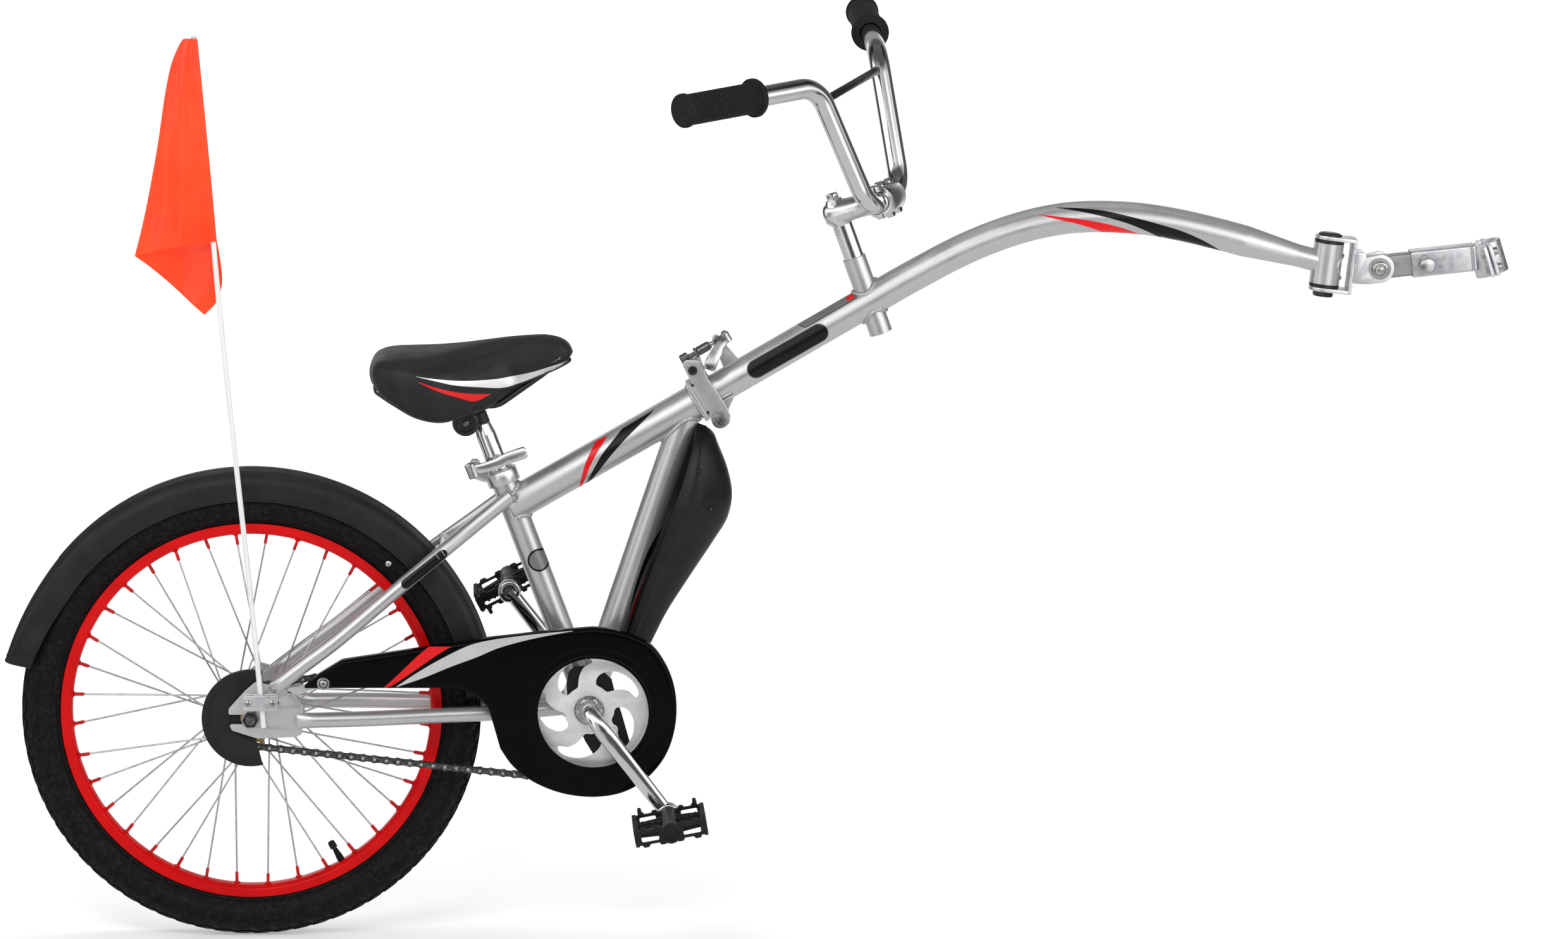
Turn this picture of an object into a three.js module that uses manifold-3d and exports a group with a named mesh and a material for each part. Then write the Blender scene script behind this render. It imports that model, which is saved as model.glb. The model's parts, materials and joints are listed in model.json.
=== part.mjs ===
// A child's trailer bike: one driven 20 inch wheel behind a folding boom that clamps to another bike's seat post.
// Millimetres, +Z up, +X forward. While it is being built the rear axle stands at x = 0 and the frame's middle plane
// is y = 0, with the drive side at -Y. The finished group is then moved so that its origin is under its middle.
import * as THREE from "three";
import { mergeVertices } from "three/addons/utils/BufferGeometryUtils.js";
import Module from "manifold-3d";

const wasm = await Module();
wasm.setup();

// ---------- driving dimensions ----------
const GAP = 0.3; // clearance between neighbouring pieces
const TYRE_R = 252.5, RIM_R = 209, RIM_IN = 196.6; // 20 x 1.95 tyre on a 406 rim
const AXLE = [0, TYRE_R]; // rear axle, x and z
const BB = [370.4, 257.9]; // crank axis
const CRANK = 140, CRANK_TURN = -0.91; // crank length and the right arm's direction
const PITCH = 12.7, RING_TEETH = 40, COG_TEETH = 16, CHAIN_Y = -43;
const MAIN_R = 19.05, SEAT_R = 14.3, DOWN_R = 15.9, BOOM_R = 17.45, HEAD_R = 16.5;
const SEAT_STAY_R = 8, CHAIN_STAY_R = 8.5;
const POST_R = 11.1, QUILL_R = 11.1, BAR_R = 11.1, BAR_TUBE_R = 12.9, BAR_TUBE_BORE = 11.4;
const TUBE_ANGLE = 29.6; // rise of the main tube, degrees
const HINGE = [494, 596]; // where the tube's axis crosses the fold's seam
const HEAD = [1181.65, 742.95], HEAD_LEAN = 6.7, HEAD_LEN = 45.6;
const PITCH_PIN = [1238.5, 738.3], HITCH_RISE = 6; // hitch's cross bolt, and the coupler's upward tilt
const POST_CLAMP = [1359.5, 748], POST_CLAMP_LEAN = 17.6, POST_CLAMP_BORE = 13.6;
const STEERER = [661.9, 751.7], STEERER_LEAN = 19.8; // top of the bar tube and its lean
const BAR_TURN = -24.5, BAR_ROLL = 16.75, BAR_DIP = -2.2; // the bar is turned to the right at rest
const POLE_Y = -65.2;

// ---------- small geometry helpers ----------
const rad = THREE.MathUtils.degToRad;
const V = (x, y, z) => new THREE.Vector3(x, y, z);
const P = (a, y = 0) => V(a[0], y, a[1]); // a point of the side view, put at y
const along = (a, d, t) => a.clone().addScaledVector(d, t);

// A closed three.js geometry as a solid that can be joined and cut.
function solid(g) {
  const flat = g.index ? g.toNonIndexed() : g;
  const bare = new THREE.BufferGeometry().setAttribute("position", flat.getAttribute("position"));
  const m = mergeVertices(bare, 2e-3);
  const t = [];
  const idx = m.index.array;
  for (let i = 0; i < idx.length; i += 3) {
    const [a, b, c] = [idx[i], idx[i + 1], idx[i + 2]];
    if (a !== b && b !== c && a !== c) t.push(a, b, c);
  }
  const make = (tri) =>
    new wasm.Manifold(
      new wasm.Mesh({ numProp: 3, vertProperties: new Float32Array(m.attributes.position.array), triVerts: new Uint32Array(tri) }),
    );
  let s = make(t);
  if (s.volume() < 0) {
    for (let i = 0; i < t.length; i += 3) [t[i + 1], t[i + 2]] = [t[i + 2], t[i + 1]];
    s = make(t);
  }
  return s;
}
function geometry(s) {
  const m = s.getMesh(), n = m.numProp, v = new Float32Array(m.numVert * 3);
  for (let i = 0; i < m.numVert; i++) v.set(m.vertProperties.subarray(i * n, i * n + 3), i * 3);
  const g = new THREE.BufferGeometry().setAttribute("position", new THREE.BufferAttribute(v, 3));
  g.setIndex(new THREE.BufferAttribute(new Uint32Array(m.triVerts), 1));
  g.computeVertexNormals();
  return g;
}
const join = (first, ...rest) => rest.reduce((a, b) => a.add(b), first);
const cut = (first, ...rest) => rest.reduce((a, b) => a.subtract(b), first);

// Round bar from a to b, r at a and r2 at b.
function rod(a, b, r, n = 16, r2 = r) {
  const d = b.clone().sub(a), g = new THREE.CylinderGeometry(r2, r, d.length(), n);
  g.applyQuaternion(new THREE.Quaternion().setFromUnitVectors(V(0, 1, 0), d.normalize()));
  const mid = a.clone().add(b).multiplyScalar(0.5);
  return solid(g.translate(mid.x, mid.y, mid.z));
}
const pipe = (a, b, r, bore, n = 16) => {
  const d = b.clone().sub(a).normalize();
  return cut(rod(a, b, r, n), rod(along(a, d, -1), along(b, d, 1), bore, n));
};
const crossRod = (p, y0, y1, r, n = 16) => rod(P(p, y0), P(p, y1), r, n);
function block(x0, x1, y0, y1, z0, z1) {
  return solid(new THREE.BoxGeometry(x1 - x0, y1 - y0, z1 - z0).translate((x0 + x1) / 2, (y0 + y1) / 2, (z0 + z1) / 2));
}
// A flat plate with a side-view outline, between y0 and y1.
function plate(points, y0, y1, holes = []) {
  const s = new THREE.Shape(points.map((p) => new THREE.Vector2(p[0], p[1])));
  for (const h of holes) s.holes.push(new THREE.Path(h.map((p) => new THREE.Vector2(p[0], p[1]))));
  const g = new THREE.ExtrudeGeometry(s, { depth: y1 - y0, bevelEnabled: false, steps: 1 });
  return solid(g.rotateX(Math.PI / 2).translate(0, y1, 0));
}
const circle = (c, r, n, a0 = 0) => Array.from({ length: n }, (_, i) => [c[0] + r * Math.cos(a0 + (i * 2 * Math.PI) / n), c[1] + r * Math.sin(a0 + (i * 2 * Math.PI) / n)]);
// A tube of one section along a curve.
function sweep(points, r, n, steps, tension = 0.5) {
  const curve = new THREE.CatmullRomCurve3(points, false, "catmullrom", tension);
  const s = new THREE.Shape(circle([0, 0], r, n).map((p) => new THREE.Vector2(p[0], p[1])));
  return solid(new THREE.ExtrudeGeometry(s, { extrudePath: curve, steps, bevelEnabled: false }));
}
// A ring turned about a cross axis through c. Its profile is a closed list of [radius, y].
function turned(profile, c, n) {
  const p = [...profile, profile[0]].map((q) => new THREE.Vector2(q[0], q[1]));
  return solid(new THREE.LatheGeometry(p, n).translate(c[0], 0, c[1]));
}
// A skin through rings of points, all with the same count, closed at both ends by flat caps.
function loft(rings) {
  const n = rings[0].length, pos = [], tri = [];
  rings.forEach((r) => r.forEach((p) => pos.push(p.x, p.y, p.z)));
  for (let k = 0; k + 1 < rings.length; k++)
    for (let i = 0; i < n; i++) {
      const j = (i + 1) % n, a = k * n + i, b = k * n + j, c = (k + 1) * n + i, d = (k + 1) * n + j;
      tri.push(a, b, d, a, d, c);
    }
  const cap = (k, turn) => {
    const r = rings[k], o = r[0];
    let e1 = V(0, 0, 0), nrm = V(0, 0, 0);
    for (let i = 1; i + 1 < n; i++) nrm.add(r[i].clone().sub(o).cross(r[i + 1].clone().sub(o)));
    nrm.normalize();
    e1 = r[1].clone().sub(o).normalize();
    const e2 = nrm.clone().cross(e1);
    const flat = r.map((p) => new THREE.Vector2(p.clone().sub(o).dot(e1), p.clone().sub(o).dot(e2)));
    for (const f of THREE.ShapeUtils.triangulateShape(flat, [])) {
      const [a, b, c] = f.map((i) => k * n + i);
      turn ? tri.push(a, c, b) : tri.push(a, b, c);
    }
  };
  cap(0, true);
  cap(rings.length - 1, false);
  const g = new THREE.BufferGeometry().setAttribute("position", new THREE.Float32BufferAttribute(pos, 3));
  g.setIndex(tri);
  return solid(g);
}
// Points of a path with rounded corners: corner radius r, k steps in each bend.
function rounded(points, r, k = 5) {
  const out = [points[0]];
  for (let i = 1; i + 1 < points.length; i++) {
    const p = points[i], a = points[i - 1].clone().sub(p).normalize(), b = points[i + 1].clone().sub(p).normalize();
    const half = a.angleTo(b) / 2, d = r / Math.tan(half);
    const s = along(p, a, d), e = along(p, b, d), c = along(p, a.clone().add(b).normalize(), r / Math.sin(half));
    for (let j = 0; j <= k; j++) {
      const m = s.clone().sub(c), q = e.clone().sub(c), w = m.angleTo(q), f = j / k;
      out.push(c.clone().addScaledVector(m, Math.sin((1 - f) * w) / Math.sin(w)).addScaledVector(q, Math.sin(f * w) / Math.sin(w)));
    }
  }
  out.push(points[points.length - 1]);
  return out;
}
// A round tube whose radius changes along a list of points in the side view.
function taperedTube(points, radii, n) {
  return loft(
    points.map((p, i) => {
      const a = points[Math.max(0, i - 1)], b = points[Math.min(points.length - 1, i + 1)];
      const t = V(b[0] - a[0], 0, b[1] - a[1]).normalize(), up = V(-t.z, 0, t.x);
      return Array.from({ length: n }, (_, j) => {
        const w = (j * 2 * Math.PI) / n;
        return V(p[0], 0, p[1]).addScaledVector(up, radii[i] * Math.cos(w)).addScaledVector(V(0, 1, 0), radii[i] * Math.sin(w));
      });
    }),
  );
}

// ---------- materials ----------
const paint = (color, roughness, metalness) => new THREE.MeshStandardMaterial({ color, roughness, metalness });
const M = {
  silver: paint(0xb9bbbd, 0.3, 0.6), chrome: paint(0xdadcde, 0.08, 1), zinc: paint(0xb8bbbe, 0.35, 0.9), black: paint(0x111113, 0.45, 0),
  gloss: paint(0x08080a, 0.12, 0), satin: paint(0x2b2c2e, 0.5, 0), rubber: paint(0x151516, 0.8, 0), red: paint(0xc40408, 0.35, 0.1),
  steel: paint(0x4a4845, 0.4, 0.9), brass: paint(0x8d6b3a, 0.4, 0.8), vinyl: paint(0x141415, 0.42, 0), orange: paint(0xf2500a, 0.4, 0),
  white: paint(0xeeeeea, 0.45, 0), alloy: paint(0xc4c6c8, 0.3, 0.9),
};
const group = new THREE.Group();
function piece(name, s, material) {
  const m = new THREE.Mesh(geometry(s), material);
  m.name = name;
  group.add(m);
  return s;
}

// ---------- directions used more than once ----------
const toA = (c, a, r) => [c[0] + r * Math.cos(a), c[1] + r * Math.sin(a)];
const tubeDir = V(Math.cos(rad(TUBE_ANGLE)), 0, Math.sin(rad(TUBE_ANGLE)));
const tubeUp = V(-tubeDir.z, 0, tubeDir.x);
const H = (u, v) => [HINGE[0] + tubeDir.x * u + tubeUp.x * v, HINGE[1] + tubeDir.z * u + tubeUp.z * v];
const seatDir = V(-0.3487, 0, 0.9372).normalize();
const seatAt = (t, y = 0) => V(BB[0] + seatDir.x * t, y, BB[1] + seatDir.z * t);
const mainRear = [288.2, 478.9];

// ---------- wheel ----------
const mirrored = (p) => [...p, ...p.slice(0, -1).reverse().map(([r, y]) => [r, -y])];
const tyreOut = mirrored([[204.8, -9.4], [210.2, -10.4], [217, -20.5], [229, -24.3], [245, -17.5], [252.5, 0]]);
const tyreIn = mirrored([[204.8, -6.6], [216, -16], [231, -20.7], [249.3, 0]]).reverse();
piece("tyre", turned([...tyreOut, ...tyreIn], AXLE, 44), M.rubber);
const VALVE = rad(-60.4);
const valve = (r, from, to, n) => rod(P(toA(AXLE, VALVE, from)), P(toA(AXLE, VALVE, to)), r, n);
// The inner tube with its valve, which comes out through a hole in the rim.
piece("inner_tube", join(turned(circle([229, 0], 15.5, 6), AXLE, 32), valve(3.1, 216, 183, 8), valve(4, 184, 172, 8)), M.rubber);
piece("rim", cut(turned([[209, -12.6], [209, -10.6], [203, -9.9], [203, 9.9], [209, 10.6], [209, 12.6], [201, 12.6], [196.6, 6.5], [196.6, -6.5], [201, -12.6]], AXLE, 48), valve(3.6, 220, 190, 8)), M.red);
piece(
  "hub_shell",
  turned([[5.4, -36], [5.4, 40], [12, 40], [13, 22.4], [26, 22.4], [26, 19.6], [16, 17], [14, 0], [16, -17], [26, -19.6], [26, -22.4], [15, -22.4], [15, -36]], AXLE, 18),
  M.alloy,
);
for (const [name, side, phase] of [["spokes_right", -1, -65.4], ["spokes_left", 1, -55.4]]) {
  // every other spoke leans the other way and lies on the other face of its crossing
  let s = turned([[20.4, side * 23.8], [23.6, side * 23.8], [23.6, side * 28.4], [20.4, side * 28.4]], AXLE, 18);
  for (let k = 0; k < 18; k++) {
    const rimEnd = rad(phase + 20 * k), turn = k % 2 ? 1 : -1, hubEnd = rimEnd + turn * rad(62);
    s = s.add(rod(P(toA(AXLE, hubEnd, 21.6), side * (26.1 + 1.1 * turn)), P(toA(AXLE, rimEnd, 195.7), side * (3 + 1.2 * turn)), 1.05, 4));
  }
  piece(name, s, M.alloy);
}
// Axle with its cones, locknuts and outer nuts, threaded on as one.
piece(
  "rear_axle",
  turned([[0, -71], [5, -71], [5, -67], [9.4, -67], [9.4, -59.4], [5, -59.4], [5, -54.7], [10, -54.7], [10, -50.6], [5, -50.6], [5, 40.6], [9, 41], [10, 54.7], [5, 54.7], [5, 59.4], [9.4, 59.4], [9.4, 67], [5, 67], [5, 71], [0, 71]], AXLE, 12),
  M.steel,
);

// ---------- chain drive ----------
const pitchR = (z) => PITCH / 2 / Math.sin(Math.PI / z);
const RING_R = pitchR(RING_TEETH), COG_R = pitchR(COG_TEETH);
function toothed(c, z, phase) {
  const r = pitchR(z), out = [];
  for (let i = 0; i < z; i++)
    for (const [f, q] of [[-0.5, r - 4], [-0.12, r + 2.6], [0.12, r + 2.6]]) out.push(toA(c, phase + ((i + f) * 2 * Math.PI) / z, q));
  return out;
}
// The loop that a belt makes round both sprockets, off by d from the pitch line.
function loop(d, n = 15) {
  const R = RING_R + d, r = COG_R + d, dx = BB[0] - AXLE[0], dz = BB[1] - AXLE[1], C = Math.hypot(dx, dz);
  const base = Math.atan2(dz, dx), lean = Math.asin((R - r) / C), out = [];
  const a0 = base - Math.PI / 2 - lean, a1 = base + Math.PI / 2 + lean;
  for (let i = 0; i <= n; i++) out.push(toA(BB, a0 + ((a1 - a0) * i) / n, R));
  const m = Math.round(n * 0.6);
  for (let i = 0; i <= m; i++) out.push(toA(AXLE, a1 + ((a0 + 2 * Math.PI - a1) * i) / m, r));
  return out;
}
const chainBand = plate(loop(4.3), CHAIN_Y - 4, CHAIN_Y + 4, [loop(-4.3).reverse()]);
const chainSlot = plate(loop(3.4), CHAIN_Y - 2.2, CHAIN_Y + 2.2, [loop(-6).reverse()]);
piece("chain", cut(chainBand, chainSlot), M.steel);
// one curved window of the chainring: [radius, degrees back from its tip]
const WINDOW = [[29, 60], [27.6, 45], [27.8, 31], [33, 25], [39.5, 19.5], [47.5, 11], [53.3, 0], [57, 4], [57.6, 13], [55.4, 28], [50, 44], [42.8, 56.5], [36, 62]];
const swirl = (tip) => WINDOW.map(([r, a]) => toA(BB, tip + rad(a), r)).reverse();
piece(
  "chainring",
  join(plate(toothed(BB, RING_TEETH, 0.05), CHAIN_Y - 1.2, CHAIN_Y + 1.2, [circle(BB, 11.5, 18), ...[86, 14, -58, -130, -202].map((a) => swirl(rad(a)))]), crossRod(toA(BB, rad(-42), 34), CHAIN_Y - 13, CHAIN_Y, 4.5, 12)),
  M.chrome,
);
piece("rear_cog", cut(join(plate(toothed(AXLE, COG_TEETH, 0.1), CHAIN_Y - 1.2, CHAIN_Y + 1.2), crossRod(AXLE, -49.6, -36.6, 20, 14)), crossRod(AXLE, -60, -30, 5.6, 12)), M.brass);

// ---------- one-piece crank, cups and pedals ----------
const arm = (s, y) => V(BB[0] + s * Math.cos(CRANK_TURN), y, BB[1] + s * Math.sin(CRANK_TURN));
{
  const path = [[140, -79], [100, -77], [55, -74.5], [24, -71], [8, -65], [0, -54], [0, -30], [0, 30], [0, 54], [-8, 65], [-24, 71], [-55, 74.5], [-100, 77], [-140, 79]].map(([s, y]) => arm(s, y));
  const end = (s, side) => rod(arm(s, side * 72), arm(s, side * 86), 13, 18);
  const hole = (s, side) => rod(arm(s, side * 60), arm(s, side * 95), 7.3, 14);
  piece("crank", cut(join(sweep(path, 8, 8, 34), rod(arm(0, -54), arm(0, 54), 11, 20), rod(arm(0, -57), arm(0, -45.6), 15, 20), rod(arm(0, 40), arm(0, 48), 15, 6), end(CRANK, -1), end(-CRANK, 1)), hole(CRANK, -1), hole(-CRANK, 1)), M.chrome);
}
piece("bb_shell", pipe(P(BB, -34), P(BB, 34), 28, 25.4, 24), M.silver);
for (const [name, s] of [["bb_cup_right", -1], ["bb_cup_left", 1]])
  piece(name, turned([[11.7, s * 24], [11.7, s * 37.4], [24, s * 37.4], [27, s * 36], [27, s * 34.3], [25, s * 34.3], [25, s * 24]], BB, 22), M.chrome);
for (const [name, s, side, tilt] of [["pedal_right", CRANK, -1, 10.3], ["pedal_left", -CRANK, 1, 27]]) {
  const c = arm(s, 0), y0 = side * 91, y1 = side * 176, lo = Math.min(y0, y1), hi = Math.max(y0, y1), win = (x0, x1) => block(x0, x1, lo + 12, hi - 12, -30, 30);
  let body = solid(new THREE.BoxGeometry(80, hi - lo, 22).translate(0, (lo + hi) / 2, 0));
  body = cut(body, win(-32, -12), win(12, 32));
  body = join(body, rod(V(0, lo - 0.001, 0), V(0, hi, 0), 10.6, 12));
  body = join(body, rod(V(0, side * 72, 0), V(0, side * 92, 0), 6.8, 14)); // spindle, screwed into the arm
  const q = new THREE.Matrix4().makeRotationY(-rad(tilt)).setPosition(c.x, 0, c.z);
  piece(name, solid(geometry(body).applyMatrix4(q)), M.black);
}

// ---------- frame tubes ----------
const seatBore = rod(seatAt(-60), seatAt(330), POST_R + GAP, 20);
const mainCyl = (r, back = 5) => rod(along(P(mainRear), tubeDir, -back), P(H(-6.7, 0)), r, 20);
const seatCyl = (r, top = 279) => rod(seatAt(0), seatAt(top), r, 20);
const bbCyl = (r) => crossRod(BB, -80, 80, r, 24);
const downA = V(369, 0, 257.9), downB = V(478.4, 0, 579.3);
const downCyl = (r) => rod(downA, downB, r, 20);
piece("down_tube", cut(downCyl(DOWN_R), rod(downA, along(downB, downB.clone().sub(downA).normalize(), 5), DOWN_R - 1.8, 14), mainCyl(MAIN_R + GAP), bbCyl(28 + GAP)), M.silver);
piece("seat_tube", cut(seatCyl(SEAT_R), seatBore, downCyl(DOWN_R + GAP), bbCyl(28 + GAP)), M.silver);
piece("main_tube", cut(mainCyl(MAIN_R), rod(P(mainRear), P(H(0, 0)), MAIN_R - 2, 16), seatCyl(SEAT_R + GAP, 340)), M.silver);

// Dropouts: plates with a slot that opens to the rear for the axle.
const dropOutline = [[-23.6, 264.5], [-6, 284], [6.3, 294.6], [44.9, 283], [57.7, 266], [56.5, 236], [50, 232.5], [7.4, 231], [-20.1, 240], [-24, 247.3], [2.5, 247.2], [5.9, 250], [5.9, 255], [2.5, 257.8], [-24.5, 257.7]];
const dropTab = [[40, 282], [52, 279], [72, 286.5], [88, 288], [88, 295.4], [72, 295.4], [52, 288.4], [42, 287.5]];
piece("dropout_right", join(plate(dropOutline, -59, -55), plate(dropTab, -59, -56)), M.silver);
piece("dropout_left", plate(dropOutline, 55, 59), M.silver);
const dropClear = (s) => plate([[-40, 225], [-40, 300], [10, 300], [32, 293], [46.5, 284.3], [58.2, 266.4], [58.2, 225]], s < 0 ? -80 : 40, s < 0 ? -40 : 80);
const stayCurves = {};
for (const [side, s] of [["right", -1], ["left", 1]]) {
  const seatPath = [[22, 57.5, 283.5], [58, 56.3, 311], [95.2, 54, 338.6], [156.4, 47, 389.5], [205, 39.2, 429], [238, 28, 454.5], [285, 15.5, 491]].map(([x, y, z]) => V(x, s * y, z));
  const chainPath = [[48, 57.2, 250.5], [120, 53, 251], [190, 41.8, 251.5], [230, 37.2, 252], [262, 32.7, 252.5], [300, 29, 254], [352, 21.5, 257]].map(([x, y, z]) => V(x, s * y, z));
  stayCurves[side] = sweep(seatPath, SEAT_STAY_R + GAP, 10, 16);
  piece("seat_stay_" + side, cut(sweep(seatPath, SEAT_STAY_R, 10, 16), dropClear(s), seatCyl(SEAT_R + GAP, 340), mainCyl(MAIN_R + GAP, 5.4)), M.silver);
  piece("chain_stay_" + side, cut(sweep(chainPath, CHAIN_STAY_R, 10, 16), dropClear(s), bbCyl(28 + GAP)), M.silver);
}
const BRIDGE = [214, 436];
const bridgeIn = V(-BRIDGE[0], 0, TYRE_R - BRIDGE[1]).normalize();
piece("stay_bridge", cut(join(crossRod(BRIDGE, -36, 36, 6, 14), rod(P(BRIDGE), along(P(BRIDGE), bridgeIn, 11.6), 5, 12)), stayCurves.right, stayCurves.left), M.silver);

// Seat clamp collar: a split ring behind which the quick release passes, head and nut on one skewer.
const QR = [246.5, 521.5];
piece(
  "seat_collar",
  cut(
    join(pipe(seatAt(262), seatAt(277), 18.2, SEAT_R + GAP, 18), plate([[239, 529], [262, 520], [266, 508], [258, 505], [239.5, 514]], 2, 10), plate([[239, 529], [262, 520], [266, 508], [258, 505], [239.5, 514]], -10, -2), crossRod(QR, -18, 22, 2.6, 8), crossRod(QR, -19, -9, 6.5, 10), crossRod(QR, 9, 19, 6.5, 6)),
    seatCyl(SEAT_R + GAP, 340),
  ),
  M.alloy,
);
piece(
  "seat_qr_lever",
  join(
    rod(V(245, -25.3, 516).addScaledVector(seatDir, -3), V(245, -25.3, 516).addScaledVector(seatDir, 14), 5.8, 14),
    loft([[243, -25.3, 522.5], [262, -26, 526], [280, -24.5, 533.5], [304, -20, 541]].map(([x, y, z], i) => {
      const hw = [5, 6, 6.5, 7][i], up = V(-0.33, 0, 0.944), out = V(-0.06, 1, 0).normalize();
      return [[-1, -1], [1, -1], [1, 1], [-1, 1]].map(([a, b]) => V(x, y, z).addScaledVector(up, a * hw).addScaledVector(out, b * 1.5));
    })),
  ),
  M.alloy,
);

// ---------- fold hinge and its latch ----------
const HPIN = H(7.4, -28.3);
const cheek = [[0.6, -15.5], [0.6, 21.4], [2.1, 45], [7.3, 48.5], [17, 43.2], [21.8, 39], [18.9, 21.3], [21.3, -15.2], [20.6, -28.9], [15.7, -36.5], [7.4, -38.2], [0.5, -34.5], [-1.5, -27.8]].map(([u, v]) => H(u, v));
const slab = (u0, u1, v0, v1, y0, y1) => plate([H(u0, v0), H(u1, v0), H(u1, v1), H(u0, v1)], y0, y1);
const pinHole = crossRod(HPIN, -60, 60, 4.4, 14);
piece(
  "hinge_bracket",
  cut(join(slab(-6.4, -0.9, -22, 22, -23.5, 23.5), plate(cheek, -23.5, -20), plate(cheek, 20, 23.5), slab(-6.4, 1.2, -16, 22, -23.5, -20), slab(-6.4, 1.2, -16, 22, 20, 23.5), slab(14.2, 19, 34, 42.2, -21, 21), crossRod(H(8.9, 34.7), -26.5, 26.5, 4.8, 14)), pinHole),
  M.silver,
);
piece("hinge_bolt", join(crossRod(HPIN, -26, 27, 4.1, 14), crossRod(HPIN, -31, -23.8, 7.6, 6), crossRod(HPIN, 23.8, 30.5, 7.6, 6)), M.zinc);
const LPIN = H(48, 46.5);
// The boom: hollow, straight behind the bar tube, then arched and tapering to the head tube. A knuckle hangs on the
// fold bolt below its end, and a lug on top, on the far side, carries the latch.
const boomLine = [H(0.3, 0), [627.5, 673.2], [710.6, 721.4], [738.3, 736.7], [765.9, 751.5], [793.6, 764.6], [826, 777.2], [860, 787.2], [896, 793.6], [932.2, 795.2], [975, 792.9], [1015.7, 786.4], [1057, 776.8], [1099.5, 765.2], [1150, 751.2], [1182, 742.9]];
const boomRadii = boomLine.map(([x]) => (x < 1090 ? BOOM_R : Math.max(12.6, BOOM_R - (x - 1090) * 0.085)));
const steerDir = V(-Math.sin(rad(STEERER_LEAN)), 0, Math.cos(rad(STEERER_LEAN)));
const steerAt = (t) => along(P(STEERER), steerDir, t);
const barTubeSolid = (r) => rod(steerAt(-89.3), steerAt(0), r, 20);
const headDir = V(Math.sin(rad(HEAD_LEAN)), 0, Math.cos(rad(HEAD_LEAN))), headFwd = V(headDir.z, 0, -headDir.x);
const headAt = (t, f = 0, y = 0) => along(along(P(HEAD, y), headDir, t), headFwd, f);
const knuckle = join(crossRod(HPIN, -15, 15, 7.3, 16), plate([H(0.4, -21), H(0.4, -14), H(30, -14), H(30, -17), H(14.6, -29)], -15, 15));
const latchLug = plate([[40, 14], [56, 14], [51.5, 49], [49, 52.5], [46, 52.5], [43, 50]].map(([u, v]) => H(u, v)), 4.6, 9.5);
const boomSolid = join(taperedTube(boomLine, boomRadii, 16), knuckle, latchLug);
const boomCore = taperedTube(boomLine.map((p, i) => (i === 0 ? H(-2, 0) : i === boomLine.length - 1 ? [p[0] + 4, p[1] - 1] : p)), boomRadii.map((r) => r - 2.2), 10);
piece(
  "boom_tube",
  cut(boomSolid, boomCore, pinHole, rod(steerAt(-100), steerAt(20), BAR_TUBE_R + GAP, 20), rod(headAt(-40), headAt(40), HEAD_R + GAP, 20), crossRod(LPIN, -20, 20, 2.9, 12)),
  M.silver,
);
piece("bar_tube", pipe(steerAt(-89.3), steerAt(0), BAR_TUBE_R, BAR_TUBE_BORE, 20), M.silver);
piece("head_tube", pipe(headAt(-HEAD_LEN / 2), headAt(HEAD_LEN / 2), HEAD_R, 10.5, 20), M.silver);
// Swing bolt: it pulls the boom shut against the bracket's bar, with a nut at its rear end and a cam head in front.
piece(
  "swing_bolt",
  join(rod(P(H(5, 46.5)), P(H(56, 46.5)), 2.6, 10), rod(P(H(2, 46.5)), P(H(11.6, 46.5)), 6.3, 14), rod(P(H(22.5, 46.5)), P(H(39, 46.5)), 5.2, 14), crossRod(LPIN, -4.3, 4.3, 5, 14), crossRod(LPIN, -6, 9.4, 2.6, 10), slab(54.5, 62, 41.5, 51.5, -7, 4.2)),
  M.zinc,
);
const LEVER_PIN = P(H(58, 46.5), -12.6);
piece(
  "cam_lever",
  join(
    rod(along(LEVER_PIN, tubeUp, -5.5), along(LEVER_PIN, tubeUp, 5.5), 5.2, 14),
    loft([[58, 46.5, -15.5, 5], [48, 43, -21, 5.5], [36, 36, -26.5, 6.5], [24.5, 27, -28.5, 7.5]].map(([u, v, y, w]) => {
      const c = P(H(u, v), y), up = tubeUp.clone().multiplyScalar(0.8).addScaledVector(tubeDir, -0.6), out = V(0, 1, 0).addScaledVector(tubeDir, 0.25).normalize();
      return [[-1, -1], [1, -1], [1, 1], [-1, 1]].map(([a, b]) => c.clone().addScaledVector(up, a * w).addScaledVector(out, b * 1.6));
    })),
  ),
  M.alloy,
);

// ---------- bar, stem and grips ----------
const turnBar = (v) => v.clone().applyAxisAngle(steerDir, rad(BAR_TURN));
const barFwd0 = turnBar(V(Math.cos(rad(BAR_ROLL)), 0, Math.sin(rad(BAR_ROLL))));
const dip = (v) => v.clone().applyAxisAngle(barFwd0, rad(BAR_DIP));
const barSide = dip(turnBar(V(0, 1, 0))), barUp = dip(turnBar(V(-Math.sin(rad(BAR_ROLL)), 0, Math.cos(rad(BAR_ROLL))))), barBack = barFwd0.clone().negate();
const BAR_C = steerAt(72.8).add(turnBar(V(61.8, 0, 0)));
const bar = (s, h, b) => BAR_C.clone().addScaledVector(barSide, s).addScaledVector(barUp, h).addScaledVector(barBack, b);
const half = (s) => [[50, 0, 0], [93.8, 148, 0], [268, 175.8, 78.3]].map(([a, h, b]) => bar(s * a, h, b));
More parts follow.
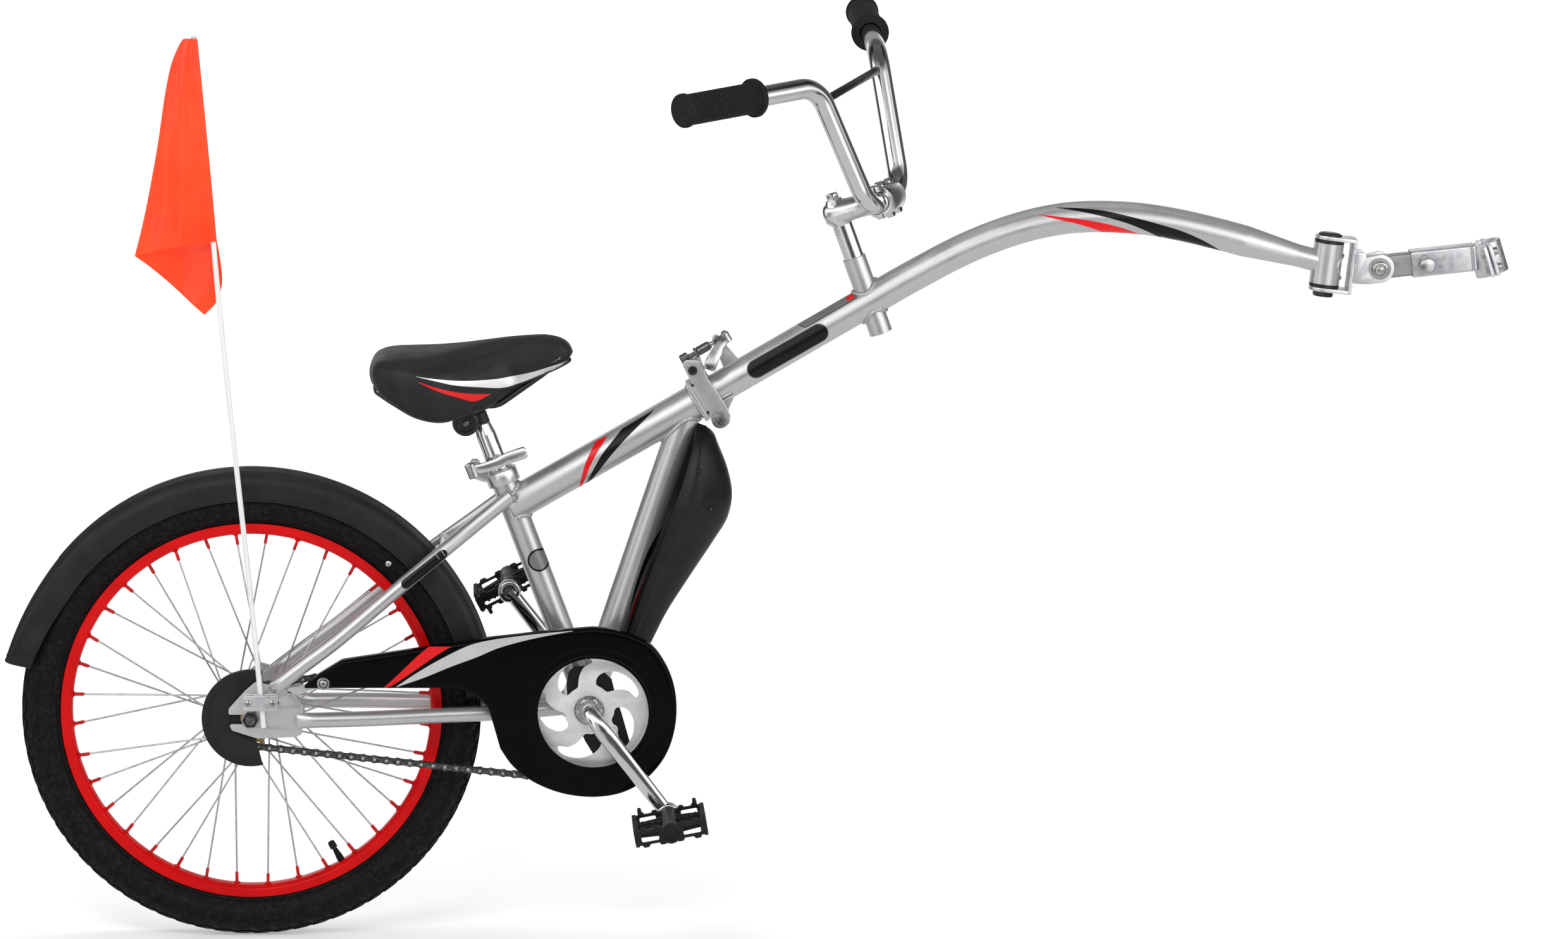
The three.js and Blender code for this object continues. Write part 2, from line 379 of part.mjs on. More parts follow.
const barPath = rounded([...half(-1).reverse(), ...half(1)], 36, 5);
{
  // even points so that the bends stay round
  const dense = new THREE.CurvePath();
  for (let i = 0; i + 1 < barPath.length; i++) dense.add(new THREE.LineCurve3(barPath[i], barPath[i + 1]));
  const curve = new THREE.CatmullRomCurve3(dense.getSpacedPoints(80), false, "catmullrom", 0.5);
  const tube = (r, n, steps) => solid(new THREE.ExtrudeGeometry(new THREE.Shape(circle([0, 0], r, n).map((p) => new THREE.Vector2(p[0], p[1]))), { extrudePath: curve, steps, bevelEnabled: false }));
  piece("handlebar", join(tube(BAR_R, 8, 46), rod(bar(-89.5, 130, 0), bar(89.5, 130, 0), 4.5, 8)), M.chrome);
}
const gripDir = (s) => bar(s * 268, 175.8, 78.3).sub(bar(s * 93.8, 148, 0)).normalize();
for (const [name, s] of [["grip_right", -1], ["grip_left", 1]]) {
  const end = bar(s * 268, 175.8, 78.3), d = gripDir(s);
  piece(name, cut(join(rod(along(end, d, 4), along(end, d, -104), 16.5, 14), rod(along(end, d, -97), along(end, d, -103), 21, 16), rod(along(end, d, 4.6), along(end, d, -2), 18.5, 14)), rod(along(end, d, 0.4), along(end, d, -120), BAR_R + 0.7, 12)), M.rubber);
}
const stemRoot = steerAt(52), stemDir = BAR_C.clone().sub(stemRoot).normalize();
const clampHole = rod(bar(-40, 0, 0), bar(40, 0, 0), BAR_R + 0.6, 14);
const clampBody = rod(bar(-19.5, 0, 0), bar(19.5, 0, 0), 18, 16);
const splitBox = (() => {
  // everything in front of the bar's axis, seen along the stem
  const g = new THREE.BoxGeometry(60, 60, 60).translate(30, 0, 0);
  const x = stemDir.clone(), y = barSide.clone().addScaledVector(x, -barSide.dot(x)).normalize(), z = x.clone().cross(y);
  return (shift) => solid(g.clone().translate(shift, 0, 0).applyMatrix4(new THREE.Matrix4().makeBasis(x, y, z).setPosition(BAR_C)));
})();
piece(
  "quill_stem",
  cut(join(rod(steerAt(-62), steerAt(46), QUILL_R, 14), rod(along(stemRoot, stemDir, -15), BAR_C, 14.4, 16, 13), cut(clampBody, splitBox(1.2)), rod(steerAt(52), steerAt(66), 9.5, 12), rod(steerAt(65.5), steerAt(74), 8, 6)), clampHole),
  M.alloy,
);
piece("expander_plug", rod(steerAt(-88), steerAt(-62.4), 10.9, 12), M.zinc);
piece("stem_faceplate", cut(clampBody.intersect(splitBox(1.7)), clampHole), M.alloy);

// ---------- seat ----------
const SADDLE_PIVOT = [236.6, 573.1];
piece("seat_post", join(rod(seatAt(150), seatAt(321), POST_R, 18), rod(seatAt(320.9), seatAt(332), POST_R, 18, 8.9), rod(seatAt(331.9), seatAt(345), 8.4, 16), crossRod(SADDLE_PIVOT, -9, 9, 9, 16), plate([[236, 565], [236, 581], [252, 582], [258, 566]], -7, 7)), M.chrome);
const railPath = rounded([V(150, 34, 606), V(205, 22, 592.5), V(272, 22, 592.5), V(322, 11, 626), V(333, 0, 634), V(322, -11, 626), V(272, -22, 592.5), V(205, -22, 592.5), V(150, -34, 606)], 6, 2);
const railTube = (r, n) => {
  const line = new THREE.CurvePath();
  for (let i = 0; i + 1 < railPath.length; i++) line.add(new THREE.LineCurve3(railPath[i], railPath[i + 1]));
  return solid(new THREE.ExtrudeGeometry(new THREE.Shape(circle([0, 0], r, n).map((p) => new THREE.Vector2(p[0], p[1]))), { extrudePath: new THREE.CatmullRomCurve3(line.getSpacedPoints(36), false, "catmullrom", 0.5), steps: 36, bevelEnabled: false }));
};
piece("saddle_rails", railTube(3.4, 6), M.chrome);
piece("saddle_clamp", cut(join(crossRod(SADDLE_PIVOT, 9.5, 25, 14.5, 18), crossRod(SADDLE_PIVOT, -25, -9.5, 14.5, 18), block(224, 250, -28, 28, 587.2, 599)), railTube(3.9, 6), block(200, 280, -9.4, 9.4, 540, 587)), M.black);
// Saddle skin: [x, top, bottom, half width]
const SADDLE = [[129, 630, 615, 22], [134, 641, 611, 46], [143, 648.5, 606, 62], [160, 651.6, 596, 73], [183, 652.6, 583.5, 76.5], [210, 654.2, 577.5, 69], [236, 657.4, 583, 54], [262, 661.4, 590, 40], [285, 664.6, 608, 30], [310, 666.8, 619.5, 25.5], [332, 667.3, 628, 23], [349, 662, 636, 17.5], [358.5, 651, 643, 8]];
const ring = (x, top, bot, w, pts) => pts.map(([fy, fz]) => V(x, fy * w, bot + fz * (top - bot)));
const outerPts = [[0.86, 0], [0.97, 0.25], [1, 0.52], [0.96, 0.74], [0.8, 0.9], [0.5, 0.985], [0, 1], [-0.5, 0.985], [-0.8, 0.9], [-0.96, 0.74], [-1, 0.52], [-0.97, 0.25], [-0.86, 0]];
const saddleOuter = loft(SADDLE.map(([x, t, b, w]) => ring(x, t, b, w, outerPts)));
const innerPts = [[0.9, -0.6], [0.95, 0.2], [0.9, 0.7], [0.5, 0.97], [0, 1], [-0.5, 0.97], [-0.9, 0.7], [-0.95, 0.2], [-0.9, -0.6]];
const saddleInner = loft(SADDLE.slice(2, 12).map(([x, t, b, w], i) => ring(i === 0 ? x - 2 : x, Math.max(t - 21, b + 4), b - 6, Math.max(w - 7.5, 5), innerPts)));
piece("saddle_pad", cut(saddleOuter, saddleInner), M.vinyl);
// The moulded base under the padding: an arched strip with sockets for the rails.
const arch = [[0.9, 0.7], [0.5, 0.97], [0, 1], [-0.5, 0.97], [-0.9, 0.7]];
const strip = ([x, t, b, w]) => {
  const top = Math.max(t - 21, b + 4) - 0.9, low = b - 6, W = Math.max(w - 7.5, 5) - 0.9;
  return [...arch.map(([fy, fz]) => V(x, fy * W, low + fz * (top - low))), ...arch.map(([fy, fz]) => V(x, fy * (W - 2.8), low + fz * (top - low) - 2.8)).reverse()];
};
piece(
  "saddle_base",
  cut(join(loft(SADDLE.slice(3, 11).map(strip)), block(154, 168, 28, 40, 601, 623), block(154, 168, -40, -28, 601, 623), block(321, 336, -7, 7, 629.5, 643.2)), railTube(3.9, 6)),
  M.black,
);

// ---------- guards ----------
const ringEdge = new THREE.SplineCurve([[272.7, 217.6], [286, 198.5], [307.9, 180.9], [341, 167.2], [379.1, 163.1], [411, 169.5], [436.9, 186.7], [456.5, 214], [465.8, 252.3], [461.5, 293], [441.2, 329.4], [419.1, 342.9], [396, 350]].map((p) => new THREE.Vector2(p[0], p[1]))).getPoints(20).map((p) => [p.x, p.y]);
const guardOutline = [[58, 286.9], [228.8, 285.7], [247, 278], [259.8, 262.9], [266.5, 240], ...ringEdge, [374.9, 352.3], [330, 348.7], [264.3, 341.8], [193.8, 331.7], [100.6, 317.9], [76, 303], [60, 291]];
const inset = (pts, d) => {
  // moves each corner of the outline inwards by d
  const n = pts.length, area = pts.reduce((s, p, i) => s + p[0] * pts[(i + 1) % n][1] - pts[(i + 1) % n][0] * p[1], 0), sgn = area > 0 ? 1 : -1;
  return pts.map((p, i) => {
    const a = pts[(i + n - 1) % n], b = pts[(i + 1) % n];
    const d1 = new THREE.Vector2(p[0] - a[0], p[1] - a[1]).normalize(), d2 = new THREE.Vector2(b[0] - p[0], b[1] - p[1]).normalize();
    const m = new THREE.Vector2(-(d1.y + d2.y), d1.x + d2.x).normalize().multiplyScalar(sgn), k = d / Math.max(0.45, Math.abs(m.x * -d2.y * sgn + m.y * d2.x * sgn));
    return [p[0] + m.x * k, p[1] + m.y * k];
  });
};
const GUARD_OUT = -62.2, GUARD_IN = -60.2;
const guardLip = cut(plate(guardOutline, GUARD_OUT, -50.5), plate(inset(guardOutline, 1.8), GUARD_OUT - 5, -45), block(50, 262, -61, -40, 250, 296), plate([[50, 286], [120, 296], [255, 300], [262, 250], [50, 250]], -60, -40));
piece(
  "chain_guard",
  cut(join(plate(guardOutline, GUARD_OUT, GUARD_IN), guardLip, crossRod([277, 253.5], -61, -42.6, 5, 12), crossRod([79.8, 292.3], -63.6, -61, 4.4, 12), crossRod([79.8, 292.3], -61, -59.5, 3.6, 12)), plate(circle([374.5, 257.5], 60.6, 32), -70, -40)),
  M.gloss,
);
piece(
  "cog_guard",
  (() => {
    const a0 = rad(76), a1 = rad(284), arc = (r, n, from, to) => Array.from({ length: n + 1 }, (_, i) => toA(AXLE, from + ((to - from) * i) / n, r));
    return join(plate([...arc(53.5, 24, a0, a1), ...arc(12, 10, a1, a0)], -53.8, -51.8), plate([...arc(53.5, 24, a0, a1), ...arc(51.5, 24, a1, a0)], -53.8, -46));
  })(),
  M.black,
);
piece(
  "fender",
  (() => {
    const section = [[236, -29.4], [258, -29.4], [266, -24], [269.5, -12], [269.5, 12], [266, 24], [258, 29.4], [236, 29.4], [236, 27.6], [257.4, 27.6], [264.5, 23], [267.7, 11.6], [267.7, -11.6], [264.5, -23], [257.4, -27.6], [236, -27.6]];
    const rings = [];
    for (let i = 0; i <= 22; i++) {
      const a = rad(4 + (167.6 - 4) * (i / 22)), flare = Math.max(0, (i - 19) / 3) ** 1.5 * 10;
      rings.push(section.map(([r, y]) => V(AXLE[0] + (r + flare) * Math.cos(a), y, AXLE[1] + (r + flare) * Math.sin(a))));
    }
    return loft(rings);
  })(),
  M.satin,
);
// Splash guard: [z, front, back, half width]
const SPLASH = [[565.5, 500, 490, 9], [558, 508.5, 488.5, 24], [546, 513.5, 486.5, 36], [518, 524, 478, 50], [490, 528.8, 468.5, 56], [464.6, 524, 460, 55], [439, 508.8, 451, 48], [396, 480.5, 436, 37], [358, 456.5, 423, 28], [327, 441, 412.5, 21], [312, 433, 407, 18]];
piece(
  "splash_guard",
  (() => {
    const shape = (inset) => (row) => {
      const [z, f, b, w] = row, front = f - inset, W = w - inset, pts = [];
      for (let i = -5; i <= 5; i++) {
        const q = i / 5, x = b + (front - b) * (1 - Math.abs(q) ** 2.2);
        pts.push(V(x, W * q, z));
      }
      return pts;
    };
    const rings = SPLASH.map((row) => [...shape(0)(row), ...shape(3)(row).reverse()]);
    return join(loft(rings), rod(V(468.2, 0, 478), V(526, 0, 478), 6, 12));
  })(),
  M.black,
);

// ---------- flag ----------
const pole = [[-53.2, 1002.5], [-40, 848], [-27.6, 694.2], [-13.3, 543.7], [1.4, 394], [14.4, 244.7]];
const poleTube = (r, n) => sweep(pole.map((p) => P(p, POLE_Y)), r, n, 16);
piece("flag_pole", poleTube(2.9, 8), M.white);
piece("flag_clamp", cut(join(block(-8, 30, -71.5, -61.5, 265, 279), block(-8, 30, -62, -59.5, 264, 281)), poleTube(3.25, 8)), M.zinc);
piece("flag", plate([[-55, 1000.5], [-63.5, 1000], [-66.5, 997], [-76.5, 975], [-84, 943], [-92.5, 889], [-102, 838], [-109, 805], [-119, 764.5], [-90, 737], [-45, 699.5], [-33, 712], [-25, 733], [-33, 780], [-38.5, 848], [-47, 930]], POLE_Y + 3.4, POLE_Y + 6.4), M.orange);

// ---------- hitch ----------
const plane = (f0, f1, t0, t1, y0, y1) => plate([[f0, t0], [f1, t0], [f1, t1], [f0, t1]].map(([f, t]) => { const p = headAt(t, f); return [p.x, p.z]; }), y0, y1);
piece(
  "kingpin",
  join(rod(headAt(-37), headAt(34.4), 8, 12), rod(headAt(31.1), headAt(34.4), 13, 16), rod(headAt(-37), headAt(-31.1), 12, 6), rod(headAt(23.1), headAt(26), 16.4, 18), rod(headAt(-26), headAt(-23.1), 16.4, 18)),
  M.black,
);
const clevis = plate([[1206, 722.5], [1206, 757], [1224, 756], ...circle(PITCH_PIN, 16, 14).filter(([x]) => x >= PITCH_PIN[0] - 1).sort((a, b) => b[1] - a[1]), [1224, 720.5]], -15.8, 15.8);
piece(
  "yoke",
  cut(
    join(rod(headAt(26.3), headAt(30.8), 16.2, 14), rod(headAt(-30.8), headAt(-26.3), 16.2, 14), plane(0, 29.3, 26.3, 30.8, -15.5, 15.5), plane(0, 29.3, -30.8, -26.3, -15.5, 15.5), plane(24.8, 29.3, -30.8, 30.8, -15.5, 15.5), cut(clevis, block(1216, 1270, -11.9, 11.9, 700, 780), rod(headAt(-60), headAt(60), 24.8, 12))),
    rod(headAt(-60), headAt(60), 8.3, 12),
    crossRod(PITCH_PIN, -30, 30, 6.2, 12),
  ),
  M.zinc,
);
const hitchDir = V(Math.cos(rad(HITCH_RISE)), 0, Math.sin(rad(HITCH_RISE))), hitchUp = V(-hitchDir.z, 0, hitchDir.x);
const K = (f, t) => { const p = along(along(P(PITCH_PIN), hitchDir, f), hitchUp, t); return [p.x, p.z]; };
const hitchBox = (f0, f1, t0, t1, y0, y1) => plate([K(f0, t0), K(f1, t0), K(f1, t1), K(f0, t1)], y0, y1);
const HITCH_PIN = K(51, -1);
piece("tongue", cut(join(crossRod(PITCH_PIN, -11, 11, 12.3, 18), hitchBox(0, 88, -12.3, 12.3, -11, 11)), crossRod(PITCH_PIN, -30, 30, 6.2, 14), crossRod(HITCH_PIN, -30, 30, 5.2, 12)), M.zinc);
piece("pitch_bolt", join(crossRod(PITCH_PIN, -19, 19, 5.9, 14), crossRod(PITCH_PIN, -18.4, -16.1, 12, 18), crossRod(PITCH_PIN, -24, -18, 8.5, 6), crossRod(PITCH_PIN, 16.1, 24, 9.5, 6)), M.zinc);
const clampDir = V(-Math.sin(rad(POST_CLAMP_LEAN)), 0, Math.cos(rad(POST_CLAMP_LEAN))), clampFwd = V(clampDir.z, 0, -clampDir.x);
const clampAt = (t, f = 0, y = 0) => along(along(P(POST_CLAMP, y), clampDir, t), clampFwd, f);
const clampSlab = (f0, f1, t0, t1, y0, y1) => plate([[f0, t0], [f1, t0], [f1, t1], [f0, t1]].map(([f, t]) => { const p = clampAt(t, f); return [p.x, p.z]; }), y0, y1);
const clampRing = join(rod(clampAt(-18), clampAt(18), 18.4, 24), clampSlab(-5, 5, -18, 18, -31, 31));
const postHole = rod(clampAt(-60), clampAt(60), POST_CLAMP_BORE, 24);
piece(
  "coupler",
  cut(
    join(cut(clampRing, clampSlab(-0.6, 60, -40, 40, -60, 60)), hitchBox(36, 106, -14.6, 14.6, -14, 14)),
    hitchBox(30, 96, -12.7, 12.7, -11.5, 11.5),
    postHole,
    clampSlab(-0.6, 60, -40, 40, -60, 60),
    crossRod(HITCH_PIN, -30, 30, 5.2, 12),
    hitchBox(43, 58, -2.6, 2.6, -30, -11),
  ),
  M.zinc,
);
piece("post_cap", cut(clampRing.intersect(clampSlab(0.6, 60, -40, 40, -60, 60)).add(join(...[[-9, 1], [9, 1], [-9, -1], [9, -1]].map(([t, s]) => rod(clampAt(t, 4, s * 25), clampAt(t, 10, s * 25), 4.6, 6)))), postHole), M.zinc);
piece("hitch_pin", join(crossRod(HITCH_PIN, -24, 19, 4.8, 12), crossRod(HITCH_PIN, -29, -23.5, 8.5, 14)), M.steel);

// ---------- the origin under the middle of the whole ----------
const box = new THREE.Box3().setFromObject(group), mid = box.getCenter(V(0, 0, 0));
group.position.set(-mid.x, -mid.y, -box.min.z);

export default group;
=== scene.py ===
# The looks of a child's trailer bike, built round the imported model.
# All numbers here are millimetres in the frame that the part was drawn in: the rear axle at x = 0, the middle plane
# y = 0 and the ground z = 0, with the drive side at -Y. world() turns them into the row's metres.
import json
import math

import bmesh
import bpy
import numpy as np
from mathutils import Matrix, Vector
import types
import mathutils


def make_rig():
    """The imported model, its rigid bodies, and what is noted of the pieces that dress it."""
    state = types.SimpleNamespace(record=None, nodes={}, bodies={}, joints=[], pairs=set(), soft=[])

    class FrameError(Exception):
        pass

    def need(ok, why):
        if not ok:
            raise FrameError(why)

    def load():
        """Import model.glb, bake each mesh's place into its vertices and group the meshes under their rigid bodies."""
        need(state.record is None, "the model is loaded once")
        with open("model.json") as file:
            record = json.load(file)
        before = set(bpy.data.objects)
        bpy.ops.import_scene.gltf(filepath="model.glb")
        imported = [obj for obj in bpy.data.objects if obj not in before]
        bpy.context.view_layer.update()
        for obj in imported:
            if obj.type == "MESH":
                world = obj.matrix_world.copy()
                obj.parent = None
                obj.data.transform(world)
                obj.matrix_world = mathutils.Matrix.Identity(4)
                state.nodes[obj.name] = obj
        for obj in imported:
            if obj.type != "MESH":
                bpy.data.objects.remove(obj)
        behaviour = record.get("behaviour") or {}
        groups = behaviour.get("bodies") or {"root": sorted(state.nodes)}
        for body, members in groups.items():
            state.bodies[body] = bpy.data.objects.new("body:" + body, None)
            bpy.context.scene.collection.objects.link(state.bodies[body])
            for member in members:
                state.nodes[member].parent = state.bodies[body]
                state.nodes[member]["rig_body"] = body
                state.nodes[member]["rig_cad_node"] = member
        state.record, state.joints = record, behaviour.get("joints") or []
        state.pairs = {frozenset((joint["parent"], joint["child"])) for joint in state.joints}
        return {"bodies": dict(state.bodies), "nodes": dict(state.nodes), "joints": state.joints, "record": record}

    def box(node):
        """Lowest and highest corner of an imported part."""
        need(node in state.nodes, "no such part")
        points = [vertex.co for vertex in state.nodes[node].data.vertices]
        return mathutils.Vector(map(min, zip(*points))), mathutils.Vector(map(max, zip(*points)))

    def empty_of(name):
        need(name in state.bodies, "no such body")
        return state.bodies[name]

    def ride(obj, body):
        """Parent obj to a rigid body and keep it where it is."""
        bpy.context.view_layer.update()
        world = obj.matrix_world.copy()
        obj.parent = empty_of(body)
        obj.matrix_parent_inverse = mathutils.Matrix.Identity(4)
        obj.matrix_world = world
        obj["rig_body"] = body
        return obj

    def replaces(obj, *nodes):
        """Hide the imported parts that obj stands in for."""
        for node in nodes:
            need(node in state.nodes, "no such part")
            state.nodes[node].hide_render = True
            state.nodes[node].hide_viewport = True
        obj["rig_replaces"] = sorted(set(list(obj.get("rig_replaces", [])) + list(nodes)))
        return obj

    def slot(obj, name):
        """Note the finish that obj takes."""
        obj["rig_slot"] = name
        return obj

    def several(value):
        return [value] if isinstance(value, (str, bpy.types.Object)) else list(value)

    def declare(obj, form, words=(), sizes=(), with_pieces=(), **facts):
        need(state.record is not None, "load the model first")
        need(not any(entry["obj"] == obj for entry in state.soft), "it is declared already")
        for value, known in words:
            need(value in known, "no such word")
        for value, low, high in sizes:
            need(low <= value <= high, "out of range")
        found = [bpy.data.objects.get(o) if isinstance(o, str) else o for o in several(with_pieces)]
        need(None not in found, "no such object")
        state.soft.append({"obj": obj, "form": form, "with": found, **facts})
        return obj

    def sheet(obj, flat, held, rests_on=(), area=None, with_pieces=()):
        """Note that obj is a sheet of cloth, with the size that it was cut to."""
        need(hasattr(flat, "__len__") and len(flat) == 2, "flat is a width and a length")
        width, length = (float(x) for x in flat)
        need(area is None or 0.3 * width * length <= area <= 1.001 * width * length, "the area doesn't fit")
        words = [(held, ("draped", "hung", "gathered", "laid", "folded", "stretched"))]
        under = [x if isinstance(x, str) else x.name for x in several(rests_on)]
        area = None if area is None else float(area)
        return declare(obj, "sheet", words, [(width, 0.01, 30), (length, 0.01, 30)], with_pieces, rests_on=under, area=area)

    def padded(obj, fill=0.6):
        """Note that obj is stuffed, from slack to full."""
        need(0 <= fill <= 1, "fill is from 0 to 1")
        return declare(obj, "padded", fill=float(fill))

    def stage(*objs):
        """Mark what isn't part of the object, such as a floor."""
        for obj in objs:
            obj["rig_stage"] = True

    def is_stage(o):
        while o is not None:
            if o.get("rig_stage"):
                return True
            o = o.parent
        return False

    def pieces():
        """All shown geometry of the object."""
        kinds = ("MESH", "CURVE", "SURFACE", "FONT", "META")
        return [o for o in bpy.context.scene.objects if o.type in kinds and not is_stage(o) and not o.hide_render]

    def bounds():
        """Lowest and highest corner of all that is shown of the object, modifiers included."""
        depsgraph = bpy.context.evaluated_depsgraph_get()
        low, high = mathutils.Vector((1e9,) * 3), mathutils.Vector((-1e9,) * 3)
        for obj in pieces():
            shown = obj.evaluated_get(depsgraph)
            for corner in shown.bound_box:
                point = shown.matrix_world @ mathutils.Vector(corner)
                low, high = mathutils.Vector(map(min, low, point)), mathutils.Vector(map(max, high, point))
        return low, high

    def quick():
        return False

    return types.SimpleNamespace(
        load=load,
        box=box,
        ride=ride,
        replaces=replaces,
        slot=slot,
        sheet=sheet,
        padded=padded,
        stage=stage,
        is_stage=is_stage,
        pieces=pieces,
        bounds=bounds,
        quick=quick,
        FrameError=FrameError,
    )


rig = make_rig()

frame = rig.load()
cad_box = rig.bounds()
_lo, _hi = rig.box("tyre")
OFF = np.array([(_lo[i] + _hi[i]) / 2 for i in range(3)]) - np.array([0, 0, 0.2525])


def world(p):
    return np.asarray(p, float) / 1000 + OFF


def rad(a):
    return math.radians(a)


def vec(*a):
    return np.array(a, float)


def unit(a):
    a = np.asarray(a, float)
    return a / np.linalg.norm(a)


def turn(v, axis, deg):
    v, k, t = np.asarray(v, float), unit(axis), rad(deg)
    return v * math.cos(t) + np.cross(k, v) * math.sin(t) + k * (v @ k)[..., None] * (1 - math.cos(t)) if v.ndim > 1 else v * math.cos(t) + np.cross(k, v) * math.sin(t) + k * float(k @ v) * (1 - math.cos(t))


def hash01(*k):
    """A repeatable number from 0 to 1."""
    return (math.sin(sum(v * c for v, c in zip(k, (12.9898, 78.233, 37.719, 53.11)))) * 43758.5453) % 1.0


# ---------------------------------------------------------------- dimensions shared with the part's source
GAP = 0.3
TYRE_R = 252.5
AXLE = (0.0, TYRE_R)
BB = (370.4, 257.9)
CRANK, CRANK_TURN = 140, -0.91
PITCH, RING_TEETH, COG_TEETH, CHAIN_Y = 12.7, 40, 16, -43.0
MAIN_R, SEAT_R, DOWN_R, BOOM_R, HEAD_R = 19.05, 14.3, 15.9, 17.45, 16.5
SEAT_STAY_R, CHAIN_STAY_R = 8.0, 8.5
POST_R, QUILL_R, BAR_R, BAR_TUBE_R, BAR_TUBE_BORE = 11.1, 11.1, 11.1, 12.9, 11.4
TUBE_ANGLE = 29.6
HINGE = (494, 596)
HEAD, HEAD_LEAN, HEAD_LEN = (1181.65, 742.95), 6.7, 45.6
PITCH_PIN, HITCH_RISE = (1238.5, 738.3), 6
POST_CLAMP, POST_CLAMP_LEAN, POST_CLAMP_BORE = (1359.5, 748), 17.6, 13.6
STEERER, STEERER_LEAN = (661.9, 751.7), 19.8
BAR_TURN, BAR_ROLL, BAR_DIP = -24.5, 16.75, -2.2
POLE_Y = -65.2

X, Y, Z = vec(1, 0, 0), vec(0, 1, 0), vec(0, 0, 1)


def P(a, y=0.0):
    return vec(a[0], y, a[1])


def to_a(c, a, r):
    return (c[0] + r * math.cos(a), c[1] + r * math.sin(a))


tube_dir = vec(math.cos(rad(TUBE_ANGLE)), 0, math.sin(rad(TUBE_ANGLE)))
tube_up = vec(-tube_dir[2], 0, tube_dir[0])


def H(u, v, y=0.0):
    return vec(HINGE[0], y, HINGE[1]) + tube_dir * u + tube_up * v


seat_dir = unit((-0.3487, 0, 0.9372))


def seat_at(t, y=0.0):
    return vec(BB[0], y, BB[1]) + seat_dir * t


steer_dir = vec(-math.sin(rad(STEERER_LEAN)), 0, math.cos(rad(STEERER_LEAN)))


def steer_at(t):
    return P(STEERER) + steer_dir * t


head_dir = vec(math.sin(rad(HEAD_LEAN)), 0, math.cos(rad(HEAD_LEAN)))
head_fwd = vec(head_dir[2], 0, -head_dir[0])


def head_at(t, f=0.0, y=0.0):
    return P(HEAD, y) + head_dir * t + head_fwd * f


hitch_dir = vec(math.cos(rad(HITCH_RISE)), 0, math.sin(rad(HITCH_RISE)))
hitch_up = vec(-hitch_dir[2], 0, hitch_dir[0])


def K(f, t, y=0.0):
    return P(PITCH_PIN, y) + hitch_dir * f + hitch_up * t


clamp_dir = vec(-math.sin(rad(POST_CLAMP_LEAN)), 0, math.cos(rad(POST_CLAMP_LEAN)))
clamp_fwd = vec(clamp_dir[2], 0, -clamp_dir[0])


def clamp_at(t, f=0.0, y=0.0):
    return P(POST_CLAMP, y) + clamp_dir * t + clamp_fwd * f


# ---------------------------------------------------------------- mesh tools
class Geo:
    """Points, faces and a material number for each face, gathered from several shapes."""

    def __init__(self):
        self.v, self.f, self.m, self.n = [], [], [], 0

    def add(self, shape, m=0):
        v, f = shape
        v = np.asarray(v, float).reshape(-1, 3)
        self.v.append(v)
        self.f += [tuple(int(i) + self.n for i in q) for q in f]
        self.m += [m] * len(f)
        self.n += len(v)
        return self


def make(name, geo, mats, body, slot, replaces=(), angle=34, flat=False, weld=True):
    """A piece in the scene: edges sharper than angle stay sharp, and everything else is smooth."""
    if isinstance(geo, tuple):
        geo = Geo().add(geo)
    mesh = bpy.data.meshes.new(name)
    mesh.from_pydata(world(np.concatenate(geo.v)).tolist(), [], geo.f)
    mesh.polygons.foreach_set("material_index", geo.m)
    mats = mats if isinstance(mats, (list, tuple)) else [mats]
    for m in mats:
        mesh.materials.append(m)
    bm = bmesh.new()
    bm.from_mesh(mesh)
    if weld:
        bmesh.ops.remove_doubles(bm, verts=bm.verts, dist=2e-6)
    bmesh.ops.recalc_face_normals(bm, faces=bm.faces)
    cos = math.cos(rad(angle))
    for f in bm.faces:
        f.smooth = not flat
    for e in bm.edges:
        e.smooth = len(e.link_faces) == 2 and e.link_faces[0].normal.dot(e.link_faces[1].normal) > cos
    bm.to_mesh(mesh)
    bm.free()
    mesh.update()
    obj = bpy.data.objects.new(name, mesh)
    bpy.context.scene.collection.objects.link(obj)
    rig.ride(obj, body)
    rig.slot(obj, slot)
    if replaces:
        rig.replaces(obj, *((replaces,) if isinstance(replaces, str) else replaces))
    return obj


def frames(path, closed=False, start=None):
    """Parallel-transport frames along a path: tangents and two normals at each point."""
    p = np.asarray(path, float)
    n = len(p)
    if closed:
        t = np.roll(p, -1, 0) - np.roll(p, 1, 0)
    else:
        t = np.gradient(p, axis=0)
    t /= np.linalg.norm(t, axis=1)[:, None]
    u = np.zeros_like(p)
    g = start if start is not None else (Y if abs(t[0] @ Y) < 0.9 else X)
    u[0] = unit(g - t[0] * (t[0] @ g))
    for i in range(1, n):
        a = u[i - 1] - t[i] * (t[i] @ u[i - 1])
        u[i] = a / np.linalg.norm(a)
    if closed:  # spread the leftover twist
        a = u[-1] - t[0] * (t[0] @ u[-1])
        a = unit(a)
        w = math.atan2(np.cross(a, u[0]) @ t[0], a @ u[0])
        for i in range(n):
            k = w * i / n
            u[i] = u[i] * math.cos(k) + np.cross(t[i], u[i]) * math.sin(k)
    return t, u, np.cross(t, u)


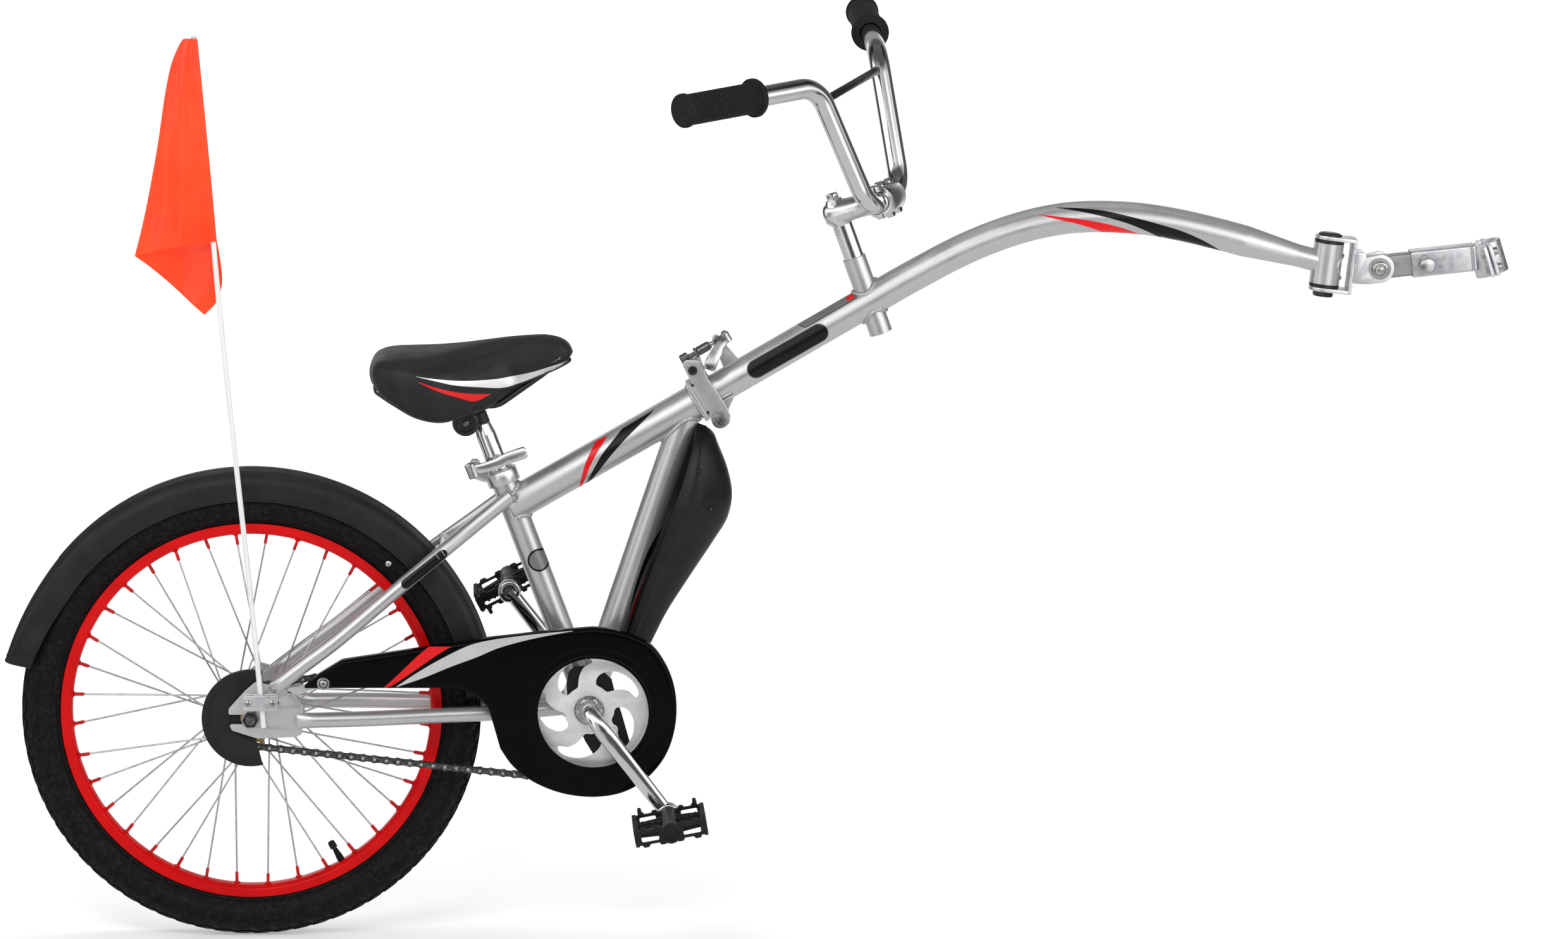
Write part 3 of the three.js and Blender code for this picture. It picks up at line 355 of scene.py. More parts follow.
def tube(path, r, n=32, closed=False, caps=True, start=None, section=None):
    """A round tube along a path. r is one radius or one for each point. section(i, angle) may give the radius."""
    p = np.asarray(path, float)
    t, u, w = frames(p, closed, start)
    rr = np.broadcast_to(np.asarray(r, float), (len(p),))
    a = np.linspace(0, 2 * math.pi, n, endpoint=False)
    rows = []
    for i in range(len(p)):
        q = rr[i] if section is None else np.array([section(i, k) for k in a])[:, None]
        rows.append(p[i] + q * (np.cos(a)[:, None] * u[i] + np.sin(a)[:, None] * w[i]))
    return skin(rows, closed, caps)


def skin(rows, closed=False, caps=True, ring=True):
    """Quads through rows of points with the same count."""
    k, n = len(rows), len(rows[0])
    v = np.concatenate(rows)
    f = []
    for i in range(k if closed else k - 1):
        j = (i + 1) % k
        for a in range(n if ring else n - 1):
            b = (a + 1) % n
            f.append((i * n + a, i * n + b, j * n + b, j * n + a))
    if caps and not closed:
        f.append(tuple(range(n))[::-1])
        f.append(tuple(range((k - 1) * n, k * n)))
    return v, f


def clear_of(shape, origin, axis, r):
    """The same skin with a round hole for a tube that passes through it: the rim of the hole lies at r."""
    v, f = np.array(shape[0], float), shape[1]
    rel = v - origin
    h = rel @ axis
    out = rel - h[:, None] * axis
    dist = np.linalg.norm(out, axis=1)
    near = dist < r
    v[near] = origin + h[near][:, None] * axis + out[near] / np.maximum(dist[near], 1e-6)[:, None] * r
    f = [q for q in f if not all(near[i] for i in q)]
    used = sorted({i for q in f for i in q})
    place = {i: k for k, i in enumerate(used)}
    return v[used], [tuple(place[i] for i in q) for q in f]


def revolve(profile, origin, axis, n=64, loop=False, span=None, start=None, wobble=None):
    """Turns (radius, height) points about an axis. loop joins the last point to the first."""
    axis = unit(axis)
    g = start if start is not None else (Z if abs(axis @ Z) < 0.9 else X)
    u = unit(g - axis * (axis @ g))
    w = np.cross(axis, u)
    o = np.asarray(origin, float)
    full = span is None
    a = np.linspace(0, 2 * math.pi, n, endpoint=False) if full else np.linspace(rad(span[0]), rad(span[1]), n)
    prof = [tuple(q) for q in profile]
    v, f, rows = [], [], []
    for r, h in prof:
        if r < 1e-9:
            rows.append([len(v)])
            v.append(o + axis * h)
        else:
            rows.append(list(range(len(v), len(v) + n)))
            for i, k in enumerate(a):
                q = r if wobble is None else r + wobble(k, r, h)
                v.append(o + axis * h + q * (math.cos(k) * u + math.sin(k) * w))
    m = len(prof)
    for i in range(m if loop else m - 1):
        A, B = rows[i], rows[(i + 1) % m]
        for k in range(n if full else n - 1):
            l = (k + 1) % n
            if len(A) == 1 and len(B) == 1:
                continue
            if len(A) == 1:
                f.append((A[0], B[l], B[k]))
            elif len(B) == 1:
                f.append((A[k], A[l], B[0]))
            else:
                f.append((A[k], A[l], B[l], B[k]))
    if not full and loop:
        f.append(tuple(r[0] for r in rows))
        f.append(tuple(r[-1] for r in rows)[::-1])
    return np.array(v), f


def rod(a, b, r, n=32, e=0.4, r2=None):
    """A solid round bar with softened end edges."""
    a, b = np.asarray(a, float), np.asarray(b, float)
    L = float(np.linalg.norm(b - a))
    q = r if r2 is None else r2
    e = min(e, L * 0.3, r * 0.5)
    return revolve([(0, 0), (r - e, 0), (r - e * 0.3, e * 0.3), (r, e), (q, L - e), (q - e * 0.3, L - e * 0.3), (q - e, L), (0, L)], a, b - a, n)


def pipe(a, b, r, bore, n=48, e=0.4):
    """An open tube with softened rims."""
    a, b = np.asarray(a, float), np.asarray(b, float)
    L = float(np.linalg.norm(b - a))
    return revolve([(bore, e), (bore + e, 0), (r - e, 0), (r, e), (r, L - e), (r - e, L), (bore + e, L), (bore, L - e)], a, b - a, n, loop=True)


def nut(origin, axis, flats, h, bore=0.0, e=0.6):
    """A hexagonal nut or bolt head with chamfered corners, its base at origin."""
    axis = unit(axis)
    g = Z if abs(axis @ Z) < 0.9 else X
    u = unit(g - axis * (axis @ g))
    w = np.cross(axis, u)
    R = flats / math.sqrt(3)
    n = 48
    rows = []
    for r_lim, t in ((flats / 2 - 0.3, 0), (R, e * 0.9), (R, h - e * 0.9), (flats / 2 - 0.3, h)):
        row = []
        for i in range(n):
            a = 2 * math.pi * i / n
            k = (a + math.pi / 6) % (math.pi / 3) - math.pi / 6
            q = min(flats / 2 / math.cos(k), r_lim)
            row.append(np.asarray(origin, float) + axis * t + q * (math.cos(a) * u + math.sin(a) * w))
        rows.append(np.array(row))
    return skin(rows)


def smooth_line(points, n, closed=False):
    """n points, evenly spaced, on a centripetal curve through the given ones."""
    p = np.asarray(points, float)
    if closed:
        p = np.vstack([p[-2:], p, p[:3]])
    else:
        p = np.vstack([2 * p[0] - p[1], p, 2 * p[-1] - p[-2]])
    out = []
    last = len(p) - 3 if not closed else len(p) - 4
    for i in range(1 if not closed else 2, last + 1):
        p0, p1, p2, p3 = p[i - 1], p[i], p[i + 1], p[i + 2]
        d = [max(np.linalg.norm(b - a), 1e-9) ** 0.5 for a, b in ((p0, p1), (p1, p2), (p2, p3))]
        m1 = (p1 - p0) / d[0] - (p2 - p0) / (d[0] + d[1]) + (p2 - p1) / d[1]
        m2 = (p2 - p1) / d[1] - (p3 - p1) / (d[1] + d[2]) + (p3 - p2) / d[2]
        m1, m2 = m1 * d[1], m2 * d[1]
        for s in np.linspace(0, 1, 24, endpoint=False):
            out.append((2 * s**3 - 3 * s**2 + 1) * p1 + (s**3 - 2 * s**2 + s) * m1 + (-2 * s**3 + 3 * s**2) * p2 + (s**3 - s**2) * m2)
    if not closed:
        out.append(p[-2])
    return even(np.array(out), n, closed)


def even(p, n, closed=False):
    q = np.vstack([p, p[:1]]) if closed else p
    s = np.concatenate([[0], np.cumsum(np.linalg.norm(np.diff(q, axis=0), axis=1))])
    t = np.linspace(0, s[-1], n, endpoint=not closed)
    return np.stack([np.interp(t, s, q[:, i]) for i in range(q.shape[1])], 1)


def rounded(points, r, k=8):
    """The path with each corner rounded to radius r (one value, or one for each corner)."""
    p = np.asarray(points, float)
    out = [p[0]]
    for i in range(1, len(p) - 1):
        rr = r[i - 1] if isinstance(r, (list, tuple)) else r
        a, b = unit(p[i - 1] - p[i]), unit(p[i + 1] - p[i])
        half = math.acos(max(-1, min(1, a @ b))) / 2
        d = rr / math.tan(half)
        c = p[i] + unit(a + b) * rr / math.sin(half)
        m, q = p[i] + a * d - c, p[i] + b * d - c
        w = math.acos(max(-1, min(1, unit(m) @ unit(q))))
        for j in range(k + 1):
            f = j / k
            out.append(c + m * math.sin((1 - f) * w) / math.sin(w) + q * math.sin(f * w) / math.sin(w))
    out.append(p[-1])
    return np.array(out)


def corners(points, r, k=5):
    """A closed flat outline with rounded corners; r may be one value or one for each corner."""
    p = np.asarray(points, float)
    n, out = len(p), []
    for i in range(n):
        rr = r[i] if isinstance(r, (list, tuple)) else r
        a, b = p[i - 1] - p[i], p[(i + 1) % n] - p[i]
        la, lb = np.linalg.norm(a), np.linalg.norm(b)
        a, b = a / la, b / lb
        half = math.acos(max(-1, min(1, a @ b))) / 2
        if rr <= 0 or half > 1.54:
            out.append(p[i])
            continue
        d = min(rr / math.tan(half), la * 0.45, lb * 0.45)
        rr = d * math.tan(half)
        c = p[i] + unit(a + b) * rr / math.sin(half)
        m, q = p[i] + a * d - c, p[i] + b * d - c
        w = math.acos(max(-1, min(1, unit(m) @ unit(q))))
        for j in range(k + 1):
            f = j / k
            out.append(c + m * math.sin((1 - f) * w) / math.sin(w) + q * math.sin(f * w) / math.sin(w))
    return [tuple(q) for q in out]


def slab(outline, thick, bevel=0.5, holes=(), frame3=None, res=2):
    """A flat plate of the given outline, centred on its plane, with rounded edges and any holes.
    frame3 is (origin, first axis, second axis); without it the plate lies in the side view's plane y = 0."""
    cu = bpy.data.curves.new("outline", "CURVE")
    cu.dimensions, cu.fill_mode = "2D", "BOTH"
    cu.bevel_depth, cu.bevel_resolution = bevel, res
    cu.extrude, cu.offset = max(thick / 2 - bevel, 0.001), -bevel
    for k, loop in enumerate((outline, *holes)):
        area = sum(a[0] * b[1] - b[0] * a[1] for a, b in zip(loop, [*loop[1:], loop[0]]))
        loop = list(loop) if (area > 0) == (k == 0) else list(loop)[::-1]
        s = cu.splines.new("POLY")
        s.points.add(len(loop) - 1)
        for q, c in zip(s.points, loop):
            q.co = (c[0], c[1], 0, 1)
        s.use_cyclic_u = True
    ob = bpy.data.objects.new("outline", cu)
    bpy.context.scene.collection.objects.link(ob)
    me = bpy.data.meshes.new_from_object(ob.evaluated_get(bpy.context.evaluated_depsgraph_get()))
    v = np.empty(len(me.vertices) * 3)
    me.vertices.foreach_get("co", v)
    v = v.reshape(-1, 3)
    f = [tuple(q.vertices) for q in me.polygons]
    bpy.data.objects.remove(ob)
    bpy.data.meshes.remove(me)
    bpy.data.curves.remove(cu)
    if frame3 is None:
        return np.stack([v[:, 0], -v[:, 2], v[:, 1]], 1), f
    o, a, b = (np.asarray(q, float) for q in frame3)
    return o + v[:, :1] * a + v[:, 1:2] * b + v[:, 2:] * np.cross(a, b), f


def side_slab(outline, y0, y1, bevel=0.5, holes=(), res=2):
    v, f = slab(outline, y1 - y0, bevel, holes, res=res)
    return v + vec(0, (y0 + y1) / 2, 0), f


def circle(c, r, n=48, a0=0.0):
    return [to_a(c, a0 + 2 * math.pi * i / n, r) for i in range(n)]


def brick(center, ax, half, bevel=0.8, holes=()):
    """A block with softened edges. ax is its three directions, half its three half sizes."""
    a, b, c = (unit(q) for q in ax)
    o = np.asarray(center, float)
    r = min(bevel, *(h * 0.9 for h in half[:2]))
    out = corners([(-half[0], -half[1]), (half[0], -half[1]), (half[0], half[1]), (-half[0], half[1])], r, 4)
    return slab(out, half[2] * 2, min(bevel, half[2] * 0.9), holes, (o, a, b))


def weld_curve(a0, d, ra, b0, e, rb, sign=1, n=96, lift=0.0):
    """Where a tube (a0, d, ra) first meets the surface of another (b0, e, rb), going along sign times d."""
    d, e = unit(d), unit(e)
    u = unit(np.cross(d, e))
    w = np.cross(d, u)
    out = []
    for i in range(n):
        k = 2 * math.pi * i / n
        nrm = math.cos(k) * u + math.sin(k) * w
        s = np.asarray(a0, float) + (ra + lift) * nrm - np.asarray(b0, float)
        sp, dp = s - e * (s @ e), d - e * (d @ e)
        A, B, C = dp @ dp, 2 * sp @ dp, sp @ sp - (rb + lift) ** 2
        D = max(B * B - 4 * A * C, 0)
        out.append(np.asarray(a0, float) + (ra + lift) * nrm + d * (-B - sign * math.sqrt(D)) / (2 * A))
    return np.array(out)


def bead(path, r=2.0, closed=True, step=2.6):
    """A run of weld with its row of ripples."""
    p = np.asarray(path, float)
    L = float(np.linalg.norm(np.diff(np.vstack([p, p[:1]]) if closed else p, axis=0), axis=1).sum())
    n = max(24, int(L / step) * 4)
    q = even(p, n, closed)
    rr = [r * (1 + 0.1 * math.cos(math.pi * i / 2) + 0.05 * (hash01(i // 4, L) - 0.5)) for i in range(n)]
    return tube(q, rr, 10, closed=closed)


def wrap(boundary_a, boundary_b, surface, cols=60, rows=6, lift=0.12):
    """A thin printed shape between two lines. surface(point, lift) puts a flat point on what carries it."""
    A, B = np.asarray(boundary_a, float), np.asarray(boundary_b, float)
    A, B = even(A, cols), even(B, cols)
    grid = []
    for l in (lift, -0.25):
        grid.append([[surface(A[i] + (B[i] - A[i]) * j / rows, l) for j in range(rows + 1)] for i in range(cols)])
    n = rows + 1
    v = np.array(grid).reshape(-1, 3)
    f, base = [], cols * n
    for i in range(cols - 1):
        for j in range(rows):
            a, b, c, d = i * n + j, i * n + j + 1, (i + 1) * n + j + 1, (i + 1) * n + j
            f += [(a, b, c, d), (base + d, base + c, base + b, base + a)]
    for i in range(cols - 1):
        for j in (0, rows):
            a, b = i * n + j, (i + 1) * n + j
            f.append((a, b, base + b, base + a) if j == 0 else (b, a, base + a, base + b))
    for i in (0, cols - 1):
        for j in range(rows):
            a, b = i * n + j, i * n + j + 1
            f.append((b, a, base + a, base + b) if i == 0 else (a, b, base + b, base + a))
    return v, f


def thread(a, b, r, pitch=1.2, n=20):
    """A threaded bar, as rings of small ridges."""
    a, b = np.asarray(a, float), np.asarray(b, float)
    L = float(np.linalg.norm(b - a))
    prof, k = [(0, 0), (r - 0.7, 0)], max(2, int(L / pitch))
    for i in range(k):
        prof += [(r - 0.35, L * (i + 0.05) / k), (r, L * (i + 0.5) / k)]
    prof += [(r - 0.5, L), (0, L)]
    return revolve(prof, a, b - a, n)


# ---------------------------------------------------------------- camera, light and floor
def set_camera():
    f, pitch, yaw, roll = 11176.817564326917, 0.16294448473878628, -0.04580020384284274, 0.0021525193334880955
    cx, dist, h = 234.91605518444277, 7657.794705707741, 1776.7412925987635
    fwd = vec(-math.sin(yaw) * math.cos(pitch), math.cos(yaw) * math.cos(pitch), -math.sin(pitch))
    right = vec(math.cos(yaw), math.sin(yaw), 0)
    up = np.cross(right, fwd)
    r2, u2 = right * math.cos(roll) + up * math.sin(roll), up * math.cos(roll) - right * math.sin(roll)
    cam = bpy.data.cameras.new("camera")
    cam.sensor_fit, cam.sensor_width, cam.lens = "HORIZONTAL", 36, f / 2479 * 36
    cam.clip_start, cam.clip_end = 0.5, 200
    obj = bpy.data.objects.new("camera", cam)
    m = Matrix.Identity(4)
    for i, col in enumerate((r2, u2, -fwd)):
        for j in range(3):
            m[j][i] = col[j]
    m.translation = Vector(world((cx, -dist, h)))
    obj.matrix_world = m
    bpy.context.scene.collection.objects.link(obj)
    bpy.context.scene.camera = obj


set_camera()
scene = bpy.context.scene
scene.view_settings.view_transform = "Standard"
scene.view_settings.look = "None"
scene.view_settings.exposure = 0.0


def area_light(name, at, aim, size, power, color=(1, 1, 1)):
    li = bpy.data.lights.new(name, "AREA")
    li.shape, li.size, li.size_y, li.energy, li.color = "RECTANGLE", size[0], size[1], power, color
    ob = bpy.data.objects.new(name, li)
    ob.location = at
    ob.rotation_euler = (Vector(aim) - Vector(at)).to_track_quat("-Z", "Y").to_euler()
    bpy.context.scene.collection.objects.link(ob)


area_light("key", (-1.6, -3.2, 3.6), (0, 0, 0.5), (2.4, 1.2), 62)
area_light("side", (3.4, -2.4, 1.9), (0.2, 0, 0.5), (0.9, 2.2), 30)
area_light("top", (0.0, 0.6, 4.2), (0, 0, 0.4), (4.0, 0.9), 46)
area_light("back", (-0.6, 3.6, 2.0), (0, 0, 0.5), (2.6, 1.0), 22)

wd = bpy.data.worlds.new("studio")
wd.use_nodes = True
wd.node_tree.nodes["Background"].inputs["Color"].default_value = (1, 1, 1, 1)
wd.node_tree.nodes["Background"].inputs["Strength"].default_value = 0.42
scene.world = wd


def stage_mesh(name, verts, faces, material):
    me = bpy.data.meshes.new(name)
    me.from_pydata(verts, [], faces)
    me.materials.append(material)
    ob = bpy.data.objects.new(name, me)
    bpy.context.scene.collection.objects.link(ob)
    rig.stage(ob)
    return ob


# white floor: it glows more with distance, so that it stays white to the horizon and still takes a soft shadow
fmat = bpy.data.materials.new("floor_white")
fmat.use_nodes = True
fn, fl = fmat.node_tree.nodes, fmat.node_tree.links
fb = fn["Principled BSDF"]
fb.inputs["Base Color"].default_value = (0.82, 0.82, 0.82, 1)
fb.inputs["Roughness"].default_value = 0.9
fb.inputs["Specular IOR Level"].default_value = 0.0
fb.inputs["Emission Color"].default_value = (1, 1, 1, 1)
where = fn.new("ShaderNodeTexCoord")
far = fn.new("ShaderNodeVectorMath")
far.operation = "LENGTH"
fl.new(where.outputs["Object"], far.inputs[0])
fade = fn.new("ShaderNodeMapRange")
fade.interpolation_type = "SMOOTHSTEP"
fade.inputs["From Min"].default_value, fade.inputs["From Max"].default_value = 1.2, 5.0
fade.inputs["To Min"].default_value, fade.inputs["To Max"].default_value = 0.36, 1.0
fl.new(far.outputs["Value"], fade.inputs["Value"])
fl.new(fade.outputs[0], fb.inputs["Emission Strength"])
S = 40.0
floor = stage_mesh("floor", [(-S, -S, 0), (S, -S, 0), (S, S, 0), (-S, S, 0)], [(0, 1, 2, 3)], fmat)


def ramp_box(x, a, b, soft):
    """1 between a and b, 0 outside, with soft edges."""
    f = lambda q: 0.0 if q <= 0 else 1.0 if q >= 1 else q * q * (3 - 2 * q)
    return f((x - a) / soft + 0.5) * f((b - x) / soft + 0.5)


def card_light(az, el):
    """How bright the light tent is in a direction. az is from the front towards the hitch, el above the horizon, in degrees."""
    a = abs(az)
    q = 0.26 + 0.24 * ramp_box(az, -70, 300, 70)
    q += 0.95 * ramp_box(el, 12, 33, 8) * ramp_box(az, -102, 84, 16)
    q += 0.85 * ramp_box(az, 28, 54, 5) * ramp_box(el, -14, 40, 6)
    q += 0.75 * ramp_box(az, -44, -32, 4) * ramp_box(el, -14, 30, 6)
    q += 0.7 * ramp_box(az, -98, -74, 6) * ramp_box(el, -14, 36, 6)
    back = ramp_box(a, 134, 300, 12)
    q = q * (1 - back) + (0.3 + 0.7 * ramp_box(a, 148, 164, 6) * ramp_box(el, -14, 30, 6)) * back
    ceiling = ramp_box(el, 46, 200, 16)
    q = q * (1 - ceiling) + 0.1 * ceiling
    dark = max(ramp_box(az, -16, 18, 4) * ramp_box(el, -14, 8, 5), ramp_box(az, 68, 76, 3) * ramp_box(el, -14, 11, 5), ramp_box(az, -66, -56, 4) * ramp_box(el, -14, 9, 5), ramp_box(az, 90, 136, 10) * ramp_box(el, -14, 62, 12), ramp_box(az, -138, -106, 10) * ramp_box(el, -14, 62, 12))
    q *= 1 - 0.82 * dark
    low = ramp_box(el, -200, -14, 5)
    return q * (1 - low) + 0.6 * low


def tent():
    """Light and dark cards all round the object, for polished metal and clear coat to mirror. Only gloss sees them."""
    R, zc, cols, rows = 2.0, 0.45, 240, 96
    verts, glow, faces = [], [], []
    for j in range(rows + 1):
        el = -90 + 180 * j / rows
        for i in range(cols):
            az = -180 + 360 * i / cols
            ce, se = math.cos(rad(el)), math.sin(rad(el))
            r = R if zc + R * se > 0.003 else (zc - 0.003) / -se
            verts.append((r * ce * math.sin(rad(az)), -r * ce * math.cos(rad(az)), zc + r * se))
            glow.append(card_light(az, el))
    for j in range(rows):
        for i in range(cols):
            k = (i + 1) % cols
            faces.append((j * cols + i, j * cols + k, (j + 1) * cols + k, (j + 1) * cols + i))
    m = bpy.data.materials.new("tent_cards")
    m.use_nodes = True
    n, l = m.node_tree.nodes, m.node_tree.links
    n.clear()
    at = n.new("ShaderNodeAttribute")
    at.attribute_name = "glow"
    em = n.new("ShaderNodeEmission")
    em.inputs["Strength"].default_value = 1.0
    l.new(at.outputs["Color"], em.inputs["Color"])
    o = n.new("ShaderNodeOutputMaterial")
    l.new(em.outputs[0], o.inputs["Surface"])
    if hasattr(m, "cycles"):
        m.cycles.emission_sampling = "NONE"
    ob = stage_mesh("light_tent", verts, faces, m)
    layer = ob.data.color_attributes.new("glow", "FLOAT_COLOR", "POINT")
    layer.data.foreach_set("color", np.repeat(np.array(glow, np.float32), 4))
    ob.visible_camera = ob.visible_diffuse = ob.visible_shadow = ob.visible_transmission = ob.visible_volume_scatter = False


def backdrop():
    """A plain white surround, far away, that only the camera sees."""
    m = bpy.data.materials.new("backdrop_white")
    m.use_nodes = True
    b = m.node_tree.nodes["Principled BSDF"]
    b.inputs["Base Color"].default_value = (0, 0, 0, 1)
    b.inputs["Specular IOR Level"].default_value = 0.0
    b.inputs["Emission Color"].default_value = (1, 1, 1, 1)
    b.inputs["Emission Strength"].default_value = 1.0
    if hasattr(m, "cycles"):
        m.cycles.emission_sampling = "NONE"
    n, R, top = 64, 38.0, 38.0
    rim = [(R * math.cos(2 * math.pi * i / n), R * math.sin(2 * math.pi * i / n)) for i in range(n)]
    verts = [(x, y, 0.0) for x, y in rim] + [(x, y, top) for x, y in rim]
    faces = [(i, (i + 1) % n, n + (i + 1) % n, n + i) for i in range(n)] + [tuple(range(n, 2 * n))]
    ob = stage_mesh("backdrop", verts, faces, m)
    ob.visible_glossy = ob.visible_diffuse = ob.visible_shadow = ob.visible_transmission = ob.visible_volume_scatter = False


tent()
backdrop()


# ---------------------------------------------------------------- materials
class Mat:
    """A node material: a Principled shader whose colour, roughness and bump come from noise in the piece's own space."""

    def __init__(self, name, color, rough=0.5, metal=0.0, **sockets):
        self.m = bpy.data.materials.new(name)
        self.m.use_nodes = True
        self.m.diffuse_color = (*color, 1)
        self.n, self.l = self.m.node_tree.nodes, self.m.node_tree.links
        self.b = self.n["Principled BSDF"]
        self.b.inputs["Base Color"].default_value = (*color, 1)
        self.b.inputs["Roughness"].default_value = rough
        self.b.inputs["Metallic"].default_value = metal
        for k, v in sockets.items():
            self.b.inputs[k.replace("_", " ")].default_value = v
        self.c = self.n.new("ShaderNodeTexCoord").outputs["Object"]
        self.normal = None

    def noise(self, scale, detail=3, rough=0.5, stretch=None, distort=0.0):
        src = self.c
        if stretch:
            mp = self.n.new("ShaderNodeMapping")
            mp.inputs["Scale"].default_value = stretch
            self.l.new(src, mp.inputs["Vector"])
            src = mp.outputs[0]
        t = self.n.new("ShaderNodeTexNoise")
        t.inputs["Scale"].default_value = scale
        t.inputs["Detail"].default_value = detail
        t.inputs["Roughness"].default_value = rough
        t.inputs["Distortion"].default_value = distort
        self.l.new(src, t.inputs["Vector"])
        return t.outputs["Fac"]

    def cells(self, scale, feature="F1", randomness=1.0):
        t = self.n.new("ShaderNodeTexVoronoi")
        t.feature = feature
        t.inputs["Scale"].default_value = scale
        t.inputs["Randomness"].default_value = randomness
        self.l.new(self.c, t.inputs["Vector"])
        return t.outputs["Distance"]

    def waves(self, scale, direction="X", distort=0.0, profile="SIN", kind="BANDS", rotate=(0, 0, 0)):
        mp = self.n.new("ShaderNodeMapping")
        mp.inputs["Rotation"].default_value = rotate
        self.l.new(self.c, mp.inputs["Vector"])
        t = self.n.new("ShaderNodeTexWave")
        t.wave_type = kind
        if kind == "BANDS":
            t.bands_direction = direction
        t.wave_profile = profile
        t.inputs["Scale"].default_value = scale
        t.inputs["Distortion"].default_value = distort
        self.l.new(mp.outputs[0], t.inputs["Vector"])
        return t.outputs["Fac"]

    def spread(self, value, lo, hi, a=0.3, b=0.7):
        r = self.n.new("ShaderNodeMapRange")
        r.inputs["From Min"].default_value, r.inputs["From Max"].default_value = a, b
        r.inputs["To Min"].default_value, r.inputs["To Max"].default_value = lo, hi
        self.l.new(value, r.inputs["Value"])
        return r.outputs[0]

    def tint(self, value, colors, a=0.3, b=0.7):
        """Base colour from a value, through two or more colours."""
        r = self.n.new("ShaderNodeValToRGB")
        el = r.color_ramp.elements
        n = len(colors)
        el[0].position, el[0].color = a, (*colors[0], 1)
        el[1].position, el[1].color = b, (*colors[-1], 1)
        for i in range(1, n - 1):
            k = el.new(a + (b - a) * i / (n - 1))
            k.color = (*colors[i], 1)
        self.l.new(value, r.inputs[0])
        self.l.new(r.outputs[0], self.b.inputs["Base Color"])
        return self

    def roughness(self, value, lo, hi, a=0.3, b=0.7):
        self.l.new(self.spread(value, lo, hi, a, b), self.b.inputs["Roughness"])
        return self

    def bump(self, value, strength, distance=0.0005, invert=False):
        t = self.n.new("ShaderNodeBump")
        t.inputs["Strength"].default_value = strength
        t.inputs["Distance"].default_value = distance
        t.invert = invert
        self.l.new(value, t.inputs["Height"])
        if self.normal is not None:
            self.l.new(self.normal, t.inputs["Normal"])
        self.normal = t.outputs[0]
        self.l.new(self.normal, self.b.inputs["Normal"])
        return self


def shades(c, *k):
    return [tuple(min(1, q * f) for q in c) for f in k]


# silver enamel with metal flake under clear coat
_ = Mat("silver_enamel", (0.52, 0.53, 0.54), 0.34, 0.72, Coat_Weight=0.55, Coat_Roughness=0.07)
_.tint(_.noise(1500, 2), shades((0.60, 0.605, 0.61), 0.8, 0.97, 1.0, 1.14), 0.3, 0.72).roughness(_.noise(40, 3), 0.26, 0.35)
_.bump(_.noise(900, 1), 0.05, 0.0002).bump(_.noise(90, 2), 0.035, 0.0006)
silver = _.m
_ = Mat("silver_weld", (0.5, 0.505, 0.51), 0.36, 0.72, Coat_Weight=0.4, Coat_Roughness=0.12)
_.tint(_.noise(1300, 2), shades((0.5, 0.505, 0.515), 0.75, 1.0, 1.12)).roughness(_.noise(300, 3), 0.3, 0.45).bump(_.noise(420, 3), 0.3, 0.0006)
silver_weld = _.m
# bright chrome plate, with faint polishing haze
_ = Mat("chrome_plate", (0.8, 0.805, 0.81), 0.07, 1.0)
_.tint(_.noise(30, 3), shades((0.81, 0.815, 0.82), 0.93, 1.0, 1.04)).roughness(_.noise(65, 4, 0.6), 0.045, 0.13).bump(_.noise(160, 2), 0.02, 0.0004)
chrome = _.m
_ = Mat("satin_plate", (0.78, 0.78, 0.775), 0.32, 0.9)
_.tint(_.noise(120, 4, 0.65), shades((0.8, 0.8, 0.79), 0.86, 1.0, 1.06)).roughness(_.noise(70, 4), 0.24, 0.4).bump(_.noise(1400, 2), 0.06, 0.0003)
satin_plate = _.m
# polished cast alloy
_ = Mat("polished_alloy", (0.78, 0.785, 0.79), 0.2, 1.0)
_.tint(_.noise(55, 4, 0.6), shades((0.79, 0.795, 0.8), 0.84, 1.0, 1.05)).roughness(_.noise(45, 5, 0.65), 0.13, 0.3).bump(_.noise(60, 3), 0.09, 0.0009).bump(_.noise(700, 2), 0.03, 0.0002)
alloy = _.m
_ = Mat("lever_alloy", (0.5, 0.505, 0.51), 0.22, 1.0)
_.tint(_.noise(90, 4), shades((0.5, 0.505, 0.51), 0.82, 1.0, 1.1)).roughness(_.noise(60, 4), 0.18, 0.3).bump(_.noise(500, 2), 0.06, 0.0002)
lever_alloy = _.m
_ = Mat("tongue_zinc", (0.3, 0.3, 0.3), 0.36, 0.85)
_.tint(_.noise(90, 4), shades((0.3, 0.3, 0.3), 0.82, 1.0, 1.12)).roughness(_.noise(70, 4), 0.3, 0.46).bump(_.noise(420, 3), 0.08, 0.0002)
tongue_zinc = _.m
_ = Mat("grey_steel", (0.2, 0.2, 0.2), 0.3, 1.0)
_.tint(_.noise(140, 4), shades((0.2, 0.2, 0.2), 0.75, 1.0, 1.3)).roughness(_.noise(90, 4), 0.24, 0.42).bump(_.noise(600, 2), 0.06, 0.0002)
grey_steel = _.m
_ = Mat("machined_alloy", (0.74, 0.745, 0.75), 0.3, 1.0)
_.tint(_.noise(80, 4), shades((0.74, 0.745, 0.75), 0.86, 1.0, 1.05)).roughness(_.noise(60, 4), 0.24, 0.36).bump(_.noise(900, 2, stretch=(0.1, 1, 1)), 0.08, 0.0002)
machined = _.m
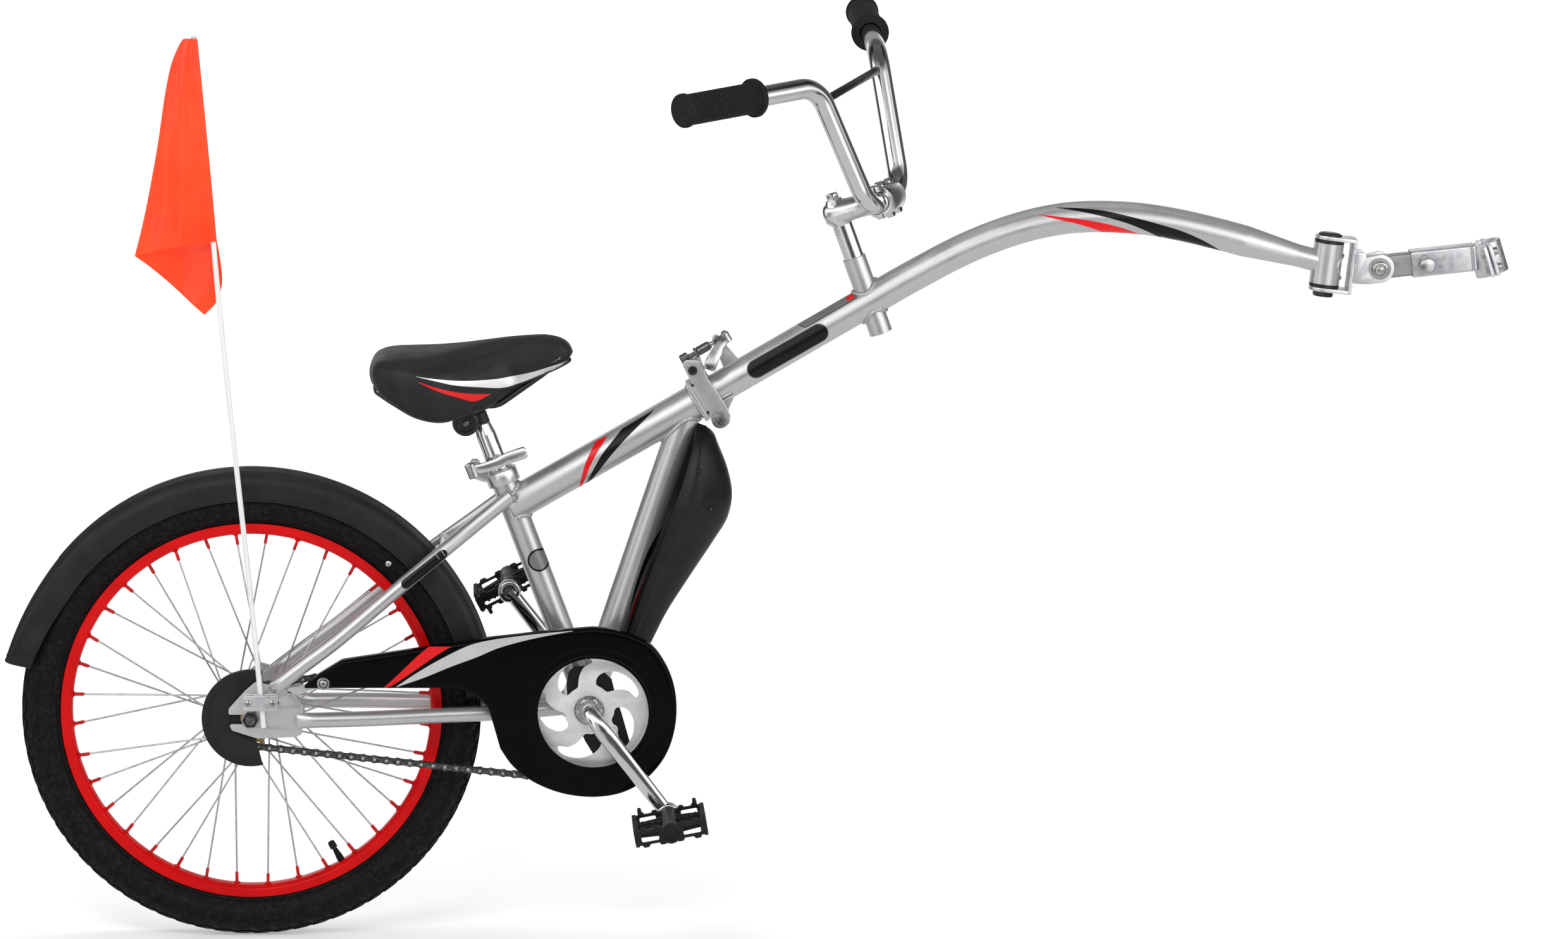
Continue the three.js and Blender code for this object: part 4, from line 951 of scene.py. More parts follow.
# bright zinc chainring: pale and even, with faint clouds
_ = Mat("pale_plate", (0.84, 0.84, 0.83), 0.34, 0.3, Specular_IOR_Level=0.5)
_.tint(_.noise(60, 5, 0.65), shades((0.85, 0.85, 0.84), 0.86, 1.0, 1.04)).roughness(_.noise(80, 4), 0.26, 0.42).bump(_.noise(1100, 2), 0.06, 0.0002)
pale_plate = _.m
# zinc plate: pale, a little cloudy
_ = Mat("zinc_plate", (0.68, 0.69, 0.71), 0.33, 0.92)
_.tint(_.noise(85, 5, 0.7), [(0.56, 0.57, 0.6), (0.69, 0.7, 0.72), (0.74, 0.735, 0.72)]).roughness(_.noise(140, 4, 0.6), 0.26, 0.44).bump(_.noise(260, 3), 0.1, 0.0004)
zinc = _.m
_ = Mat("zinc_bolt", (0.48, 0.48, 0.48), 0.25, 1.0)
_.tint(_.noise(120, 4, 0.7), [(0.36, 0.355, 0.36), (0.5, 0.49, 0.475), (0.6, 0.585, 0.57)]).roughness(_.noise(200, 3), 0.2, 0.38).bump(_.noise(700, 2), 0.06, 0.0002)
bolt_zinc = _.m
_ = Mat("spoke_wire", (0.6, 0.61, 0.62), 0.26, 1.0)
_.tint(_.noise(160, 3), shades((0.6, 0.61, 0.62), 0.8, 1.0, 1.1)).roughness(_.noise(90, 3), 0.18, 0.34)
wire = _.m
# oiled, blackened steel; also the painted shade in the screw-head recesses, the coupler's slot and the splash guard's
# bolt hole
_ = Mat("oiled_steel", (0.13, 0.125, 0.12), 0.36, 0.95)
_.tint(_.noise(260, 4, 0.65), [(0.06, 0.055, 0.05), (0.13, 0.125, 0.12), (0.24, 0.23, 0.215)]).roughness(_.noise(340, 4, 0.6), 0.24, 0.55).bump(_.noise(900, 2), 0.1, 0.0002)
dark_steel = _.m
_ = Mat("chain_steel", (0.22, 0.21, 0.2), 0.34, 0.95)
_.tint(_.noise(330, 4, 0.65), [(0.035, 0.033, 0.031), (0.09, 0.086, 0.082), (0.24, 0.23, 0.22)]).roughness(_.noise(300, 4, 0.6), 0.25, 0.5).bump(_.noise(800, 2), 0.08, 0.0002)
chain_steel = _.m
_ = Mat("yellow_zinc", (0.42, 0.28, 0.12), 0.36, 0.9)
_.tint(_.noise(130, 4, 0.7), [(0.22, 0.13, 0.05), (0.42, 0.28, 0.12), (0.5, 0.4, 0.2)]).roughness(_.noise(220, 3), 0.3, 0.5).bump(_.noise(600, 2), 0.08, 0.0002)
brass = _.m
# painted and moulded things
_ = Mat("red_enamel", (0.66, 0.002, 0.003), 0.34, 0.0, Specular_IOR_Level=0.1, Coat_Weight=0.06, Coat_Roughness=0.08)
_.tint(_.noise(35, 3), shades((0.68, 0.003, 0.004), 0.88, 1.0, 1.06)).roughness(_.noise(60, 3), 0.25, 0.37).bump(_.noise(220, 2), 0.04, 0.0003)
red_paint = _.m
_ = Mat("red_nipple", (0.58, 0.01, 0.01), 0.32, 0.35)
_.tint(_.noise(500, 2), shades((0.6, 0.01, 0.012), 0.8, 1.0, 1.1)).roughness(_.noise(300, 2), 0.25, 0.4)
red_nipple = _.m
_ = Mat("tread_rubber", (0.009, 0.009, 0.0093), 0.72, 0.0, Specular_IOR_Level=0.14)
_.tint(_.noise(140, 6, 0.75), [(0.0025, 0.0025, 0.0026), (0.007, 0.007, 0.0073), (0.026, 0.026, 0.027)], 0.3, 0.75).roughness(_.noise(200, 4, 0.6), 0.55, 0.9).bump(_.noise(700, 4, 0.6), 0.35, 0.0005)
tread_rubber = _.m
_ = Mat("sidewall_rubber", (0.006, 0.006, 0.0062), 0.6, 0.0, Specular_IOR_Level=0.14)
_.tint(_.noise(190, 6, 0.8), [(0.0015, 0.0015, 0.0016), (0.005, 0.005, 0.0052), (0.02, 0.02, 0.0205)], 0.34, 0.7).roughness(_.noise(160, 4, 0.6), 0.42, 0.8).bump(_.noise(420, 4, 0.7), 0.45, 0.0006)
sidewall = _.m
_ = Mat("grip_rubber", (0.009, 0.009, 0.0093), 0.62, 0.0, Specular_IOR_Level=0.2)
_.tint(_.noise(200, 4, 0.7), shades((0.009, 0.009, 0.0093), 0.6, 1.0, 1.5)).roughness(_.noise(300, 4, 0.6), 0.5, 0.75).bump(_.noise(1200, 3, 0.6), 0.25, 0.0003)
grip_rubber = _.m
_ = Mat("gloss_black", (0.0015, 0.0015, 0.0017), 0.12, 0.0, Specular_IOR_Level=0.07, Coat_Weight=0.05, Coat_Roughness=0.05)
_.tint(_.noise(50, 3), shades((0.0015, 0.0015, 0.0017), 0.8, 1.0, 1.3)).roughness(_.noise(35, 4, 0.6), 0.09, 0.19).bump(_.noise(45, 2), 0.03, 0.0006)
gloss_black = _.m
_ = Mat("satin_black", (0.016, 0.0163, 0.0167), 0.46, 0.0, Specular_IOR_Level=0.18)
_.tint(_.noise(30, 5, 0.6), shades((0.016, 0.0163, 0.0167), 0.72, 1.0, 1.25)).roughness(_.noise(28, 4), 0.4, 0.56).bump(_.cells(900), 0.14, 0.0002).bump(_.noise(60, 3), 0.06, 0.0006)
satin_black = _.m
_ = Mat("guard_moulded", (0.008, 0.008, 0.0083), 0.34, 0.0, Specular_IOR_Level=0.26)
_.tint(_.noise(25, 5, 0.6), shades((0.008, 0.008, 0.0083), 0.7, 1.0, 1.35)).roughness(_.noise(30, 4), 0.28, 0.5).bump(_.noise(700, 3), 0.12, 0.0002).bump(_.noise(35, 3), 0.12, 0.0016)
moulded = _.m
_ = Mat("pedal_plastic", (0.009, 0.009, 0.0094), 0.42, 0.0, Specular_IOR_Level=0.3)
_.tint(_.noise(120, 4, 0.7), shades((0.009, 0.009, 0.0094), 0.65, 1.0, 1.6)).roughness(_.noise(140, 4), 0.34, 0.56).bump(_.noise(900, 3), 0.2, 0.0002)
pedal_black = _.m
# black clamp enamel; it also colours the discs on the hinge cheeks, which are painted shade for their notches
_ = Mat("clamp_enamel", (0.009, 0.009, 0.0096), 0.3, 0.15, Coat_Weight=0.15, Coat_Roughness=0.15)
_.tint(_.noise(110, 4), shades((0.009, 0.009, 0.0096), 0.7, 1.0, 1.5)).roughness(_.noise(100, 4), 0.25, 0.42).bump(_.noise(350, 3), 0.12, 0.0003)
black_enamel = _.m
_ = Mat("base_plastic", (0.016, 0.016, 0.017), 0.5, 0.0)
_.tint(_.noise(90, 3), shades((0.016, 0.016, 0.017), 0.75, 1.0, 1.25)).roughness(_.noise(80, 3), 0.42, 0.6).bump(_.noise(1000, 2), 0.12, 0.0002)
base_black = _.m
# saddle cover: fine pebbled grain
_ = Mat("saddle_vinyl", (0.014, 0.014, 0.0143), 0.46, 0.0, Specular_IOR_Level=0.24, Sheen_Weight=0.04, Sheen_Roughness=0.4)
_.tint(_.noise(18, 4, 0.6), shades((0.014, 0.014, 0.0143), 0.72, 1.0, 1.2)).roughness(_.noise(45, 4), 0.38, 0.56).bump(_.cells(620), 0.22, 0.0003).bump(_.noise(1500, 3), 0.12, 0.0002)
vinyl = _.m
_ = Mat("white_fibreglass", (0.86, 0.86, 0.85), 0.4, 0.0, Coat_Weight=0.3, Coat_Roughness=0.2)
_.tint(_.noise(260, 3, stretch=(1, 1, 0.06)), shades((0.86, 0.86, 0.85), 0.9, 1.0, 1.05)).roughness(_.noise(220, 3), 0.32, 0.5).bump(_.noise(900, 2, stretch=(1, 1, 0.05)), 0.12, 0.0002)
pole_white = _.m
# printed films
_ = Mat("print_red", (0.72, 0.004, 0.006), 0.3, 0.0, Specular_IOR_Level=0.25, Coat_Weight=0.12, Coat_Roughness=0.08)
_.tint(_.noise(60, 3), shades((0.74, 0.004, 0.006), 0.92, 1.0, 1.05)).roughness(_.noise(50, 3), 0.25, 0.36)
print_red = _.m
_ = Mat("print_black", (0.005, 0.005, 0.0055), 0.26, 0.0, Specular_IOR_Level=0.2, Coat_Weight=0.12, Coat_Roughness=0.08)
_.tint(_.noise(60, 3), shades((0.005, 0.005, 0.0055), 0.8, 1.0, 1.3)).roughness(_.noise(50, 3), 0.2, 0.32)
print_black = _.m
_ = Mat("print_silver", (0.74, 0.745, 0.75), 0.3, 0.6)
_.tint(_.noise(1400, 2), shades((0.75, 0.755, 0.76), 0.85, 1.0, 1.1)).roughness(_.noise(50, 3), 0.26, 0.38)
print_silver = _.m
_ = Mat("print_grey", (0.2, 0.205, 0.21), 0.32, 0.3)
_.tint(_.noise(900, 2), shades((0.2, 0.205, 0.21), 0.85, 1.0, 1.15)).roughness(_.noise(50, 3), 0.28, 0.4)
print_grey = _.m
_ = Mat("stitch_thread", (0.03, 0.03, 0.03), 0.7, 0.0)
_.tint(_.noise(1500, 2), shades((0.03, 0.03, 0.03), 0.6, 1.0, 1.5)).bump(_.noise(2500, 2), 0.3, 0.0002)
thread_black = _.m


# ---------------------------------------------------------------- wheel
AX0 = P(AXLE)


def polar(r, deg, y=0.0, c=AXLE):
    return P(to_a(c, rad(deg), r), y)


def tyre():
    # carcass: (radius, y) round the section, outside then inside
    out = smooth_line([(205, 9.2, 0), (210.2, 10.6, 0), (215.5, 17.8, 0), (222, 22.4, 0), (230, 24.1, 0), (238, 22.4, 0), (244.6, 16.2, 0), (248.2, 8.4, 0), (249.2, 0, 0)], 30)[:, :2]
    out = [tuple(q) for q in out]
    right = [(r, -y) for r, y in out[:-1]]
    inside = [(249.2 - 3.2, 0), (243, 14), (231, 20.7), (216, 16), (204.9, 6.8)]
    prof = right + out[::-1][:1] + [q for q in out[::-1][1:]] + [(r, y) for r, y in inside[::-1]] + [(r, -y) for r, y in inside[1:]]
    # bead ridge and two moulding lines stand just proud of the sidewall
    body = revolve(prof, AX0, Y, 220, loop=True)
    g = Geo().add(body, 1)
    for side in (-1, 1):
        for r, y, w in ((212.6, 14.1, 0.55), (219.4, 21.0, 0.45), (234.5, 23.6, 0.5)):
            ring = [polar(r, 360 * i / 200, side * (y + 0.15)) for i in range(200)]
            g.add(tube(ring, w, 6, closed=True), 1)

    def surf(s, deg, lift):
        """A point on the tread: s is the way across in mm from the middle line."""
        k = abs(s)
        # the crown is an arc of radius 27 about (222.6, 0)
        a = k / 26.6
        r, y = 222.6 + (26.6 + lift) * math.cos(a), (26.6 + lift) * math.sin(a) * 0.93
        return polar(r, deg, math.copysign(y, s) if k > 1e-9 else 0.0)

    def block(s0, s1, a0, a1, h, skew=0.0, chamfer=0.16):
        """A tread block between two widths and two angles, tapering to its top."""
        cs, ca, ds, da = (s0 + s1) / 2, (a0 + a1) / 2, (s1 - s0) / 2, (a1 - a0) / 2
        rows = []
        for lift, k in ((-0.8, 1.08), (h - 0.45, 0.95), (h, 0.95 - chamfer)):
            row = []
            for i, j in ((-1, -1), (0, -1), (1, -1), (1, 0), (1, 1), (0, 1), (-1, 1), (-1, 0)):
                row.append(surf(cs + i * ds * k, ca + j * da * k + skew * i * da, lift))
            rows.append(np.array(row))
        return skin(rows)

    n = 72
    for i in range(n):
        a, st = 360 * i / n, 360 / n
        h = 3.0
        # two staggered centre rows, a tie block between, and the shoulder lugs
        g.add(block(-6.6, -0.9, a + st * 0.06, a + st * 0.72, h, 0.3), 0)
        g.add(block(0.9, 6.6, a + st * 0.56, a + st * 1.22, h, -0.3), 0)
        g.add(block(-14.6, -8.4, a + st * 0.36, a + st * 0.98, h - 0.3, 0.35), 0)
        g.add(block(8.4, 14.6, a + st * 0.86, a + st * 1.48, h - 0.3, -0.35), 0)
        for s in (-1, 1):
            lo, hi = (16.2, 22.4) if i % 2 else (16.2, 25.0)
            o = 0.1 if s < 0 else 0.6
            p = sorted((s * lo, s * hi))
            g.add(block(p[0], p[1], a + st * o, a + st * (o + 0.62), 2.2), 0)
            p = sorted((s * 24.4, s * 28.6)) if i % 2 else sorted((s * 26.9, s * 29.6))
            g.add(block(p[0], p[1], a + st * (o + 0.08), a + st * (o + 0.5), 0.9), 0)
    make("tyre_rubber", g, [tread_rubber, sidewall], "wheel", "tyre_rubber", "tyre", angle=40)


tyre()


def rim():
    half = [(209.2, 12.4), (208.8, 12.75), (207.6, 12.75), (206.6, 12.5), (203.2, 12.6), (200.6, 12.2), (199.2, 11.0), (197.4, 8.6), (196.5, 6.2), (196.35, 3.2), (196.3, 0)]
    well = [(203.2, 0), (203.2, 9.0), (204.2, 9.9), (207.5, 10.5), (208.9, 10.9)]
    prof = half + [(r, -y) for r, y in half[::-1][1:]] + [(r, -y) for r, y in well[::-1]] + well[1:]
    g = Geo().add(revolve(prof, AX0, Y, 240, loop=True))
    for phase, side in ((-65.4, -1), (-55.4, 1)):
        for k in range(18):  # eyelet lips where the nipples sit
            a = phase + 20 * k
            turn_ = 1 if k % 2 else -1
            d = unit(polar(1, a) - P(AXLE))
            at = polar(196.3, a, side * (3 + 1.2 * turn_) * 0.98)
            g.add(revolve([(2.5, 0.4), (3.7, 0.3), (3.9, -0.5), (3.2, -0.95), (2.5, -0.7)], at, d, 20, loop=True))
    make("rim_painted", g, red_paint, "wheel", "rim_red", "rim", angle=32)


rim()


def spokes():
    for side, phase, node in ((-1, -65.4, "spokes_right"), (1, -55.4, "spokes_left")):
        g = Geo()
        for k in range(18):
            lean = 1 if k % 2 else -1
            rim_a = phase + 20 * k
            hub_a = rim_a + lean * 62
            y_hub = side * (26.1 + 1.1 * lean)
            a = polar(21.6, hub_a, y_hub)
            b = polar(195.7, rim_a, side * (3 + 1.2 * lean))
            d = unit(b - a)
            # the wire, with its elbow through the flange and the flat head behind it
            inward = vec(0, -side, 0)
            root = polar(23.2, hub_a, side * 21.0) + vec(0, 0, 0)
            start = a + d * 4.0
            head_y = side * (19.0 if lean > 0 else 23.0)
            elbow = rounded([vec(root[0], head_y, root[2]), vec(root[0], y_hub - side * 0.0, root[2]) * 0.5 + a * 0.5, start], 1.4, 5)
            path = np.vstack([elbow, b - d * 4])
            g.add(tube(path, 1.0, 10), 0)
            hd = vec(root[0], head_y, root[2])
            g.add(revolve([(0, 0.9), (1.2, 0.75), (1.95, 0.2), (2.0, -0.3), (0, -0.3)], hd, inward if lean > 0 else -inward, 14), 0)
            # the red nipple: a square-shouldered barrel with a domed collar at the rim
            tip = polar(197.0, rim_a, side * (3 + 1.2 * lean))
            base = tip - d * 12.6
            g.add(revolve([(0, 0), (1.35, 0), (1.75, 0.6), (1.8, 1.2)], base, d, 16), 1)
            u = unit(np.cross(d, Y))
            w = np.cross(d, u)
            sq = [base + d * t + (math.cos(rad(45 + 90 * i)) * u + math.sin(rad(45 + 90 * i)) * w) * q for t, q in ((1.0, 2.2), (1.5, 2.45), (9.8, 2.45), (10.4, 2.2)) for i in range(4)]
            g.add(skin([np.array(sq[i:i + 4]) for i in range(0, 16, 4)]), 1)
            g.add(revolve([(1.9, 10.2), (2.5, 10.8), (2.7, 11.6), (2.6, 12.6), (0, 12.6)], base, d, 16), 1)
        make("spokes_drive" if side < 0 else "spokes_far", g, [wire, red_nipple], "wheel", "spoke_wire", node, angle=40)


spokes()


def hub():
    prof = [(6.2, -35.6), (12.6, -35.8), (14.4, -35.2), (15, -34), (15, -24), (16.4, -22.9), (25.4, -22.7), (26.2, -22.0), (26.2, -20.2), (25.4, -19.5), (18.6, -18.6), (15.6, -14), (14.2, -7), (13.8, 0), (14.2, 7), (15.6, 14), (18.6, 18.6), (25.4, 19.5), (26.2, 20.2), (26.2, 22), (25.4, 22.7), (17, 23.2), (13.6, 25.2), (12.4, 30), (12.2, 39), (11.6, 40), (6.2, 40)]
    g = Geo().add(revolve([(6.2, 0)] + prof + [(6.2, 0.001)], AX0, Y, 96))
    # a raised oil-hole clip band round the middle of the barrel
    g.add(revolve([(13.7, -5), (14.9, -4.6), (14.9, 4.6), (13.7, 5)], AX0, Y, 80))
    make("hub_alloy", g, alloy, "wheel", "alloy", "hub_shell")


hub()


def inner():
    g = Geo()
    ring = [polar(229, 360 * i / 120) for i in range(120)]
    g.add(tube(ring, 15, 20, closed=True), 0)
    a = -60.4
    d = unit(polar(1, a) - P(AXLE))
    at = lambda r: polar(r, a)
    g.add(revolve([(0, 216), (3.3, 216), (3.3, 197), (3.9, 195.6), (3.9, 192), (3.4, 188), (2.9, 183.5), (2.6, 181.6), (0, 181.5)][::-1], P(AXLE), d, 28), 0)
    g.add(thread(at(182.5), at(179.5), 2.6, 0.7, 24), 1)
    # ribbed dust cap
    n = 40
    rows = []
    for r, q in ((180.6, 2.9), (180.3, 3.9), (173.4, 3.7), (172.3, 3.2), (171.8, 2.0)):
        row = []
        e = unit(np.cross(d, Y))
        for i in range(n):
            k = 2 * math.pi * i / n
            rr = q * (1 + (0.05 if i % 2 else 0) * (1 if 172 < r < 180.5 else 0))
            row.append(at(r) + rr * (math.cos(k) * e + math.sin(k) * Y))
        rows.append(np.array(row))
    g.add(skin(rows), 2)
    make("inner_tube_and_valve", g, [sidewall, brass, grip_rubber], "wheel", "tube_rubber", "inner_tube", angle=38)


inner()


def rear_axle():
    g = Geo()
    g.add(thread(vec(0, -71, TYRE_R), vec(0, -46, TYRE_R), 4.85, 1.0, 28), 0)
    g.add(rod(vec(0, -48, TYRE_R), vec(0, 42, TYRE_R), 4.7, 28), 0)
    g.add(thread(vec(0, 42, TYRE_R), vec(0, 71, TYRE_R), 4.85, 1.0, 28), 0)
    for s in (-1, 1):
        d = vec(0, s, 0)
        at = lambda y: vec(0, s * y, TYRE_R)
        g.add(revolve([(5, 0), (9.6, 0), (9.8, 0.3), (9.8, 1.2), (9.5, 1.5), (5, 1.5)], at(59.3), d, 48, loop=True), 1)  # washer
        g.add(nut(at(60.8), d, 15.2, 6.0, e=0.9), 2)
        # the nut's domed collar
        g.add(revolve([(0, 7.4), (4.4, 7.4), (5.6, 6.8), (6.6, 5.6), (6.9, 4)], at(60.8), d, 32), 2)
        g.add(nut(at(50.8), d, 17, 3.7), 1)
        g.add(revolve([(4.9, 0), (8.4, 0), (9.4, -3), (9.4, -6), (4.9, -6)], at(50.8), d, 40), 1)
    make("axle_and_nuts", g, [dark_steel, bolt_zinc, black_enamel], "rear_frame", "dark_steel", "rear_axle")


rear_axle()

# ---------------------------------------------------------------- chain drive
RING_R = PITCH / 2 / math.sin(math.pi / RING_TEETH)
COG_R = PITCH / 2 / math.sin(math.pi / COG_TEETH)


def chain_pins():
    """Pin centres of the whole loop: exact steps on both sprockets, even ones on the straights."""
    dx, dz = BB[0] - AXLE[0], BB[1] - AXLE[1]
    C, base = math.hypot(dx, dz), math.atan2(dz, dx)
    lean = math.asin((RING_R - COG_R) / C)
    a1 = base + math.pi / 2 + lean
    r_step, c_step = 2 * math.pi / RING_TEETH, 2 * math.pi / COG_TEETH
    ring_n, cog_n = 21, 7
    r0 = base - ring_n * r_step / 2
    ring = [to_a(BB, r0 + i * r_step, RING_R) for i in range(ring_n + 1)]
    c0 = base + math.pi - cog_n * c_step / 2
    cog = [to_a(AXLE, c0 + i * c_step, COG_R) for i in range(cog_n + 1)]

    def between(p, arc_in, arc_out, q, n):
        pts = np.array([p, *arc_in, *arc_out, q])
        return [tuple(v) for v in even(pts, n + 1)[1:-1]]

    top_in, top_out = to_a(BB, a1, RING_R), to_a(AXLE, a1, COG_R)
    bot_in, bot_out = to_a(AXLE, 2 * base - a1 + 2 * math.pi, COG_R), to_a(BB, 2 * base - a1, RING_R)
    top = between(ring[-1], [top_in], [top_out], cog[0], 29)
    bot = between(cog[-1], [bot_in], [bot_out], ring[0], 29)
    return ring + top + cog + bot, r0, c0


PINS, RING_A0, COG_A0 = chain_pins()


def sprocket(c, z, a0, tip):
    """Outline with a round seat for each roller. a0 is the angle of one seat."""
    R = PITCH / 2 / math.sin(math.pi / z)
    out, st = [], 2 * math.pi / z
    for i in range(z):
        seat = a0 + i * st
        s = to_a(c, seat, R)
        for k in (100, 70, 35, 0, -35, -70, -100):
            ang = seat + math.pi + rad(k) * 0.9
            out.append((s[0] + 4.05 * math.cos(ang), s[1] + 4.05 * math.sin(ang)))
        for f in (0.42, 0.46, 0.5, 0.54, 0.58):
            out.append(to_a(c, seat + f * st, R + tip * (1 if f == 0.5 else 0.97)))
    return out


def link_outline(p, q, h, waist):
    p, q = np.array(p), np.array(q)
    d = (q - p) / np.linalg.norm(q - p)
    n = np.array([-d[1], d[0]])
    out = []
    for c, s in ((q, 1), (p, -1)):
        for k in range(-75, 76, 15):
            a = rad(k)
            out.append(tuple(c + s * (d * math.cos(a) + n * math.sin(a)) * h))
        m = (p + q) / 2 + s * n * waist
        out.append(tuple(m + d * 1.6 * s))
        out.append(tuple(m - d * 1.6 * s))
    return out


def flat_plate(outline, y0, y1, e=0.25):
    """A thin plate with chamfered edges, light enough to repeat hundreds of times."""
    o = np.array(outline)
    c = o.mean(0)
    v = o - c
    s = 1 - e / np.linalg.norm(v, axis=1).mean()
    sm = c + v * s
    put = lambda pts, y: np.stack([pts[:, 0], np.full(len(pts), y), pts[:, 1]], 1)
    d = e if y1 > y0 else -e
    return skin([put(sm, y0), put(o, y0 + d), put(o, y1 - d), put(sm, y1)])


def chain():
    g = Geo()
    n = len(PINS)
    for i in range(n):
        p, q = PINS[i], PINS[(i + 1) % n]
        outer = i % 2 == 0
        y0, y1 = (2.95, 3.75) if outer else (2.05, 2.85)
        o = link_outline(p, q, 4.2 if outer else 4.05, 3.0)
        for s in (-1, 1):
            g.add(flat_plate(o, CHAIN_Y + s * y0, CHAIN_Y + s * y1), 0)
        g.add(rod(P(p, CHAIN_Y - 2.0), P(p, CHAIN_Y + 2.0), 3.85, 16, 0.3), 0)
        # the pin and its riveted ends
        g.add(revolve([(0, -4.35), (1.2, -4.35), (1.75, -4.0), (1.8, 4.0), (1.2, 4.35), (0, 4.35)], P(p, CHAIN_Y), Y, 14), 1)
    make("chain_links", g, [chain_steel, bolt_zinc], "rear_frame", "dark_steel", "chain", angle=30)


chain()


def cog():
    g = Geo().add(side_slab(sprocket(AXLE, COG_TEETH, COG_A0, 3.1), CHAIN_Y - 1.2, CHAIN_Y + 1.2, 0.35, [circle(AXLE, 10, 40)]))
    # freewheel body: a stepped drum with a lockring and its two pin holes
    g.add(revolve([(5.9, -49.4), (14.5, -49.4), (15.2, -48.9), (15.2, -47.6), (19.2, -47.4), (19.9, -46.8), (19.9, -37.2), (19.2, -36.6), (5.9, -36.6)], AX0, Y, 80, loop=True))
    for k in (30, 210):
        g.add(revolve([(1.6, 0), (1.9, 0.0), (2.2, 0.25), (1.9, 0.5), (1.6, 0.5)], polar(11.4, k, -49.9), Y, 20, loop=True))
    make("freewheel_cog", g, brass, "freewheel", "cog_steel", "rear_cog")


cog()

WINDOW = [(29, 60), (27.6, 45), (27.8, 31), (33, 25), (39.5, 19.5), (47.5, 11), (53.3, 0), (57, 4), (57.6, 13), (55.4, 28), (50, 44), (42.8, 56.5), (36, 62)]


def chainring():
    holes = [circle(BB, 11.8, 48)]
    for tip in (86, 14, -58, -130, -202):
        pts = [(*to_a(BB, rad(tip + a), r), 0) for r, a in WINDOW]
        holes.append([tuple(q[:2]) for q in smooth_line(pts, 64, closed=True)])
    g = Geo().add(side_slab(sprocket(BB, RING_TEETH, RING_A0, 2.9), CHAIN_Y - 1.2, CHAIN_Y + 1.2, 0.4, holes))
    # the pressed rib just inside the teeth, and the pin that the crank drives
    ring = [P(to_a(BB, 2 * math.pi * i / 160, 66), CHAIN_Y - 1.25) for i in range(160)]
    g.add(tube(ring, 0.7, 10, closed=True))
    pin = to_a(BB, rad(-42), 34)
    g.add(rod(P(pin, CHAIN_Y - 12.8), P(pin, CHAIN_Y + 1.6), 4.4, 32, 0.8))
    g.add(revolve([(4.3, 0), (6.4, 0), (6.4, -0.8), (5.6, -1.5), (4.3, -1.6)], P(pin, CHAIN_Y - 1.1), Y, 32, loop=True))
    make("chainring_plate", g, pale_plate, "cranks", "ring_plate", "chainring")


chainring()


def arm(s, y):
    return vec(BB[0] + s * math.cos(CRANK_TURN), y, BB[1] + s * math.sin(CRANK_TURN))


ARM_DIR = vec(math.cos(CRANK_TURN), 0, math.sin(CRANK_TURN))
ARM_UP = vec(-math.sin(CRANK_TURN), 0, math.cos(CRANK_TURN))


def crank():
    """The one-piece forged crank: a round spindle that bends out into flattened, tapering arms."""
    half = [(0, 0), (0, -54), (8, -65), (24, -71), (55, -74.5), (100, -77), (140, -79)]
    full = [(-s, -y) for s, y in half[::-1][:-1]] + half
    line = smooth_line([arm(s, y) for s, y in full], 220)
    n, rows = 32, []
    t, u, w = frames(line, start=ARM_UP)
    for i, p in enumerate(line):
        s = abs((p - P(BB)) @ ARM_DIR)
        y = abs(p[1])
        if s < 1 and y < 52:
            a = b = 8.6
        else:
            k = min(1, max(0, (s - 2) / 24))
            wide = 8.8 + (9.6 - 8.8) * k - 1.6 * max(0, (s - 30) / 110)
            a, b = 8.6 + (wide - 8.6) * k, 8.6 + (6.3 - 8.6) * k
        row = []
        for j in range(n):
            q = 2 * math.pi * j / n
            c, d = math.cos(q), math.sin(q)
            f = (abs(c) ** 2.6 + abs(d) ** 2.6) ** (-1 / 2.6)
            row.append(p + f * (a * c * u[i] + b * d * w[i]))
        rows.append(np.array(row))
    g = Geo().add(skin(rows))
    for s in (1, -1):
        # eye for the pedal spindle, with its faced rim
        sd = -1 if s > 0 else 1
        g.add(revolve([(7.5, 72.6), (10.4, 72.4), (11.8, 73), (12.9, 74.6), (13.1, 79), (12.9, 83.4), (11.8, 85), (10.4, 85.6), (9.6, 85.4), (9.4, 84.8), (7.5, 84.8)], arm(s * CRANK, 0), vec(0, sd, 0), 64, loop=True))
    make("crank_forged", g, chrome, "cranks", "chrome", "crank", angle=40)
    g = Geo()
    # bearing cones, keyed washer and locknut on the spindle, and the driver behind the ring
    g.add(revolve([(8.4, -44.4), (15.6, -44.4), (16.3, -45.1), (16.3, -49), (15.2, -50), (11, -50.6), (8.4, -50.6)], P(BB), Y, 64, loop=True))
    g.add(nut(P(BB, -56.4), Y, 25.4, 5.0, e=0.8))
    g.add(revolve([(8.4, 37.9), (11.2, 37.9), (11.2, 40.2), (15.8, 40.2), (15.8, 42.0), (8.4, 42.0)], P(BB), Y, 64, loop=True))
    g.add(nut(P(BB, 42), Y, 26, 5.6, e=0.8))
    make("crank_cones", g, bolt_zinc, "cranks", "chrome")


crank()


